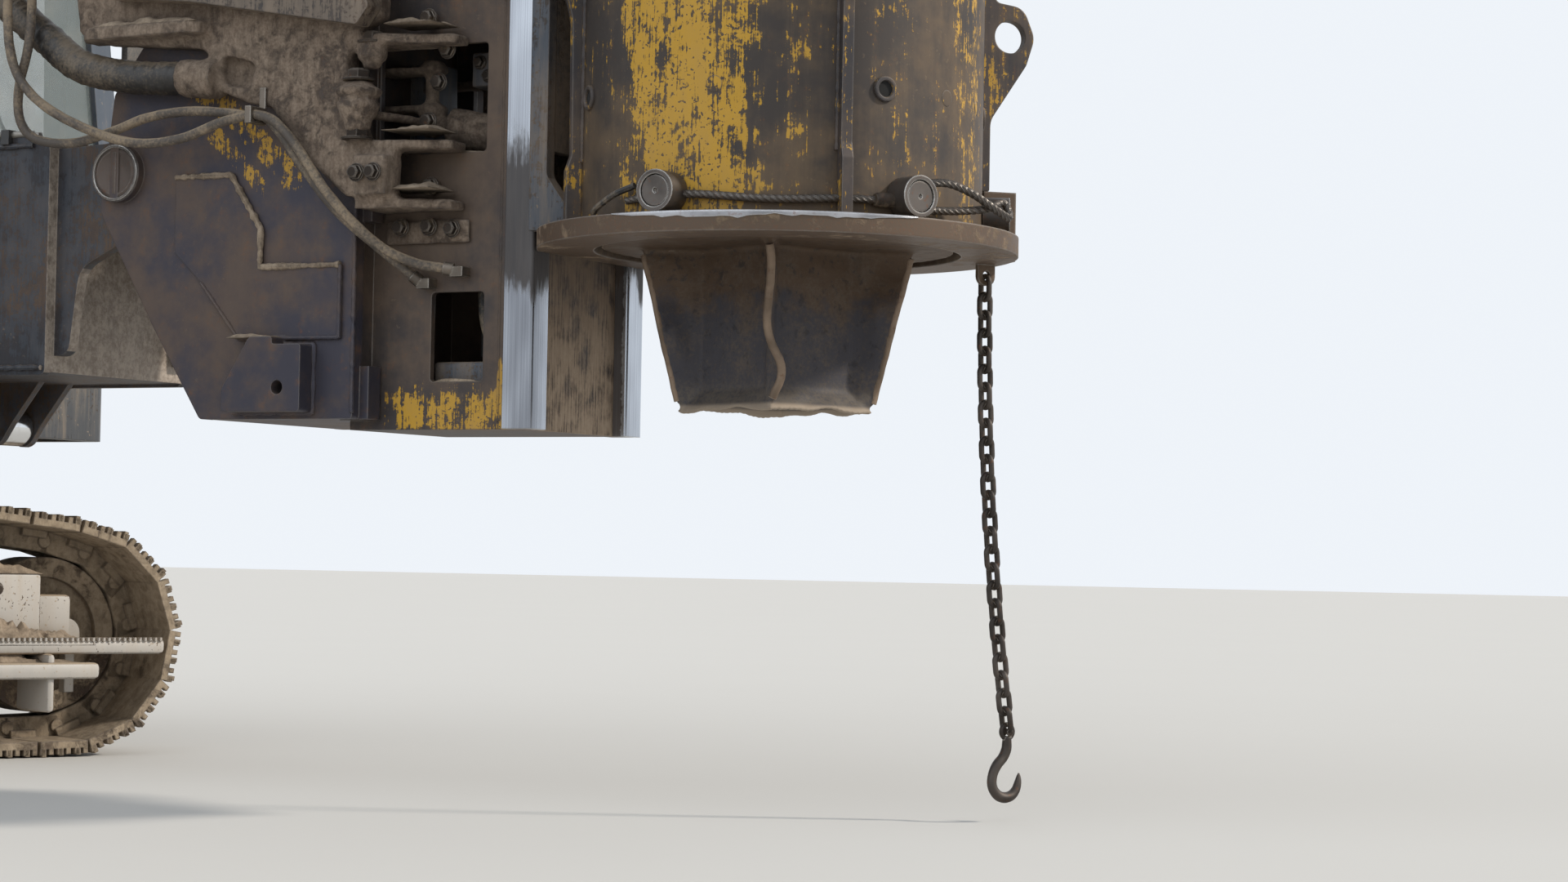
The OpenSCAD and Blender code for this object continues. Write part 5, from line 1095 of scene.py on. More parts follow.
def link_shaper() -> Shaper:
    """Returns a tree that puts a round chain link at each point."""
    s = Shaper("links")
    length, width, wire = s.size("Length", 0.06), s.size("Width", 0.047), s.size("Wire", 0.0145)
    line = s.value("GeometryNodeCurvePrimitiveQuadrilateral", {"mode": "RECTANGLE"},
                   {"Width": length - wire, "Height": width - wire})
    bent = s.value("GeometryNodeFilletCurve", {"mode": "POLY"},
                   {"Curve": line, "Radius": (width - wire) * 0.499, "Count": 7})
    ring = s.circle(12, wire * 0.5)
    return s.at_points(s.value("GeometryNodeCurveToMesh", sockets={"Curve": bent, "Profile Curve": ring}))


def rope_shaper() -> Shaper:
    """Returns a tree that lays a twisted six-strand rope along the source's edges."""
    s = Shaper("rope")
    radius, lay, step = s.size("Radius", 0.011), s.size("Lay", 0.16), s.size("Step", 0.006)
    even = s.even(step)
    gone = Value(s, s.add("GeometryNodeSplineParameter").outputs["Length"])
    twist = s.value("GeometryNodeSetCurveTilt", sockets={"Curve": even, "Tilt": gone * math.tau / lay})
    ring = s.circle(18, radius)
    dip = s.value("GeometryNodeInputIndex").maths("MODULO", 3.0).maths("COMPARE", 0.0, 0.1)
    place = s.value("GeometryNodeInputPosition")
    scaled = s.value("ShaderNodeVectorMath", {"operation": "SCALE"}, {0: place, "Scale": 1.0 - dip * 0.26})
    lobed = s.value("GeometryNodeSetPosition", sockets={"Geometry": ring, "Position": scaled})
    return s.close(s.value("GeometryNodeCurveToMesh",
                           sockets={"Curve": twist, "Profile Curve": lobed, "Fill Caps": True}))


def bead_shaper() -> Shaper:
    """Returns a tree that lays a lumpy weld bead along the source's edges."""
    s = Shaper("beads")
    radius, lumps = s.size("Radius", 0.006), s.size("Lumps", 70.0)
    even = s.even(0.007)
    wave = s.value("ShaderNodeTexNoise", sockets={"Scale": lumps, "Detail": 1.0})
    fat = s.value("GeometryNodeSetCurveRadius",
                  sockets={"Curve": even, "Radius": radius * (wave * 1.5 + 0.3)})
    return s.close(s.value("GeometryNodeCurveToMesh", sockets={
        "Curve": fat, "Profile Curve": s.circle(7, 1.0), "Fill Caps": True,
        "Scale": s.value("GeometryNodeInputRadius")}))


class Toolbox:
    """Makes each Geometry Nodes tree once."""

    makers: dict[str, Callable[[], Shaper]] = {
        "bolts": bolt_shaper, "blocks": block_shaper, "shoes": shoe_shaper, "links": link_shaper,
        "rope": rope_shaper, "beads": bead_shaper,
    }

    def __init__(self) -> None:
        """Starts with no tree made."""
        self.made: dict[str, Shaper] = {}

    def get(self, name: str) -> Shaper:
        """Returns a tree by name."""
        if name not in self.made:
            self.made[name] = self.makers[name]()
        return self.made[name]


TOOLS = Toolbox()


def grow(tool: str, name: str, source: bpy.types.Mesh, skin: Skin, smooth: bool = False,
         **sizes: float) -> bpy.types.Object:
    """Runs a Geometry Nodes tree on a source mesh and keeps the result as a plain mesh.

    Args:
        tool: The tree's name.
        name: The piece's name.
        source: Points or edges that the tree reads.
        skin: The piece's body, slot and finish.
        smooth: Whether its faces are shaded smooth.
        sizes: The tree's named inputs.

    Returns:
        The object.
    """
    shaper = TOOLS.get(tool)
    obj = linked(name + "_source", source)
    modifier = obj.modifiers.new("shape", "NODES")
    modifier.node_group = shaper.tree
    for item in shaper.tree.interface.items_tree:
        if item.in_out == "INPUT" and item.name in sizes:
            modifier[item.identifier] = float(sizes[item.name])
        elif item.in_out == "INPUT" and item.name == "Finish":
            modifier[item.identifier] = SHOP.get(skin.finish)
    return settle(name, baked(obj), skin, smooth)


def turned_points(places: Iterable[tuple[Sequence[float], Matrix | Quaternion]]) -> bpy.types.Mesh:
    """Returns a mesh of points, each with its turn."""
    listed = list(places)
    mesh = bpy.data.meshes.new("points")
    mesh.from_pydata([tuple(p) for p, _ in listed], [], [])
    turns = mesh.attributes.new("turn", "FLOAT_VECTOR", "POINT")
    turns.data.foreach_set("vector", [a for _, turn in listed for a in turn.to_euler()])
    return mesh


def points_of(places: Iterable[tuple[Sequence[float], Sequence[float]]]) -> bpy.types.Mesh:
    """Returns a mesh of points, each given with the way that its shape's top faces."""
    upright = Vector((0, 0, 1))
    return turned_points((p, upright.rotation_difference(Vector(aim))) for p, aim in places)


def lines_of(paths: Iterable[Sequence[Sequence[float]]]) -> bpy.types.Mesh:
    """Returns a mesh of edges along each path."""
    points: list[tuple[float, ...]] = []
    edges = []
    for path in paths:
        edges += [(len(points) + i, len(points) + i + 1) for i in range(len(path) - 1)]
        points += [tuple(p) for p in path]
    mesh = bpy.data.meshes.new("lines")
    mesh.from_pydata(points, edges, [])
    return mesh


# Pairs of points: places with the way they face, or two opposite corners
Places = Iterable[tuple[Sequence[float], Sequence[float]]]
UP: Point = (0, 0, 1)


def bolts(name: str, places: Places, skin: Skin, across: float, height: float) -> bpy.types.Object:
    """Makes bolts of a width across their flats and a height."""
    return grow("bolts", name, points_of(places), skin, Across=across, Height=height)


def blocks(name: str, places: Places, skin: Skin, size: Point) -> bpy.types.Object:
    """Makes small blocks of a length, width and thickness."""
    return grow("blocks", name, points_of(places), skin, Length=size[0], Width=size[1], Thickness=size[2])


def beads(name: str, paths: Iterable[Sequence[Vector]], skin: Skin, radius: float, lumps: float) -> None:
    """Makes weld beads of a radius, with their lumps per metre."""
    grow("beads", name, lines_of(paths), skin, True, Radius=radius, Lumps=lumps)


def rope(name: str, paths: Iterable[Sequence[Vector]], skin: Skin, radius: float, lay: float,
         step: float) -> bpy.types.Object:
    """Makes wire ropes of a radius, the length of one twist and that of one step."""
    return grow("rope", name, lines_of(paths), skin, True, Radius=radius, Lay=lay, Step=step)


# Camera and studio
@dataclass
class Camera:
    """The photograph's camera, low on the ground and close to the pile's place."""

    place: Point = (8.661, -7.832, 0.73)
    look: tuple[float, float] = (-0.4648, 0.8854)
    pitch: float = 2.09
    roll: float = 1.0
    lens: float = 74.06

    def build(self) -> None:
        """Makes the camera and gives it to the scene."""
        data = bpy.data.cameras.new("camera")
        data.lens = self.lens
        data.sensor_width = 36.0
        data.clip_end = 400.0
        obj = linked("camera", data)
        p, r = math.radians(self.pitch), math.radians(self.roll)
        ahead = Vector((self.look[0] * math.cos(p), self.look[1] * math.cos(p), math.sin(p))).normalized()
        right = ahead.cross(Vector((0, 0, 1))).normalized()
        up = right.cross(ahead)
        rolled_up = up * math.cos(r) - right * math.sin(r)
        rolled_right = right * math.cos(r) + up * math.sin(r)
        turn = Matrix((rolled_right, rolled_up, -ahead)).transposed().to_4x4()
        obj.matrix_world = Matrix.Translation(self.place) @ turn
        bpy.context.scene.camera = obj


@dataclass
class Studio:
    """Pale floor, pale sky and soft light."""

    sky: Colour = (0.86, 0.9, 0.95)
    fill: float = 0.62
    sun: float = 2.6
    sun_azimuth: float = 24.0
    sun_height: float = 34.0

    def build(self) -> None:
        """Makes the floor, the world and the lamps."""
        half = 90.0
        mesh = bpy.data.meshes.new("floor")
        mesh.from_pydata([(-half, -half, 0), (half, -half, 0), (half, half, 0), (-half, half, 0)], [],
                         [(0, 1, 2, 3)])
        mesh.materials.append(SHOP.get("floor"))
        linked("floor", mesh)
        self.build_world()
        self.build_sun()
        bpy.context.scene.view_settings.view_transform = "Standard"

    def build_world(self) -> None:
        """Makes a sky that shows pale and lights gently."""
        world = bpy.data.worlds.new("sky")
        bpy.context.scene.world = world
        world.use_nodes = True
        t = Tree(world.node_tree)
        ray = t.add("ShaderNodeLightPath")
        seen = Value(t, ray.outputs["Is Camera Ray"]).top(Value(t, ray.outputs["Is Glossy Ray"]))
        seen = seen.top(Value(t, ray.outputs["Is Transmission Ray"]))
        plain = t.value("ShaderNodeBackground", sockets={"Color": (*self.sky, 1.0), "Strength": 1.0})
        soft = t.value("ShaderNodeBackground",
                       sockets={"Color": (0.88, 0.94, 1.0, 1.0), "Strength": self.fill})
        blend = t.value("ShaderNodeMixShader", sockets={0: seen, 1: soft, 2: plain})
        t.add("ShaderNodeOutputWorld", sockets={"Surface": blend})

    def build_sun(self) -> None:
        """Makes the key lamp from the right and a weak broad fill from the camera's side."""
        for name, power, azimuth, height, size, tone in (
                ("key", self.sun, self.sun_azimuth, self.sun_height, 0.09, (1.0, 0.93, 0.83)),
                ("fill", 0.75, -100.0, 40.0, 1.2, (0.9, 0.95, 1.0))):
            lamp = bpy.data.lights.new(name, "SUN")
            lamp.energy = power
            lamp.angle = size
            lamp.color = tone
            a, h = math.radians(azimuth), math.radians(height)
            aim = Vector((math.cos(a) * math.cos(h), math.sin(a) * math.cos(h), math.sin(h)))
            linked(name, lamp).rotation_euler = aim.to_track_quat("Z", "Y").to_euler()


# Places on the rig, in metres
def from_slew(x: float, y: float, z: float) -> Vector:
    """Returns a point given from the slewing axis."""
    return Vector((SLEW_X + x, y, z))


def from_pile(x: float, y: float, z: float) -> Vector:
    """Returns a point given from the pile's axis."""
    return Vector((PILE_X + x, y, z))


def round_pile(turn: float, r: float, z: float) -> Vector:
    """Returns a point by its turn in degrees and its distance round the pile's axis."""
    a = math.radians(turn)
    return from_pile(r * math.cos(a), r * math.sin(a), z)


def span(low: float, high: float) -> tuple[float, float]:
    """Returns a range of x given from the slewing axis."""
    return SLEW_X + low, SLEW_X + high


def bed(x: tuple[float, float], y: tuple[float, float], low_z: float, thick: float) -> tuple[float, ...]:
    """Returns a mud bed's ranges of x and y, with its height and thickness."""
    return *x, *sorted(y), low_z, thick


def fitted(name: str, boxes: Places, skin: Skin, soften: float = 0.004) -> bpy.types.Object:
    """Makes a piece of boxes.

    Args:
        name: The piece's name.
        boxes: Two opposite corners of each.
        skin: The piece's body, slot and finish.
        soften: How far their edges are rounded, in metres.

    Returns:
        The object.
    """
    shapes = []
    for a, b in boxes:
        low = [min(p, q) for p, q in zip(a, b)]
        high = [max(p, q) for p, q in zip(a, b)]
        shapes.append(box_at(low, high, min(soften, 0.45 * min(q - p for p, q in zip(low, high)))))
    return settle(name, merged(shapes), skin)


def lathed(name: str, rows: Iterable[tuple[Sequence[tuple[float, float]], Sequence[float], Sequence[float]]],
           skin: Skin, steps: int = 32) -> None:
    """Makes a piece of turned shapes, each with its profile, place and axis."""
    settle(name, merged([turned(*row, steps) for row in rows]), skin)


def tubes(name: str, paths: Iterable[Sequence[Vector]], skin: Skin, r: float, sides: int = 12) -> None:
    """Makes a piece of round tubes along several paths."""
    piece(name, *joined(sweep(path, r, sides) for path in paths), skin)


def mud_bed(name: str, beds: Iterable[tuple[float, ...]], body: str, slot: str,
            step: float = 0.016) -> bpy.types.Object:
    """Makes heaps of dried mud that lie on level places.

    Args:
        name: The piece's name.
        beds: For each heap its x and y ranges, the height it lies on and its thickness.
        body: The body it rides on.
        slot: The record's material slot.
        step: Size of its faces, in metres.

    Returns:
        The object.
    """
    shape = bmesh.new()
    for x0, x1, y0, y1, z, thick in beds:
        nx, ny = max(3, round((x1 - x0) / step)), max(3, round((y1 - y0) / step))
        tops, feet = [], []
        for i in range(nx + 1):
            for j in range(ny + 1):
                u, v = i / nx, j / ny
                x, y = x0 + (x1 - x0) * u, y0 + (y1 - y0) * v
                rim = min(1.0, 5.0 * min(u, 1 - u, v, 1 - v) + 0.02)
                here = Vector((x, y, z))
                lump = 0.55 + 0.8 * noise.noise(here * 7.0) + 0.45 * noise.noise(here * 31.0)
                tops.append(shape.verts.new((x, y, z + thick * max(0.03, lump) * rim)))
                feet.append(shape.verts.new((x, y, z - 0.002)))
        row = ny + 1
        for i in range(nx):
            for j in range(ny):
                a, b, c, d = i * row + j, (i + 1) * row + j, (i + 1) * row + j + 1, i * row + j + 1
                shape.faces.new([tops[k] for k in (a, b, c, d)])
                shape.faces.new([feet[k] for k in (d, c, b, a)])
        ring = ([i * row for i in range(nx)] + [nx * row + j for j in range(ny)]
                + [i * row + ny for i in range(nx, 0, -1)] + list(range(ny, 0, -1)))
        for a, b in zip(ring, ring[1:] + ring[:1]):
            shape.faces.new([tops[a], feet[a], feet[b], tops[b]])
    mesh = bpy.data.meshes.new(name)
    shape.to_mesh(mesh)
    shape.free()
    return settle(name, mesh, Skin(body, slot, "mud"))


# Assemblies
@dataclass
class Dresser:
    """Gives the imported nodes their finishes."""

    nodes: tuple[tuple[str, str], ...] = (
        ("frame", "car_body deck"), ("pale", "track_frames"), ("wheel", "track_rollers idlers sprockets"),
        ("track", "track_left track_right"), ("forging", "slew_ring hammer_ram"),
        ("weight", "counterweight"),
        ("house", "engine_hood hood_door_left hood_door_right cab_shell cab_door tank_box hammer_head"),
        ("engine", "engine"), ("exhaust", "exhaust"), ("glass", "cab_glass door_glass"),
        ("seat", "operator_seat"),
        ("rail_yellow", "handrails"), ("plastic", "work_lamps"), ("arm", "arm"),
        ("barrel", "lift_barrels backstay_barrels"),
        ("rod", "lift_rods backstay_rods"), ("bracket", "foot_bracket"), ("casting", "swivel_knuckles"),
        ("frame_mud", "carriage_frame"), ("leader", "leader_box"), ("slide", "guide_rails"),
        ("carriage", "leader_head winch_frame hammer_guides"),
        ("sheave", "head_sheaves winch_drum_low winch_drum_high"), ("sleeve", "hammer_sleeve"),
        ("flange", "hammer_flange"), ("rib", "hammer_ribs"), ("casing", "hammer_upper"),
        ("pin", "sling_pins"),
        ("helmet", "helmet"), ("chain", "chain hook"), ("gland", "hose_clamp"),
        ("hose", "hose_front hose_rear"),
        ("wrap", "hose_sleeved"),
    )

    def build(self) -> None:
        """Dresses every node."""
        finishes = {node: finish for finish, nodes in self.nodes for node in nodes.split()}
        for node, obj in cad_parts.items():
            mesh = obj.data
            finish = SHOP.get(finishes[node])
            if mesh.materials:
                for i in range(len(mesh.materials)):
                    mesh.materials[i] = finish
            else:
                mesh.materials.append(finish)
            log.info("%s dressed", node)


@dataclass
class Hoses:
    """The three hoses that hang by the leader's foot, with their routes from the pile's axis.

    Args:
        front: Route of the hose that hangs in front.
        rear: Route of the hose behind it.
        sleeved: Route of the bundle in its wrapped sleeve.
        hose_r: Radius of a hose.
        sleeve_r: Radius of the sleeve.
    """

    front: tuple[Point, ...] = (
        (-2.305, -0.525, 2.370), (-2.305, -0.525, 2.300), (-2.295, -0.525, 2.200), (-2.260, -0.520, 2.105),
        (-2.175, -0.505, 2.020), (-2.025, -0.485, 1.945), (-1.860, -0.475, 1.900), (-1.700, -0.472, 1.905),
        (-1.560, -0.470, 1.945), (-1.460, -0.468, 1.962), (-1.430, -0.468, 1.962), (-1.370, -0.462, 1.940),
        (-1.300, -0.450, 1.865), (-1.215, -0.440, 1.750), (-1.130, -0.420, 1.655), (-1.055, -0.370, 1.580),
        (-0.975, -0.320, 1.540), (-0.905, -0.290, 1.528))
    rear: tuple[Point, ...] = (
        (-2.245, -0.490, 2.370), (-2.245, -0.490, 2.300), (-2.255, -0.490, 2.195), (-2.290, -0.485, 2.080),
        (-2.290, -0.475, 1.985), (-2.240, -0.460, 1.930), (-2.115, -0.442, 1.915), (-1.970, -0.436, 1.945),
        (-1.850, -0.434, 1.978), (-1.700, -0.434, 1.990), (-1.560, -0.434, 1.978), (-1.460, -0.434, 1.962),
        (-1.430, -0.434, 1.962), (-1.375, -0.434, 1.915), (-1.305, -0.415, 1.815), (-1.230, -0.400, 1.720),
        (-1.160, -0.380, 1.650), (-1.090, -0.340, 1.585), (-1.010, -0.290, 1.510))
    sleeved: tuple[Point, ...] = (
        (-2.440, -0.410, 2.385), (-2.375, -0.410, 2.325), (-2.245, -0.410, 2.232), (-2.120, -0.410, 2.147),
        (-1.935, -0.410, 2.105), (-1.740, -0.410, 2.090))
    hose_r: float = 0.014
    sleeve_r: float = 0.05

    def crust(self, path: Sequence[Vector], i: int, k: int) -> float:
        """Returns a dusty hose's radius at one of its points."""
        return self.hose_r + 0.0012 * noise.noise(path[i] * 38.0 + Vector((0.0, 0.0, k * 0.6)))

    def wrinkle(self, _: Sequence[Vector], i: int, k: int) -> float:
        """Returns the wrapped sleeve's radius: a spiral of tape, creased across."""
        gone, a = i * 0.0052, math.tau * k / 32.0
        lap = -0.0022 * ((gone / 0.062 + k / 32.0) % 1.0)
        crease = 0.0026 * noise.noise(Vector((gone * 62.0, math.cos(a) * 1.6, math.sin(a) * 1.6)))
        return self.sleeve_r - 0.0005 + lap + crease

    def lay(self, name: str, route: Sequence[Point], per: int, sides: int, r: float, skin: Skin,
            rough: Callable[[Sequence[Vector], int, int], float]) -> None:
        """Makes one hose, in the place of its solid.

        Args:
            name: The hose's node.
            route: Its points from the pile's axis.
            per: Steps between two points.
            sides: Its number of sides.
            r: Its plain radius; not used.
            skin: Its body, slot and finish.
            rough: Gives the radius at a step and a side.
        """
        path = smooth_path([from_pile(*p) for p in route], per)
        obj = piece(name + "_cover", *sweep(path, lambda i, k: rough(path, i, k), sides), skin)
        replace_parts(obj, name)
        length = sum((b - a).length for a, b in zip(path, path[1:]))
        log.info("%s is %.3f m long", name, length)

    def build(self) -> None:
        """Makes the three hoses."""
        rubber, cloth = Skin("leader", "hose_rubber", "hose"), Skin("leader", "sleeve_cloth", "wrap")
        self.lay("hose_front", self.front, 6, 16, self.hose_r, rubber, self.crust)
        self.lay("hose_rear", self.rear, 6, 16, self.hose_r, rubber, self.crust)
        self.lay("hose_sleeved", self.sleeved, 36, 32, self.sleeve_r, cloth, self.wrinkle)


def parked(obj: bpy.types.Object) -> bpy.types.Object:
    """Turns a piece of the undercarriage as the crawler stands under the upper works."""
    axis = Matrix.Translation((SLEW_X, 0.0, 0.0))
    obj.data.transform(axis @ Matrix.Rotation(UNDER_TURN, 4, "Z") @ axis.inverted())
    return obj


# Skins that several assemblies share
CAB_TRIM = Skin("upper", "lamp_plastic", "plastic")
HOUSE_BOLT = Skin("upper", "house_paint", "bolt")
HAMMER_BOLT = Skin("hammer", "chain_steel", "bolt")


@dataclass
class Crawler:
    """Shoes, links and mud of the two tracks.

    Args:
        gauge: Distance between the tracks' middles.
        shoes: Shoes on one track.
        idler: The idler's place from the slewing axis, its height and the loop's radius round it.
        sprocket: The same of the sprocket.
        carrier: Where the loop's top run bends down towards the idler.
        steps: Where the steps on the flanks begin.
        covers: Corners of the idler's cover, the folding steps and their brackets, from one track's middle.
    """

    gauge: float = 2.9
    shoes: int = 51
    idler: Point = (1.814, 0.416, 0.388)
    sprocket: Point = (-1.762, 0.468, 0.440)
    carrier: float = 1.0
    steps: tuple[float, float] = (-1.15, 1.29)
    covers: tuple[tuple[Point, Point], ...] = (
        ((0.9, 0.12, 0.3), (1.72, 0.262, 0.636)), ((1.7, 0.15, 0.36), (1.84, 0.25, 0.56)),
        ((1.28, 0.33, 0.358), (2.13, 0.4, 0.41)), ((0.86, 0.395, 0.275), (1.85, 0.46, 0.33)),
        ((1.0, 0.2, 0.12), (1.03, 0.44, 0.31)), ((1.3, 0.2, 0.12), (1.33, 0.44, 0.36)),
        ((1.66, 0.2, 0.16), (1.69, 0.44, 0.36)))

    def ring(self) -> list[Vector]:
        """Returns the points where two shoes meet, in the side plane."""
        ix, iz, ir = self.idler
        sx, sz, sr = self.sprocket
        high = sz + sr
        bend = Vector((self.carrier - ix, high - iz))
        leave = math.atan2(bend.y, bend.x) - math.acos(ir / bend.length)
        off = Vector((ix + ir * math.cos(leave), iz + ir * math.sin(leave)))
        slope = Vector((self.carrier, high)) - off
        runs = [ix - sx, ir * (leave + math.pi / 2), slope.length, self.carrier - sx, sr * math.pi]
        whole = sum(runs)
        joints = []
        for n in range(self.shoes):
            s = whole * n / self.shoes
            if s < runs[0]:
                p = Vector((sx + s, iz - ir))
            elif s < sum(runs[:2]):
                a = -math.pi / 2 + (s - runs[0]) / ir
                p = Vector((ix + ir * math.cos(a), iz + ir * math.sin(a)))
            elif s < sum(runs[:3]):
                p = off + slope * (s - sum(runs[:2])) / runs[2]
            elif s < sum(runs[:4]):
                p = Vector((self.carrier - (s - sum(runs[:3])), high))
            else:
                a = math.pi / 2 + (s - sum(runs[:4])) / sr
                p = Vector((sx + sr * math.cos(a), sz + sr * math.sin(a)))
            joints.append(p)
        return joints

    def lay_shoes(self, side: int, node: str) -> None:
        """Makes one track's shoes, in the place of its solid."""
        joints = self.ring()
        places = []
        for a, b in zip(joints, joints[1:] + joints[:1]):
            d = (b - a).normalized()
            m = (a + b) / 2
            turn = Matrix(((d.x, 0.0, d.y), (0.0, -1.0, 0.0), (d.y, 0.0, -d.x)))
            places.append((from_slew(m.x, side * self.gauge / 2, m.y), turn))
        skin = Skin("undercarriage", "track_steel", "track")
        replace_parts(parked(grow("shoes", node + "_shoes", turned_points(places), skin, Width=0.694,
                                Plate=0.026,
                                Bar=0.0275, Link=0.1, Pitch=(joints[1] - joints[0]).length)), node)

    def build(self) -> None:
        """Makes the shoes, the idlers' covers, the steps' teeth and the mud on frames and steps."""
        self.lay_shoes(1, "track_left")
        self.lay_shoes(-1, "track_right")
        beds, teeth, heads, covers = [], [], [], []
        for side in (1, -1):
            y = side * self.gauge / 2
            beds.append(bed(span(-1.1, 1.25), (y - 0.185, y + 0.185), 0.598, 0.06))
            for inner, outer in ((-0.33, -0.11), (0.11, 0.33)):
                beds.append(bed(span(-1.6, 1.7), (y + inner, y + outer), 0.053, 0.035))
            for x in self.steps:
                beds.append(bed(span(x + 0.02, x + 0.6), (y + side * 0.2, y + side * 0.33), 0.396, 0.03))
                teeth += [(from_slew(x + 0.01 + 0.02 * i, y + side * 0.325, 0.398), UP) for i in range(31)]
            heads += [(from_slew(x, y + side * 0.262, z), (0, side, 0)) for x in (1.05, 1.55)
                      for z in (0.36, 0.58)]
            covers += [[from_slew(x, y + side * out, z) for x, out, z in corners] for corners in self.covers]
            beds.append(bed(span(0.92, 1.72), (y + side * 0.1, y + side * 0.262), 0.634, 0.07))
            beds.append(bed(span(1.26, 1.86), (y + side * 0.24, y + side * 0.4), 0.39, 0.075))
            beds.append(bed(span(0.9, 1.8), (y + side * 0.24, y + side * 0.4), 0.33, 0.045))
            teeth += [(from_slew(1.29 + 0.02 * i, y + side * 0.39, 0.408), UP) for i in range(42)]
        pale = Skin("undercarriage", "frame_steel", "pale")
        parked(fitted("idler_covers", covers, pale, 0.016))
        parked(mud_bed("track_mud", beds, "undercarriage", "frame_steel"))
        parked(blocks("step_teeth", teeth, pale, (0.009, 0.03, 0.014)))
        parked(bolts("idler_bolts", heads, pale._replace(finish="bolt"), 0.03, 0.018))


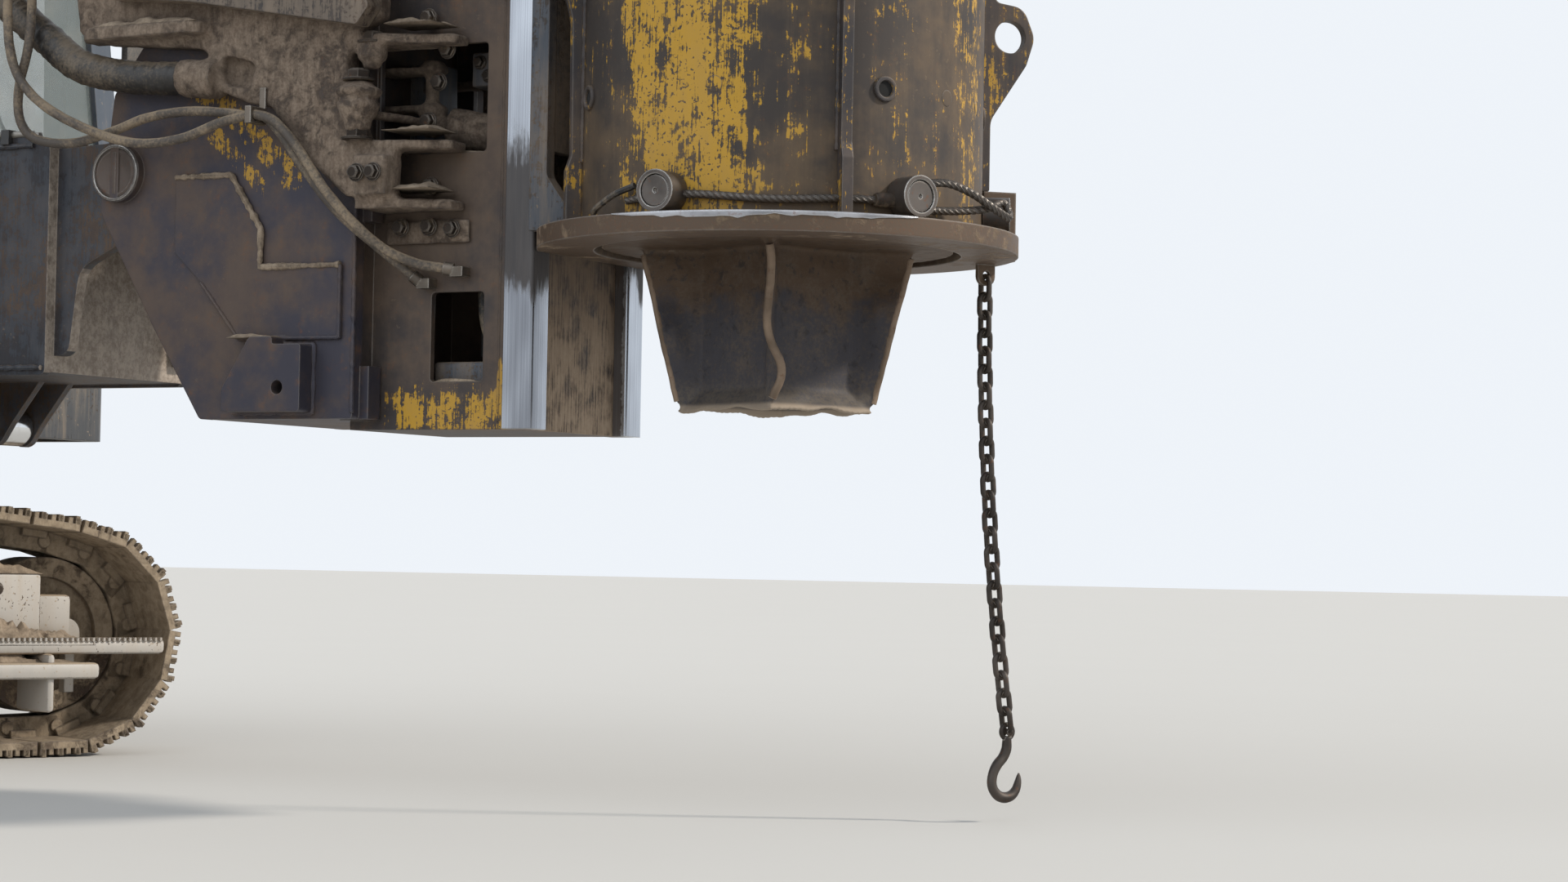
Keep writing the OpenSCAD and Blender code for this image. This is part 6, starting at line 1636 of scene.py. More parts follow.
@dataclass
class House:
    """Details of the engine housing, the tank box, the weight and the deck.

    Args:
        rear: The housing's rear face from the slewing axis.
        front: Its front face.
        half: Half its width.
        top: Its height above the ground.
        floor: The deck's top.
        lamps: The work lamps' places from the slewing axis.
    """

    rear: float = -3.32
    front: float = -0.94
    half: float = 1.36
    top: float = 2.756
    floor: float = 1.416
    lamps: tuple[Point, ...] = ((1.64, 0.77, 3.294), (1.64, 1.35, 3.294), (1.79, -0.98, 2.148))

    def build(self) -> None:
        """Makes the details of each part of the upper works."""
        self.build_doors()
        self.build_hood()
        self.build_tank()
        self.build_weight()
        self.build_lamps()
        self.build_deck()

    def build_doors(self) -> None:
        """Makes the doors' slats, latches and handles."""
        x, z = SLEW_X - 1.55, 1.546 + 0.46
        latch = ((0.0, 0.0), (0.024, 0.0), (0.024, 0.006), (0.017, 0.011), (0.0, 0.011))
        for side, body in ((1, "hood_door_port"), (-1, "hood_door_starboard")):
            slats = [(from_slew(-2.42, side * (self.half - 0.012), 1.716 + 0.066 * i + 0.015),
                      (0, 0.55 * side, 1))
                     for i in range(9)]
            blocks(body + "_slats", slats, Skin(body, "house_paint", "house"), (0.596, 0.034, 0.003))
            lathed(body + "_latch", [(latch, (x, side * (self.half - 0.002), z), (0, side, 0))],
                   Skin(body, "rail_steel", "pin"))
            grip = ((x - 0.012, side * (self.half + 0.006), z - 0.034),
                    (x + 0.012, side * (self.half + 0.016), z + 0.034))
            fitted(body + "_handle", [grip], Skin(body, "lamp_plastic", "plastic"))

    def build_hood(self) -> None:
        """Makes the vents' slats, the seams and the bolts of the housing."""
        painted = Skin("upper", "house_paint", "house")
        slats = [(from_slew(-3.1, side * (self.half - 0.01), 1.767 + 0.09 * i), (0, 0.6 * side, 1))
                 for side in (1, -1) for i in range(8)]
        blocks("hood_slats", slats, painted, (0.216, 0.046, 0.003))
        bars = [(from_slew(-2.83 + 0.11 * i, 0.0, self.top - 0.012), (0.5, 0, 1)) for i in range(7)]
        blocks("hood_top_slats", bars, painted, (0.06, 1.116, 0.003))
        inset = self.half - 0.27
        seams = [(from_slew(x, -inset, self.top - 0.0035), from_slew(x + 0.012, inset, self.top + 0.003))
                 for x in (-2.86, -2.1, -1.2)]
        seams += [(from_slew(self.rear + 0.04, side * (self.half - 0.003), self.floor + 0.06),
                   from_slew(self.front - 0.04, side * (self.half + 0.003), self.floor + 0.075))
                  for side in (1, -1)]
        fitted("hood_seams", seams, painted, 0.002)
        heads = []
        for side in (1, -1):
            y = side * (self.half - 0.001)
            heads += [(from_slew(self.rear + 0.1 + 0.22 * i, y, self.floor + 0.035), (0, side, 0))
                      for i in range(11)]
            heads += [(from_slew(x, y, z), (0, side, 0)) for x in (-3.24, -1.02)
                      for z in (1.62, 1.9, 2.2, 2.5)]
        heads += [(from_slew(self.rear - 0.001, 0.16 * i, 2.7), (-1, 0, 0)) for i in range(-6, 7)]
        bolts("house_bolts", heads, HOUSE_BOLT, 0.019, 0.011)

    def build_tank(self) -> None:
        """Makes the tank box's filler caps, latches and bolts."""
        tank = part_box("tank_box")
        cap = ((0.0, 0.0), (0.062, 0.0), (0.062, 0.02), (0.055, 0.03), (0.02, 0.034), (0.0, 0.034))
        lathed("tank_caps", [(cap, from_slew(x, (tank[0].y + tank[1].y) / 2, tank[1].z - 0.002), UP)
                             for x in (0.43, 0.9)], CAB_TRIM)
        y = tank[0].y
        latches = [((SLEW_X + x, y - 0.006, 1.85), (SLEW_X + x + 0.03, y + 0.002, 1.93))
                   for x in (0.3, 0.68, 1.06)]
        fitted("tank_latches", latches, Skin("upper", "rail_steel", "pin"), 0.003)
        places = [(0.21 + 0.24 * i, z) for i in range(4) for z in (1.5, 2.24)]
        places += [(1.25 + 0.2 * i, 1.99) for i in range(4)]
        bolts("tank_bolts", [(from_slew(x, y - 0.001, z), (0, -1, 0)) for x, z in places], HOUSE_BOLT, 0.02,
              0.012)

    def build_weight(self) -> None:
        """Makes the counterweight's plugs and bolts."""
        low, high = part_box("counterweight")
        plug = ((0.0, 0.0), (0.05, 0.0), (0.046, 0.006), (0.0, 0.006))
        lathed("weight_plugs", [(plug, (high.x - 0.35, y, high.z - 0.004), UP) for y in (-0.7, 0.7)],
               Skin("upper", "weight_iron", "forging"))
        heads = [((low.x + 0.002, y, z), (-1, 0, 0)) for y in (-0.55, -0.2, 0.2, 0.55)
                 for z in (low.z + 0.1, low.z + 0.5)]
        bolts("weight_bolts", heads, Skin("upper", "weight_iron", "bolt"), 0.05, 0.028)

    def build_lamps(self) -> None:
        """Makes the clear faces and the rims of the work lamps."""
        lens = ((0.0, 0.009), (0.03, 0.008), (0.056, 0.003), (0.058, 0.0), (0.0, 0.0))
        rim = ((0.058, 0.0), (0.069, 0.0), (0.069, 0.008), (0.058, 0.008), (0.058, 0.0))
        for name, profile, skin in (("lamp_lenses", lens, Skin("upper", "window_glass", "lens")),
                                    ("lamp_rims", rim, CAB_TRIM)):
            lathed(name, [(profile, from_slew(*p) + Vector((0.076, 0, 0)), (1, 0, 0)) for p in self.lamps],
                   skin)

    def build_deck(self) -> None:
        """Makes the treads on the deck and the bolts round the slewing ring."""
        treads = [(from_slew(1.22 - 0.07 * i, y, self.floor + 0.001), UP)
                  for i in range(14) for y in (-0.36, -0.2, 0.2, 0.36)]
        blocks("deck_treads", treads, Skin("upper", "frame_steel", "frame"), (0.012, 0.09, 0.006))
        low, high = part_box("slew_ring")
        r = (high.y - low.y) / 2 - 0.035
        heads = [((SLEW_X + r * math.cos(a), r * math.sin(a), low.z + 0.002), (0, 0, -1))
                 for a in (math.tau * k / 48 for k in range(48))]
        bolts("ring_bolts", heads, Skin("undercarriage", "ring_steel", "bolt"), 0.03, 0.018)


@dataclass
class Cab:
    """Inside and fittings of the operator's cab.

    Args:
        floor: The floor's height.
        seat_x: The seat's middle from the slewing axis.
        seat_y: The seat's middle line.
        side: The cab's outer side.
        swell: How far a cushion's face may swell, in metres.
        groove: Depth of a cushion's sewn channels, in metres.
        mirror: Middle of the mirror from the slewing axis.
    """

    floor: float = 1.464
    seat_x: float = 0.69
    seat_y: float = 1.06
    side: float = 1.53
    swell: float = 0.012
    groove: float = 0.007
    mirror: Point = (1.98, 1.67, 2.52)

    def swollen(self, name: str, start: bpy.types.Mesh) -> list[Vector]:
        """Returns where a closed form's corners are after it has swelled under pressure.

        Args:
            name: The piece's name.
            start: The closed form.

        Returns:
            The corners' places.
        """
        sim = linked(name + "_sim", start)
        cloth = sim.modifiers.new("cloth", "CLOTH")
        cloth.settings.use_pressure = True
        cloth.settings.uniform_pressure_force = 4.0
        cloth.settings.effector_weights.gravity = 0.0
        for now in range(1, 15):
            bpy.context.scene.frame_set(now)
        after = [v.co.copy() for v in baked(sim).vertices]
        bpy.context.scene.frame_set(1)
        return after

    def cushion(self, name: str, low: Vector, high: Vector, lean: float,
                grooves: Sequence[float]) -> bpy.types.Object:
        """Makes a stuffed cushion.

        Args:
            name: The piece's name.
            low: Its lowest corner before it leans.
            high: Its highest corner before it leans.
            lean: Turn about its lower edge, in degrees.
            grooves: Sewn channels across it, as shares of its length.

        Returns:
            The object.
        """
        start = baked(remeshed(name, merged([box_at(low, high, 0.03)]), 0.014))
        before = [v.co.copy() for v in start.vertices]
        after = self.swollen(name, start)
        size = high - low
        pivot = Vector((low.x, (low.y + high.y) / 2, low.z))
        turn = Matrix.Rotation(math.radians(lean), 4, "Y")
        for vertex, a, b in zip(start.vertices, before, after):
            move = b - a
            if move.length > self.swell:
                move = move.normalized() * self.swell
            p = a + move
            if p.z > (low.z + high.z) / 2:
                u = (p.x - low.x) / size.x
                p.z -= self.groove * sum(math.exp(-((u - g) * size.x / 0.006) ** 2) for g in grooves)
            vertex.co = pivot + turn @ (p - pivot)
        done = settle(name, start, Skin("upper", "seat_fabric", "seat"))
        soft = done.modifiers.new("soft", "SUBSURF")
        soft.levels = soft.render_levels = 1
        return done

    def build(self) -> None:
        """Makes the seat, the controls and the cab's fittings."""
        self.build_seat()
        self.build_inside()
        self.build_outside()

    def build_seat(self) -> None:
        """Makes the seat's cushion, back and head rest."""
        x, y, z = SLEW_X + self.seat_x, self.seat_y, self.floor
        base = self.cushion("seat_cushion", Vector((x - 0.2, y - 0.22, z + 0.345)),
                            Vector((x + 0.27, y + 0.22, z + 0.43)), -3.0, (0.25, 0.5, 0.75))
        self.cushion("seat_back", Vector((x - 0.27, y - 0.21, z + 0.43)),
                     Vector((x + 0.24, y + 0.21, z + 0.52)),
                     -102.0, (0.3, 0.55, 0.8))
        self.cushion("head_rest", Vector((x - 0.35, y - 0.11, z + 0.96)),
                     Vector((x - 0.25, y + 0.11, z + 1.04)),
                     0.0, ())
        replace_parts(base, "operator_seat")

    def build_inside(self) -> None:
        """Makes the levers, pedals, panels, screen and keys."""
        x, y, z = SLEW_X + self.seat_x, self.seat_y, self.floor
        bellows = ((0.0, 0.0), (0.13, 0.0), (0.125, 0.02), (0.1, 0.06), (0.12, 0.1), (0.095, 0.14),
                   (0.115, 0.18),
                   (0.09, 0.22), (0.11, 0.27), (0.0, 0.28))
        lever = ((0.0, 0.0), (0.034, 0.0), (0.03, 0.02), (0.012, 0.03), (0.01, 0.1), (0.016, 0.12),
                 (0.02, 0.16),
                 (0.017, 0.19), (0.0, 0.195))
        pedal = ((0.0, 0.0), (0.02, 0.0), (0.012, 0.012), (0.008, 0.2), (0.014, 0.21), (0.014, 0.25),
                 (0.0, 0.252))
        rows = [(bellows, (x, y, z), UP)]
        panels = [((x - 0.22, y - 0.2, z + 0.28), (x + 0.22, y + 0.2, z + 0.335)),
                  ((x - 0.3, y - 0.17, z + 0.3), (x - 0.24, y + 0.17, z + 0.46))]
        for s in (-1, 1):
            rows += [(lever, (x + 0.28, y + s * 0.3, z + 0.36), (0.08, 0, 1)),
                     (pedal, (SLEW_X + 1.56, y + s * 0.09, z + 0.02), (0.2, 0, 1))]
            panels += [((x - 0.12, y + s * 0.245, z + 0.2), (x + 0.33, y + s * 0.352, z + 0.36)),
                       ((x - 0.24, y + s * 0.245, z + 0.36), (x + 0.12, y + s * 0.34, z + 0.405)),
                       ((x - 0.3, y + s * 0.26, z), (x + 0.05, y + s * 0.33, z + 0.22)),
                       ((SLEW_X + 1.5, y + s * 0.09 - 0.05, z + 0.03),
                        (SLEW_X + 1.64, y + s * 0.09 + 0.05, z + 0.055))]
        lathed("levers", rows, CAB_TRIM, 24)
        panels += [(from_slew(0.24, 0.64, z), from_slew(1.72, 1.48, z + 0.01)),
                   (from_slew(0.22, 0.66, z), from_slew(0.34, 1.46, z + 0.62)),
                   (from_slew(1.72, 0.66, z + 0.42), from_slew(1.9, 0.78, z + 0.62))]
        fitted("cab_inside_panels", panels, CAB_TRIM, 0.014)
        fitted("cab_screen", [(from_slew(1.712, 0.645, z + 0.66), from_slew(1.735, 0.785, z + 0.86))],
               Skin("upper", "window_glass", "screen"), 0.006)
        keys = [((x + 0.035 * i, y - 0.3 + 0.03 * j, z + 0.362), UP) for i in range(5) for j in range(3)]
        blocks("cab_keys", keys, CAB_TRIM._replace(finish="lens"), (0.02, 0.02, 0.008))

    def build_outside(self) -> None:
        """Makes the wiper, grab rails, seals, mirror, handle and bolts."""
        z, side = self.floor, self.side
        arms = [[from_slew(1.72, 0.72, z + 0.5), from_slew(1.715, 0.715, z + 0.68)],
                [from_slew(2.045, 1.1, 1.965), from_slew(1.99, 0.93, 2.22), from_slew(1.93, 0.84, 2.56)],
                [from_slew(1.93, 0.84, 2.36), from_slew(1.905, 0.83, 2.72)]]
        tubes("wiper_and_stalk", arms, CAB_TRIM, 0.008, 8)
        grips = (((1.9, -0.02, 1.75), (1.9, 0.035, 1.77), (1.87, 0.04, 2.1), (1.835, 0.035, 2.45),
                  (1.83, -0.02, 2.47)),
                 ((0.42, -0.02, 1.8), (0.42, 0.035, 1.82), (0.42, 0.035, 2.15), (0.42, -0.02, 2.17)))
        tubes("grab_rails",
              [smooth_path([from_slew(x, side + out, h) for x, out, h in grip], 5) for grip in grips],
              Skin("upper", "rail_paint", "rail_yellow"), 0.014)
        seal = ((2.02, 0.70, 2.03), (2.02, 1.42, 2.03), (1.885, 1.42, 2.99), (1.885, 0.70, 2.99),
                (2.02, 0.70, 2.03))
        tubes("window_seals", [[from_slew(*p) for p in seal]], CAB_TRIM._replace(finish="rubber"), 0.0084, 8)
        arm = ((1.86, -0.02, 2.72), (1.95, 0.09, 2.74), (1.98, 0.14, 2.66))
        tubes("mirror_arm", [smooth_path([from_slew(x, side + out, h) for x, out, h in arm], 6)], CAB_TRIM,
              0.009, 10)
        m = from_slew(*self.mirror)
        fitted("mirror", [(m - Vector((0.012, 0.07, 0.13)), m + Vector((0.022, 0.07, 0.13)))], CAB_TRIM,
               0.012)
        fitted("mirror_face", [(m - Vector((0.015, 0.058, 0.118)), m + Vector((-0.0125, 0.058, 0.118)))],
               Skin("upper", "rod_chrome", "rod"), 0.001)
        fitted("door_handle", [((SLEW_X + 1.66, side + 0.026, 2.0), (SLEW_X + 1.73, side + 0.04, 2.022)),
                               ((SLEW_X + 1.665, side + 0.002, 1.99), (SLEW_X + 1.725, side + 0.012, 2.03))],
               CAB_TRIM._replace(body="cab_door"), 0.005)
        places = [(0.2 + 0.16 * i, 1.485) for i in range(4)] + [(0.2, 1.6 + 0.17 * i) for i in range(4)]
        bolts("cab_bolts", [(from_slew(x, side - 0.001, h), (0, 1, 0)) for x, h in places], HOUSE_BOLT,
              0.016, 0.008)


@dataclass
class Boom:
    """Details of the arm: bolts round its pins, welds, grease pipes and mud."""

    skin: Skin = Skin("arm", "arm_paint", "arm")

    def build(self) -> None:
        """Makes the arm's details."""
        heads = []
        for x, z, r, y in ((1.25, 1.64, 0.058, 0.443), (1.33, 2.42, 0.05, 0.556)):
            for a in (math.radians(45 + 90 * k) for k in range(4)):
                heads += [(from_slew(x + r * math.cos(a), s * y, z + r * math.sin(a)), (0, s, 0))
                          for s in (1, -1)]
        bolts("arm_bolts", heads, self.skin._replace(finish="bolt"), 0.024, 0.014)
        beads("arm_welds",
              [[from_slew(a, side * 0.3455, z), from_slew(b, side * 0.3455, z)] for side in (1, -1)
                            for a, b, z in ((1.85, 3.3, 1.262), (2.1, 3.25, 1.93))], self.skin, 0.008, 60.0)
        mud_bed("arm_mud", [bed(span(2.2, 3.27), (-0.33, 0.33), 1.958, 0.02),
                            bed(span(2.0, 3.24), (-0.3, 0.3), 1.278, 0.03)], "arm", "arm_paint", 0.025)
        route = ((1.5, 0.31, 2.2), (1.62, 0.33, 2.05), (1.9, 0.338, 1.975), (3.0, 0.338, 1.968),
                 (3.24, 0.335, 1.966))
        pipes = []
        for s in (-1, 1):
            pipes.append(smooth_path([from_slew(x, s * y, z) for x, y, z in route], 6))
            pipes.append([p + Vector((0.0, -s * 0.032, 0.0)) for p in pipes[-1]])
        tubes("arm_pipes", pipes, Skin("arm", "rod_chrome", "pipe"), 0.011, 10)
        clips = [(from_slew(x, s * 0.322, 1.958), UP) for s in (-1, 1) for x in (2.2, 2.7, 3.15)]
        blocks("pipe_clips", clips, Skin("arm", "lamp_plastic", "plastic"), (0.03, 0.075, 0.044))


@dataclass
class Foot:
    """The bracket at the leader's foot and its castings.

    Args:
        face: The bracket's outer face from the rig's middle.
        shelf: Heights of the shelves that reach the castings.
        pin: Place of the big pins from the pile's axis, and their height.
    """

    face: float = 0.350
    shelf: tuple[float, float, float] = (1.719, 1.884, 2.184)
    pin: tuple[float, float] = (-2.01, 1.83)

    def worn(self, p: Vector) -> Vector:
        """Returns how a casting's surface is uneven at a point."""
        return noise.noise_vector(p * 9.0) * 0.0035 + noise.noise_vector(p * 34.0) * 0.0016

    def build(self) -> None:
        """Makes the castings' surface and the bracket's details."""
        recast("swivel_knuckles", "castings", Skin("leader", "casting_mud", "casting"), 0.0095, self.worn)
        self.build_welds()
        self.build_bolts()
        self.build_mud()
        self.build_pins()

    def build_welds(self) -> None:
        """Makes the weld beads on the bracket's flanks and round its lugs."""
        stepped = ((-1.8, 1.81), (-1.6, 1.81), (-1.49, 1.65), (-1.49, 1.54), (-1.21, 1.54))
        lower = ((-1.21, 1.54), (-1.21, 1.334), (-1.56, 1.334), (-1.7, 1.5))
        lug = ((-1.578, 1.124), (-1.578, 1.184), (-1.482, 1.338), (-1.4, 1.338), (-1.398, 1.316),
               (-1.298, 1.316),
               (-1.298, 1.122), (-1.578, 1.122))
        steel = Skin("leader", "bracket_steel", "bracket")

        def traced(outline: Iterable[tuple[float, float]], side: int, out: float) -> list[Vector]:
            """Returns an outline laid on a flank, at a distance out of its face."""
            return [from_pile(a, side * (self.face + out), z) for a, z in outline]

        sides = (-1, 1)
        beads("bracket_welds", [traced(stepped, side, 0.008) for side in sides],
              steel._replace(finish="mud"),
              0.009, 55.0)
        edge = ((-1.166, 1.12), (-1.166, 1.9))
        beads("bracket_seams",
              [traced(line, side, out) for side in sides for line, out in ((lower, 0.008), (edge, 0.0))],
              steel, 0.006, 70.0)
        beads("lug_welds", [traced(lug, side, 0.003) for side in sides], steel, 0.008, 70.0)

    def build_bolts(self) -> None:
        """Makes the bolts on the leader's flanks and the nuts on the upright pins."""
        flank = [(-0.981, 0.2745, 2.241), (-0.963, 0.2745, 1.762), (-0.889, 0.2745, 1.64),
                 (-1.06, 0.2745, 1.648),
                 (-0.966, 0.2745, 1.648), (-1.092, 0.4545, 1.786), (-1.036, 0.4545, 1.786)]
        flank += [(-0.93 - (2.15 - z) * 0.3, 0.2515, z) for z in (1.95, 2.06, 2.15)]
        skin = Skin("leader", "casting_mud", "bolt")
        bolts("flank_bolts",
              [(from_pile(a, side * y, z), (0, side, 0)) for side in (-1, 1) for a, y, z in flank], skin,
              0.034, 0.02)
        nuts = [(-1.113, side * 0.4246, z) for side in (-1, 1) for z in (2.048, 1.882)]
        nuts += [(-1.095, side * 0.3836, 2.158) for side in (-1, 1)]
        bolts("pin_nuts", [(from_pile(*p), UP) for p in nuts], skin, 0.058, 0.026)

    def build_mud(self) -> None:
        """Makes the mud on the shelves and the bracket."""
        beds = []
        for side in (-1, 1):
            beds += [bed((PILE_X - 1.05, PILE_X - 0.89), (side * 0.262, side * 0.4), h + 0.027, 0.022)
                     for h in self.shelf]
            beds.append(bed((PILE_X - 2.03, PILE_X - 1.66), (side * 0.356, side * 0.47), 2.249, 0.026))
            beds.append(bed((PILE_X - 1.565, PILE_X - 1.405), (side * 0.353, side * 0.409), 1.336, 0.014))
        mud_bed("foot_mud", beds, "leader", "casting_mud", 0.008)

    def build_pins(self) -> None:
        """Makes the big pins' faces with their keepers, and the bead of mud and grease round them."""
        a, z = self.pin
        rim = ((0.0735, 0.0), (0.084, 0.0), (0.085, 0.003), (0.082, 0.007), (0.0755, 0.007), (0.0735, 0.004),
               (0.0735, 0.0))
        face = ((0.0, 0.0), (0.0735, 0.0), (0.0735, 0.005), (0.064, 0.008), (0.056, 0.005), (0.0, 0.004))
        skin = Skin("leader", "rail_steel", "pin_face")
        for name, profile, y, finish in (("pin_rims", rim, 0.3755, "pin"),
                                         ("pin_faces", face, 0.3735, "pin_face")):
            lathed(name, [(profile, from_pile(a, side * y, z), (0, side, 0)) for side in (-1, 1)],
                   skin._replace(finish=finish), 64)
        fitted("pin_keepers",
               [(from_pile(-2.017, side * 0.376, 1.768), from_pile(-2.003, side * 0.384, 1.892))
                               for side in (-1, 1)], skin, 0.003)


@dataclass
class Mast:
    """Details of the leader: pipes behind its windows, bolts, welds and mud.

    Args:
        half: Half the box's width.
        front: The box's front from the pile's axis.
        seams: Heights at which its long welds are drawn.
        drums: Heights of the winches' drums.
    """

    half: float = 0.25
    front: float = -0.645
    seams: tuple[float, float, float] = (4.0, 8.0, 15.4)
    drums: tuple[float, float] = (3.5, 4.62)

    def build(self) -> None:
        """Makes the leader's details."""
        steel = Skin("leader", "leader_steel", "leader")
        self.build_window(steel)
        y = self.half + 0.001
        beads("leader_seams", [[from_pile(a, side * y, z) for z in (foot, *self.seams)] for side in (-1, 1)
                               for a, foot in ((-1.238, 1.12), (self.front - 0.094, 1.1))], steel, 0.005,
              70.0)
        heads = []
        for side in (-1, 1):
            heads += [(from_pile(self.front - 0.045, side * (self.half + 0.0045), 2.5 + 0.55 * i),
                       (0, side, 0))
                      for i in range(23)]
            heads += [(from_pile(a, side * 0.19, z), (0, side, 0)) for a in (-1.3, -0.75)
                      for z in (16.05, 16.3)]
        bolts("leader_bolts", heads, steel._replace(finish="bolt"), 0.03, 0.018)
        heads = []
        for z in self.drums:
            for side in (-1, 1):
                heads += [(from_pile(-1.32, side * 0.236, z + h), (0, side, 0)) for h in (-0.26, 0.26)]
                heads += [(from_pile(-1.6 + 0.09 * math.cos(t), side * 0.296, z + 0.09 * math.sin(t)),
                           (0, side, 0))
                          for t in (math.tau * k / 6 for k in range(6))]
        bolts("winch_bolts", heads, Skin("leader", "arm_paint", "bolt"), 0.024, 0.014)
        mud_bed("leader_mud", [bed((PILE_X - 0.966, PILE_X - 0.8), (-0.247, -0.236), 1.2105, 0.008),
                               bed((PILE_X - 1.2, PILE_X - 0.8), (-0.247, -0.236), 1.8575, 0.012)],
                "leader", "leader_steel", 0.005)

    def build_window(self, steel: Skin) -> None:
        """Makes the pipes with their unions, the blocks and the bolts that show through the windows."""
        drop = ((-0.01, 1.75), (-0.012, 1.5), (-0.005, 1.39), (0.025, 1.33), (0.09, 1.315))
        pipes = [smooth_path([from_pile(a + da, -y, z) for da, z in drop], 8)
                 for a, y in ((-0.855, 0.14), (-0.815, 0.10))]
        tubes("window_pipes", pipes, Skin("leader", "lamp_plastic", "rubber"), 0.016, 14)
        union = ((0.0, 0.0), (0.024, 0.0), (0.024, 0.05), (0.018, 0.06), (0.0, 0.06))
        lathed("pipe_unions", [(union, pipe[0] - Vector((0, 0, 0.17)), UP) for pipe in pipes],
               Skin("leader", "rail_steel", "bolt"), 6)
        shapes = (((-0.99, -0.2, 1.16), (-0.8, 0.2, 1.27)), ((-1.0, 0.05, 1.3), (-0.78, 0.2, 1.42)),
                  ((-1.19, -0.06, 1.87), (-1.1, 0.06, 2.15)), ((-0.93, -0.13, 2.06), (-0.84, -0.02, 2.16)),
                  ((-0.92, 0.02, 1.9), (-0.86, 0.16, 1.98)))
        fitted("window_blocks", [(from_pile(*low), from_pile(*high)) for low, high in shapes],
               steel._replace(finish="carriage"), 0.008)
        inner = ((-0.9, 2.13), (-0.87, 2.09), (-0.9, 1.24), (-0.95, 1.2))
        bolts("window_bolts", [(from_pile(a, -0.132, z), (0, -1, 0)) for a, z in inner],
              steel._replace(finish="bolt"),
              0.026, 0.016)


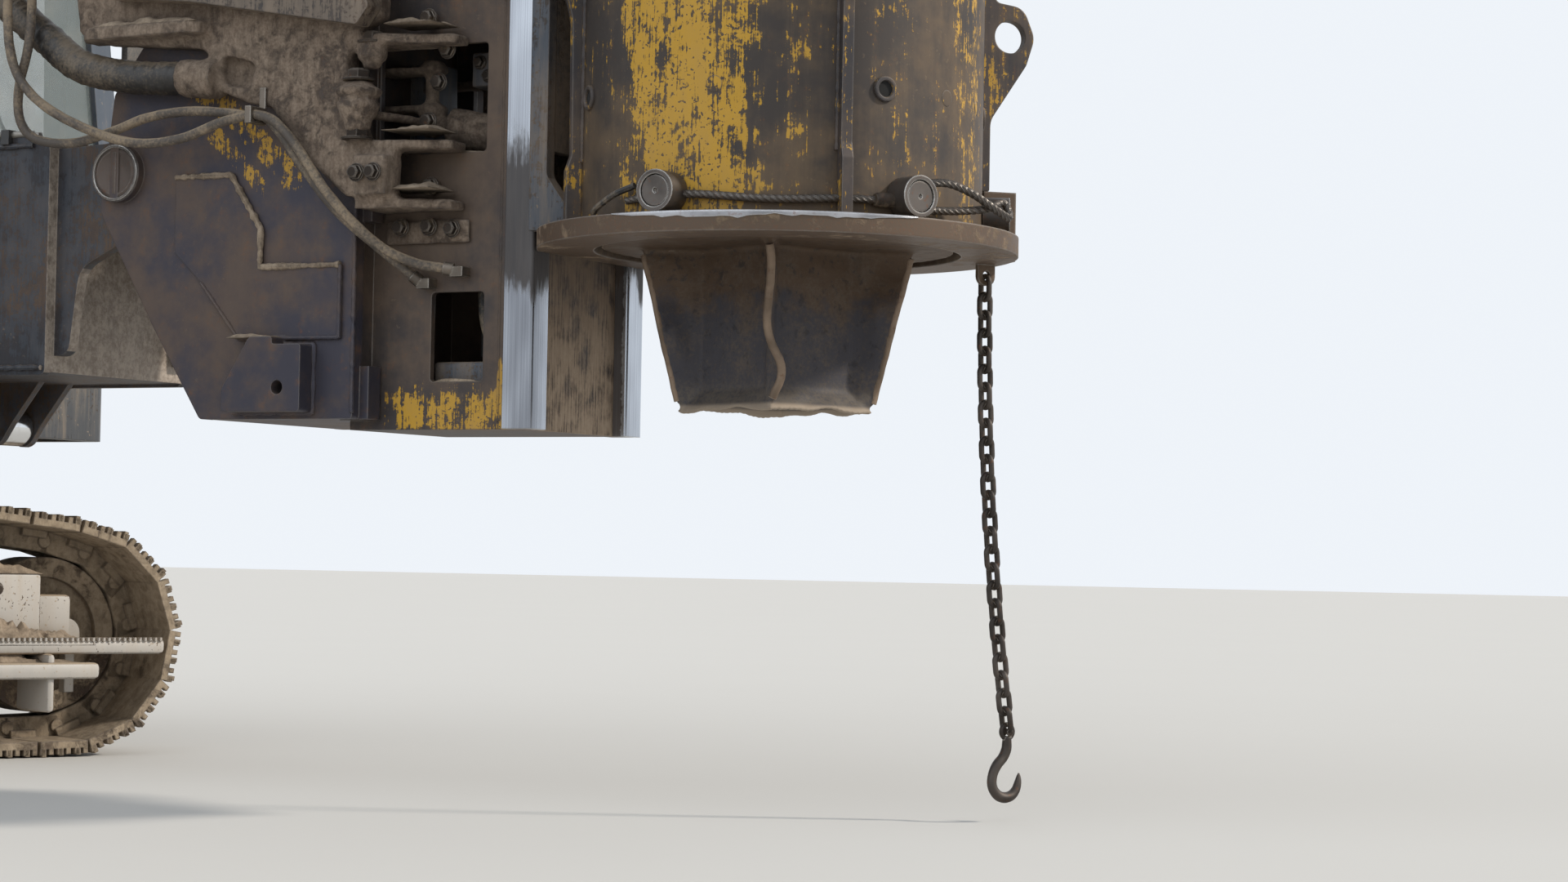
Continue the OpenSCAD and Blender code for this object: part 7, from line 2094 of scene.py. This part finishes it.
@dataclass
class Hammer:
    """Details of the hammer: wire slings, bosses, bolts and the flange's rim.

    Args:
        radius: The sleeve's radius.
        rope_r: The slings' radius.
        level: Height at which the slings lie.
        holes: Turns of the sleeve's open holes, in degrees.
        plugs: Turns of the holes that are closed flush.
        hole_z: The holes' height.
    """

    radius: float = 0.56
    rope_r: float = 0.011
    level: float = 1.662
    holes: tuple[float, ...] = (-128, -33, 33, 128)
    plugs: tuple[float, ...] = (-80, -10, 10, 80)
    hole_z: float = 1.958

    def on_sleeve(self, path: Iterable[Point]) -> list[Vector]:
        """Returns points given by their turn, their distance from the sleeve and their height."""
        return [round_pile(t, self.radius + out, z) for t, out, z in path]

    def sling(self, start: float, end: float) -> list[Vector]:
        """Returns the path of a wire laid round the sleeve between two turns."""
        path = []
        count = max(12, int(abs(end - start) / 2.0))
        for i in range(count + 1):
            t = start + (end - start) * i / count
            sag = 0.006 * math.sin(math.radians(t) * 7.0) + 0.004 * math.sin(math.radians(t) * 3.0)
            path.append((t, self.rope_r + 0.003, self.level + sag))
        return self.on_sleeve(path)

    def build_rim(self) -> None:
        """Makes the rubbed top edge of the flange, bright where slings and piles have passed over it."""
        points, faces = [], []
        section = ((0.64, 1.6195), (0.6615, 1.6195), (0.6645, 1.6165), (0.6645, 1.6005), (0.66, 1.5985),
                   (0.64, 1.612))
        for sign in (-1, 1):
            first, turns = len(points), range(29, 104, 2)
            for t in turns:
                fade = min(1.0, (t - 28) / 16.0, (104 - t) / 16.0)
                fade *= (0.8 + 0.5 * noise.noise(Vector((t * 0.21, sign, 0.5)))
                         + 0.3 * noise.noise(Vector((t * 0.9, sign, 3.5))))
                for k, (r, z) in enumerate(section):
                    points.append(round_pile(sign * t, r,
                                             1.6165 + (z - 1.6165) * fade if k in (3, 4) else z))
            n = len(section)
            for i in range(len(turns) - 1):
                a = first + i * n
                faces += [[a + k, a + (k + 1) % n, a + n + (k + 1) % n, a + n + k] for k in range(n)]
            last = first + (len(turns) - 1) * n
            faces += [[first + k for k in range(n)], [last + k for k in range(n)]]
        piece("flange_rim", points, faces, Skin("hammer", "flange_steel", "rim"))

    def build_slings(self) -> None:
        """Makes the two wires, the eye at the near wire's end and its ferrule."""
        eye = ((-26.0, 0.018, 1.690), (-21.0, 0.03, 1.716), (-15.0, 0.05, 1.722), (-8.0, 0.075, 1.700),
               (-2.0, 0.1, 1.668), (4.0, 0.115, 1.650), (4.0, 0.098, 1.690), (-2.0, 0.08, 1.668),
               (-9.0, 0.05, 1.656), (-17.0, 0.024, 1.650), (-26.0, 0.03, 1.645))
        near, far = self.sling(-30.0, -108.0), self.sling(30.0, 108.0)
        lines = [smooth_path(self.on_sleeve(eye), 5), smooth_path((near[:1] + near)[::3], 4),
                 smooth_path(far[::3], 4)]
        rope("sling_wires", lines, Skin("hammer", "chain_steel", "rope"), self.rope_r, 0.11, 0.004)
        ferrule = ((0.0, 0.0), (0.017, 0.0), (0.019, 0.006), (0.019, 0.05), (0.016, 0.056), (0.0, 0.056))
        a, b = self.on_sleeve((t, 0.019, self.level + 0.003) for t in (-31.0, -36.5))
        lathed("sling_ferrules", [(ferrule, a, b - a)], HAMMER_BOLT, 20)

    def build_holes(self) -> None:
        """Makes the rings of the sleeve's small holes with a black disc in each as painted shade for its
        inside, and the plugs of the closed ones.
        """
        ring = ((0.021, -0.002), (0.034, -0.002), (0.034, 0.006), (0.031, 0.0095), (0.024, 0.0095),
                (0.021, 0.006),
                (0.021, -0.002))
        hole = ((0.0, 0.0), (0.0215, 0.0), (0.0215, 0.0015), (0.0, 0.0015))
        plug = ((0.0, -0.004), (0.0225, -0.004), (0.0225, 0.0005), (0.0, 0.001))
        # The black discs are painted shade where the open holes' insides would be.
        for name, profile, turns, out, finish, sides in (
                ("hole_rings", ring, self.holes, -0.001, "rib", 36),
                ("hole_shade_discs", hole, self.holes, -0.001, "hole", 24),
                ("hole_plugs", plug, self.plugs, 0.0, "sleeve", 24)):
            lathed(name, [(profile, round_pile(t, self.radius + out, self.hole_z),
                           (math.cos(math.radians(t)), math.sin(math.radians(t)), 0.0)) for t in turns],
                   Skin("hammer", "hammer_yellow", finish), sides)

    def build(self) -> None:
        """Makes the hammer's details."""
        self.build_slings()
        self.build_holes()
        self.build_rim()
        foot = self.on_sleeve((t, 0.005, 1.622) for t in range(-112, 113, 3))
        ribs = [self.on_sleeve((t + s * 1.75, 0.002, z) for z in (1.79, 2.2, 2.8, 3.25))
                for t in (-45, 45, -135, 135) for s in (-1, 1)]
        beads("sleeve_welds", [foot, *ribs], Skin("hammer", "hammer_yellow", "rib"), 0.006, 60.0)
        heads = [(round_pile(t, r, z), UP) for r, z in ((0.575, 3.377), (0.44, 5.767))
                 for t in range(-135, 136, 15)]
        heads += [(from_pile(0.331, 0.25 * math.sin(math.radians(t)), z), (1, 0, 0))
                  for t in range(-75, 76, 50)
                  for z in (5.85, 6.02)]
        bolts("hammer_bolts", heads, Skin("hammer", "hammer_yellow", "bolt"), 0.036, 0.022)
        # Short strap behind the left boss
        strap = ((-103.0, 0.016, 1.70), (-109.0, 0.03, 1.68), (-113.0, 0.05, 1.65), (-115.0, 0.052, 1.635))
        tubes("strap", [smooth_path(self.on_sleeve(strap), 5)], Skin("hammer", "chain_steel", "rubber"),
              0.009, 8)
        cap = ((0.0, 0.0), (0.055, 0.0), (0.055, 0.02), (0.045, 0.03), (0.0, 0.03))
        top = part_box("hammer_head")[1].z - 0.032
        lathed("head_caps",
               [(cap, from_pile(a, b, top), UP) for a, b in ((-0.15, 0.19), (-0.15, -0.19), (0.17, 0.19))],
               Skin("hammer", "lamp_plastic", "plastic"), 24)


@dataclass
class Helmet:
    """The driving helmet, whose near gusset and lip are bent by use.

    Args:
        turn: The helmet's turn about the pile, in degrees.
        lip: Height of its mouth.
        high: Height of its neck.
        gussets: Turns of its gussets, in degrees.
        near: Turn of the gusset that is bent the most.
        bulge: How far it is bent.
    """

    turn: float = -20.8
    lip: float = 1.13
    high: float = 1.576
    gussets: tuple[float, ...] = (45.0, 135.0, -45.0, -135.0)
    near: float = -45.0
    bulge: float = 0.032

    def bent(self, p: Vector) -> Vector:
        """Returns how the helmet's surface has moved at a point."""
        x, y = p.x - PILE_X, p.y
        r = math.hypot(x, y)
        around = math.degrees(math.atan2(y, x)) - self.turn
        shift = noise.noise_vector(p * 26.0) * 0.0018
        for gusset in self.gussets:
            off = (around - gusset + 180.0) % 360.0 - 180.0
            if abs(off) < 9.0 and r > 0.235 and p.z < self.high:
                down = (self.high - p.z) / (self.high - self.lip)
                wave = math.sin(down * 7.2
                                + gusset) * 0.009 * min(1.0, down * 3.0) + 0.005 * math.sin(down * 15.0)
                if gusset == self.near:
                    wave = self.bulge * math.exp(-((down - 0.76) / 0.15) ** 2) + 0.006 * math.sin(down * 9.0)
                a = math.radians(around + self.turn + 90.0)
                grip = min(1.0, (r - 0.235) / 0.04)
                shift += Vector((math.cos(a), math.sin(a), 0.0)) * wave * grip
        if p.z < self.lip + 0.05 and r > 0.16:
            drop = (self.lip + 0.05 - p.z) / 0.05
            a = math.radians(around)
            shift.z += drop * (0.004 * math.sin(a * 4.0 + 1.0) + 0.003 * math.sin(a * 9.0))
        return shift

    def build(self) -> None:
        """Makes the helmet and the ridges along its gussets' edges, pale with wear and brightened as a
        painted highlight.
        """
        recast("helmet", "helmet_body", Skin("helmet", "helmet_steel", "helmet"), 0.0068, self.bent)
        edges = []
        for gusset in self.gussets:
            path = [round_pile(self.turn + gusset, 0.268 + 0.098 * k / 24, self.lip + 0.03 + 0.4 * k / 24)
                    for k in range(25)]
            edges.append([p + self.bent(p) for p in path])
        # Pale tubes along the gussets' edges: worn steel and a painted highlight.
        tubes("gusset_edges", edges, Skin("helmet", "helmet_steel", "ridge"), 0.0115, 10)


@dataclass
class SlingChain:
    """Chain of welded links with a forged hook.

    Args:
        links: Number of links.
        pitch: A link's inner length.
        turn: Bearing towards which the chain drifts, in degrees.
        drift: How far its foot has swung out.
        top: Height of the eye that it hangs from.
        seat: How far links and hook are sunk into each other.
        spine: The hook's middle line from its eye: how far out, how high and its radius there.
    """

    links: int = 25
    pitch: float = 0.0505
    turn: float = 62.0
    drift: float = 0.102
    top: float = 1.534
    seat: float = 0.0016
    spine: tuple[Point, ...] = (
        (0.0, -0.014, 0.012), (0.0, -0.03, 0.0135), (-0.002, -0.05, 0.0145), (-0.014, -0.072, 0.0145),
        (-0.034, -0.092, 0.0145), (-0.0475, -0.116, 0.0138), (-0.0515, -0.142, 0.0138),
        (-0.044, -0.163, 0.0142),
        (-0.026, -0.179, 0.015), (-0.003, -0.184, 0.0155), (0.019, -0.178, 0.0145), (0.034, -0.163, 0.0128),
        (0.041, -0.144, 0.0105), (0.0435, -0.128, 0.007), (0.044, -0.116, 0.0022))

    def place(self, out: float, z: float) -> Vector:
        """Returns a point of the chain's plane by its drift and height."""
        a = math.radians(self.turn)
        return round_pile(45.0, 0.612, z) + Vector((math.cos(a), math.sin(a), 0.0)) * out

    def build(self) -> None:
        """Makes the links and the hook."""
        a = math.radians(self.turn)
        out, side = Vector((math.cos(a), math.sin(a), 0.0)), Vector((-math.sin(a), math.cos(a), 0.0))
        reach = self.pitch / 2 - 0.015 * 0.75 + 0.015 * 1.25
        whole = self.pitch * (self.links - 1) + 2 * reach
        places = []
        for i in range(self.links):
            t = (i + 0.5) / self.links
            lean = math.atan(2 * self.drift * t / whole)
            down = (out * math.sin(lean) - Vector(UP) * math.cos(lean)).normalized()
            wide = side if i % 2 == 0 else side.cross(down)
            turn = Matrix((down, wide, down.cross(wide))).transposed()
            places.append((self.place(self.drift * t * t, self.top - self.seat - reach - self.pitch * i),
                           turn))
        steel = Skin("hammer", "chain_steel", "chain")
        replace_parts(grow("links", "chain_links", turned_points(places), steel, True, Length=0.0815,
                         Width=0.0525,
                         Wire=0.0158), "chain")
        o = self.place(self.drift, self.top - whole - 1.5 * self.seat)
        path = smooth_path(self.spine, 5)
        spine = sweep([o + out * p.x + Vector(UP) * p.y for p in path], [p.z for p in path], 16)
        circle = [math.tau * k / 28 for k in range(28)]
        eye = [o + out * 0.0195 * math.cos(t) + Vector(UP) * (0.0195 * math.sin(t) + 0.001) for t in circle]
        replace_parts(piece("sling_hook", *joined((spine, sweep(eye, 0.0072, 12, closed=True))), steel),
                    "hook")
        pin = ((0.0, 0.0), (0.011, 0.0), (0.011, 0.004), (0.0065, 0.005), (0.0065, 0.026), (0.011, 0.027),
               (0.011, 0.031), (0.0, 0.031))
        lathed("chain_pin", [(pin, o - side * 0.0155, side)], HAMMER_BOLT, 16)


@dataclass
class Rigging:
    """Wire ropes from the winches over the head to the hammer.

    Args:
        rope_r: The ropes' radius.
        stroke: How far the hammer rises; not used.
        back: The rear sheave's place in the side plane.
        front: The front sheave's place.
        lug: The hammer's lugs.
        drum_x: The winches' place.
        drum_r: Radius of a coil on its drum.
        turns: Turns of a coil.
        sheave: Radius at which a rope runs on a sheave.
    """

    rope_r: float = 0.009
    stroke: float = 9.0
    back: tuple[float, float] = (3.169, 16.366)
    front: tuple[float, float] = (4.359, 16.446)
    lug: tuple[float, float] = (4.724, 6.368)
    drum_x: float = 2.919
    drum_r: float = 0.215
    turns: int = 16
    sheave: float = 0.243

    def over(self, middle: tuple[float, float], y: float, start: float) -> list[Vector]:
        """Returns a quarter turn over a sheave, from an angle in degrees on."""
        x, z = middle
        return [Vector((x + self.sheave * math.cos(a), y, z + self.sheave * math.sin(a)))
                for a in (math.radians(start - 6 * k) for k in range(16))]

    def reeve(self, side: int, drum_z: float, drum: str) -> None:
        """Makes one winch's rope: its run over the head, the coil on the drum, the fall and its socket."""
        wire = Skin("leader", "chain_steel", "rope")
        y = side * 0.08
        run = [Vector((self.drum_x - self.drum_r, side * 0.05, drum_z)),
               Vector((self.drum_x - 0.19, side * 0.055, drum_z + 2.0))]
        run += self.over(self.back, y, 180) + self.over(self.front, y, 92)
        rope(drum + "_run", [run], wire, self.rope_r, 0.16, 0.05)
        steps = 36 * self.turns
        coil = [Vector((self.drum_x + self.drum_r * math.cos(math.tau * k / 36), -0.15 + 0.3 * k / steps,
                        drum_z + self.drum_r * math.sin(math.tau * k / 36))) for k in range(steps)]
        piece(drum + "_coil", *sweep(coil, self.rope_r, 8), wire._replace(body=drum))
        top = Vector((self.front[0] + self.sheave * math.cos(math.radians(2)), y, self.front[1]))
        foot = Vector((self.lug[0], side * 0.05, self.lug[1] + 0.12))
        fall = rope(drum + "_fall", [[foot, top]], wire, self.rope_r, 0.16, 0.05)
        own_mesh(fall)
        socket = ((0.0, 0.0), (0.02, 0.0), (0.026, 0.02), (0.026, 0.05), (0.014, 0.13), (0.0, 0.132))
        lathed(drum + "_socket", [(socket, (self.lug[0], side * 0.05, self.lug[1] + 0.03), UP)], HAMMER_BOLT,
               20)

    def build(self) -> None:
        """Makes both ropes and the pins of the lugs and sheaves."""
        self.reeve(1, 3.5, "winch_drum_low")
        self.reeve(-1, 4.62, "winch_drum_high")
        pin = ((0.0, 0.0), (0.055, 0.0), (0.055, 0.012), (0.04, 0.014), (0.04, 0.186), (0.055, 0.188),
               (0.055, 0.2),
               (0.0, 0.2))
        lathed("head_pin", [(pin, (self.lug[0], -0.1, self.lug[1]), (0, 1, 0))],
               Skin("hammer", "rail_steel", "pin"))
        pin = ((0.0, 0.0), (0.05, 0.0), (0.05, 0.01), (0.0, 0.014))
        lathed("sheave_pins", [(pin, (x, side * 0.214, z), (0, side, 0)) for x, z in (self.back, self.front)
                               for side in (-1, 1)], Skin("leader", "rail_steel", "pin"), 24)


def main() -> None:
    """Builds the scene."""
    logging.basicConfig(level=logging.INFO, format="%(message)s")
    noise.seed_set(NOISE_SEED)
    Camera().build()
    for part in (Hoses(), Studio(), Dresser(), Crawler(), House(), Cab(), Boom(), Foot(), Mast(), Hammer(),
                 Helmet(),
                 SlingChain(), Rigging()):
        part.build()
        log.info("%s built", type(part).__name__)
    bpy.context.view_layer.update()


if __name__ == "__main__":
    main()
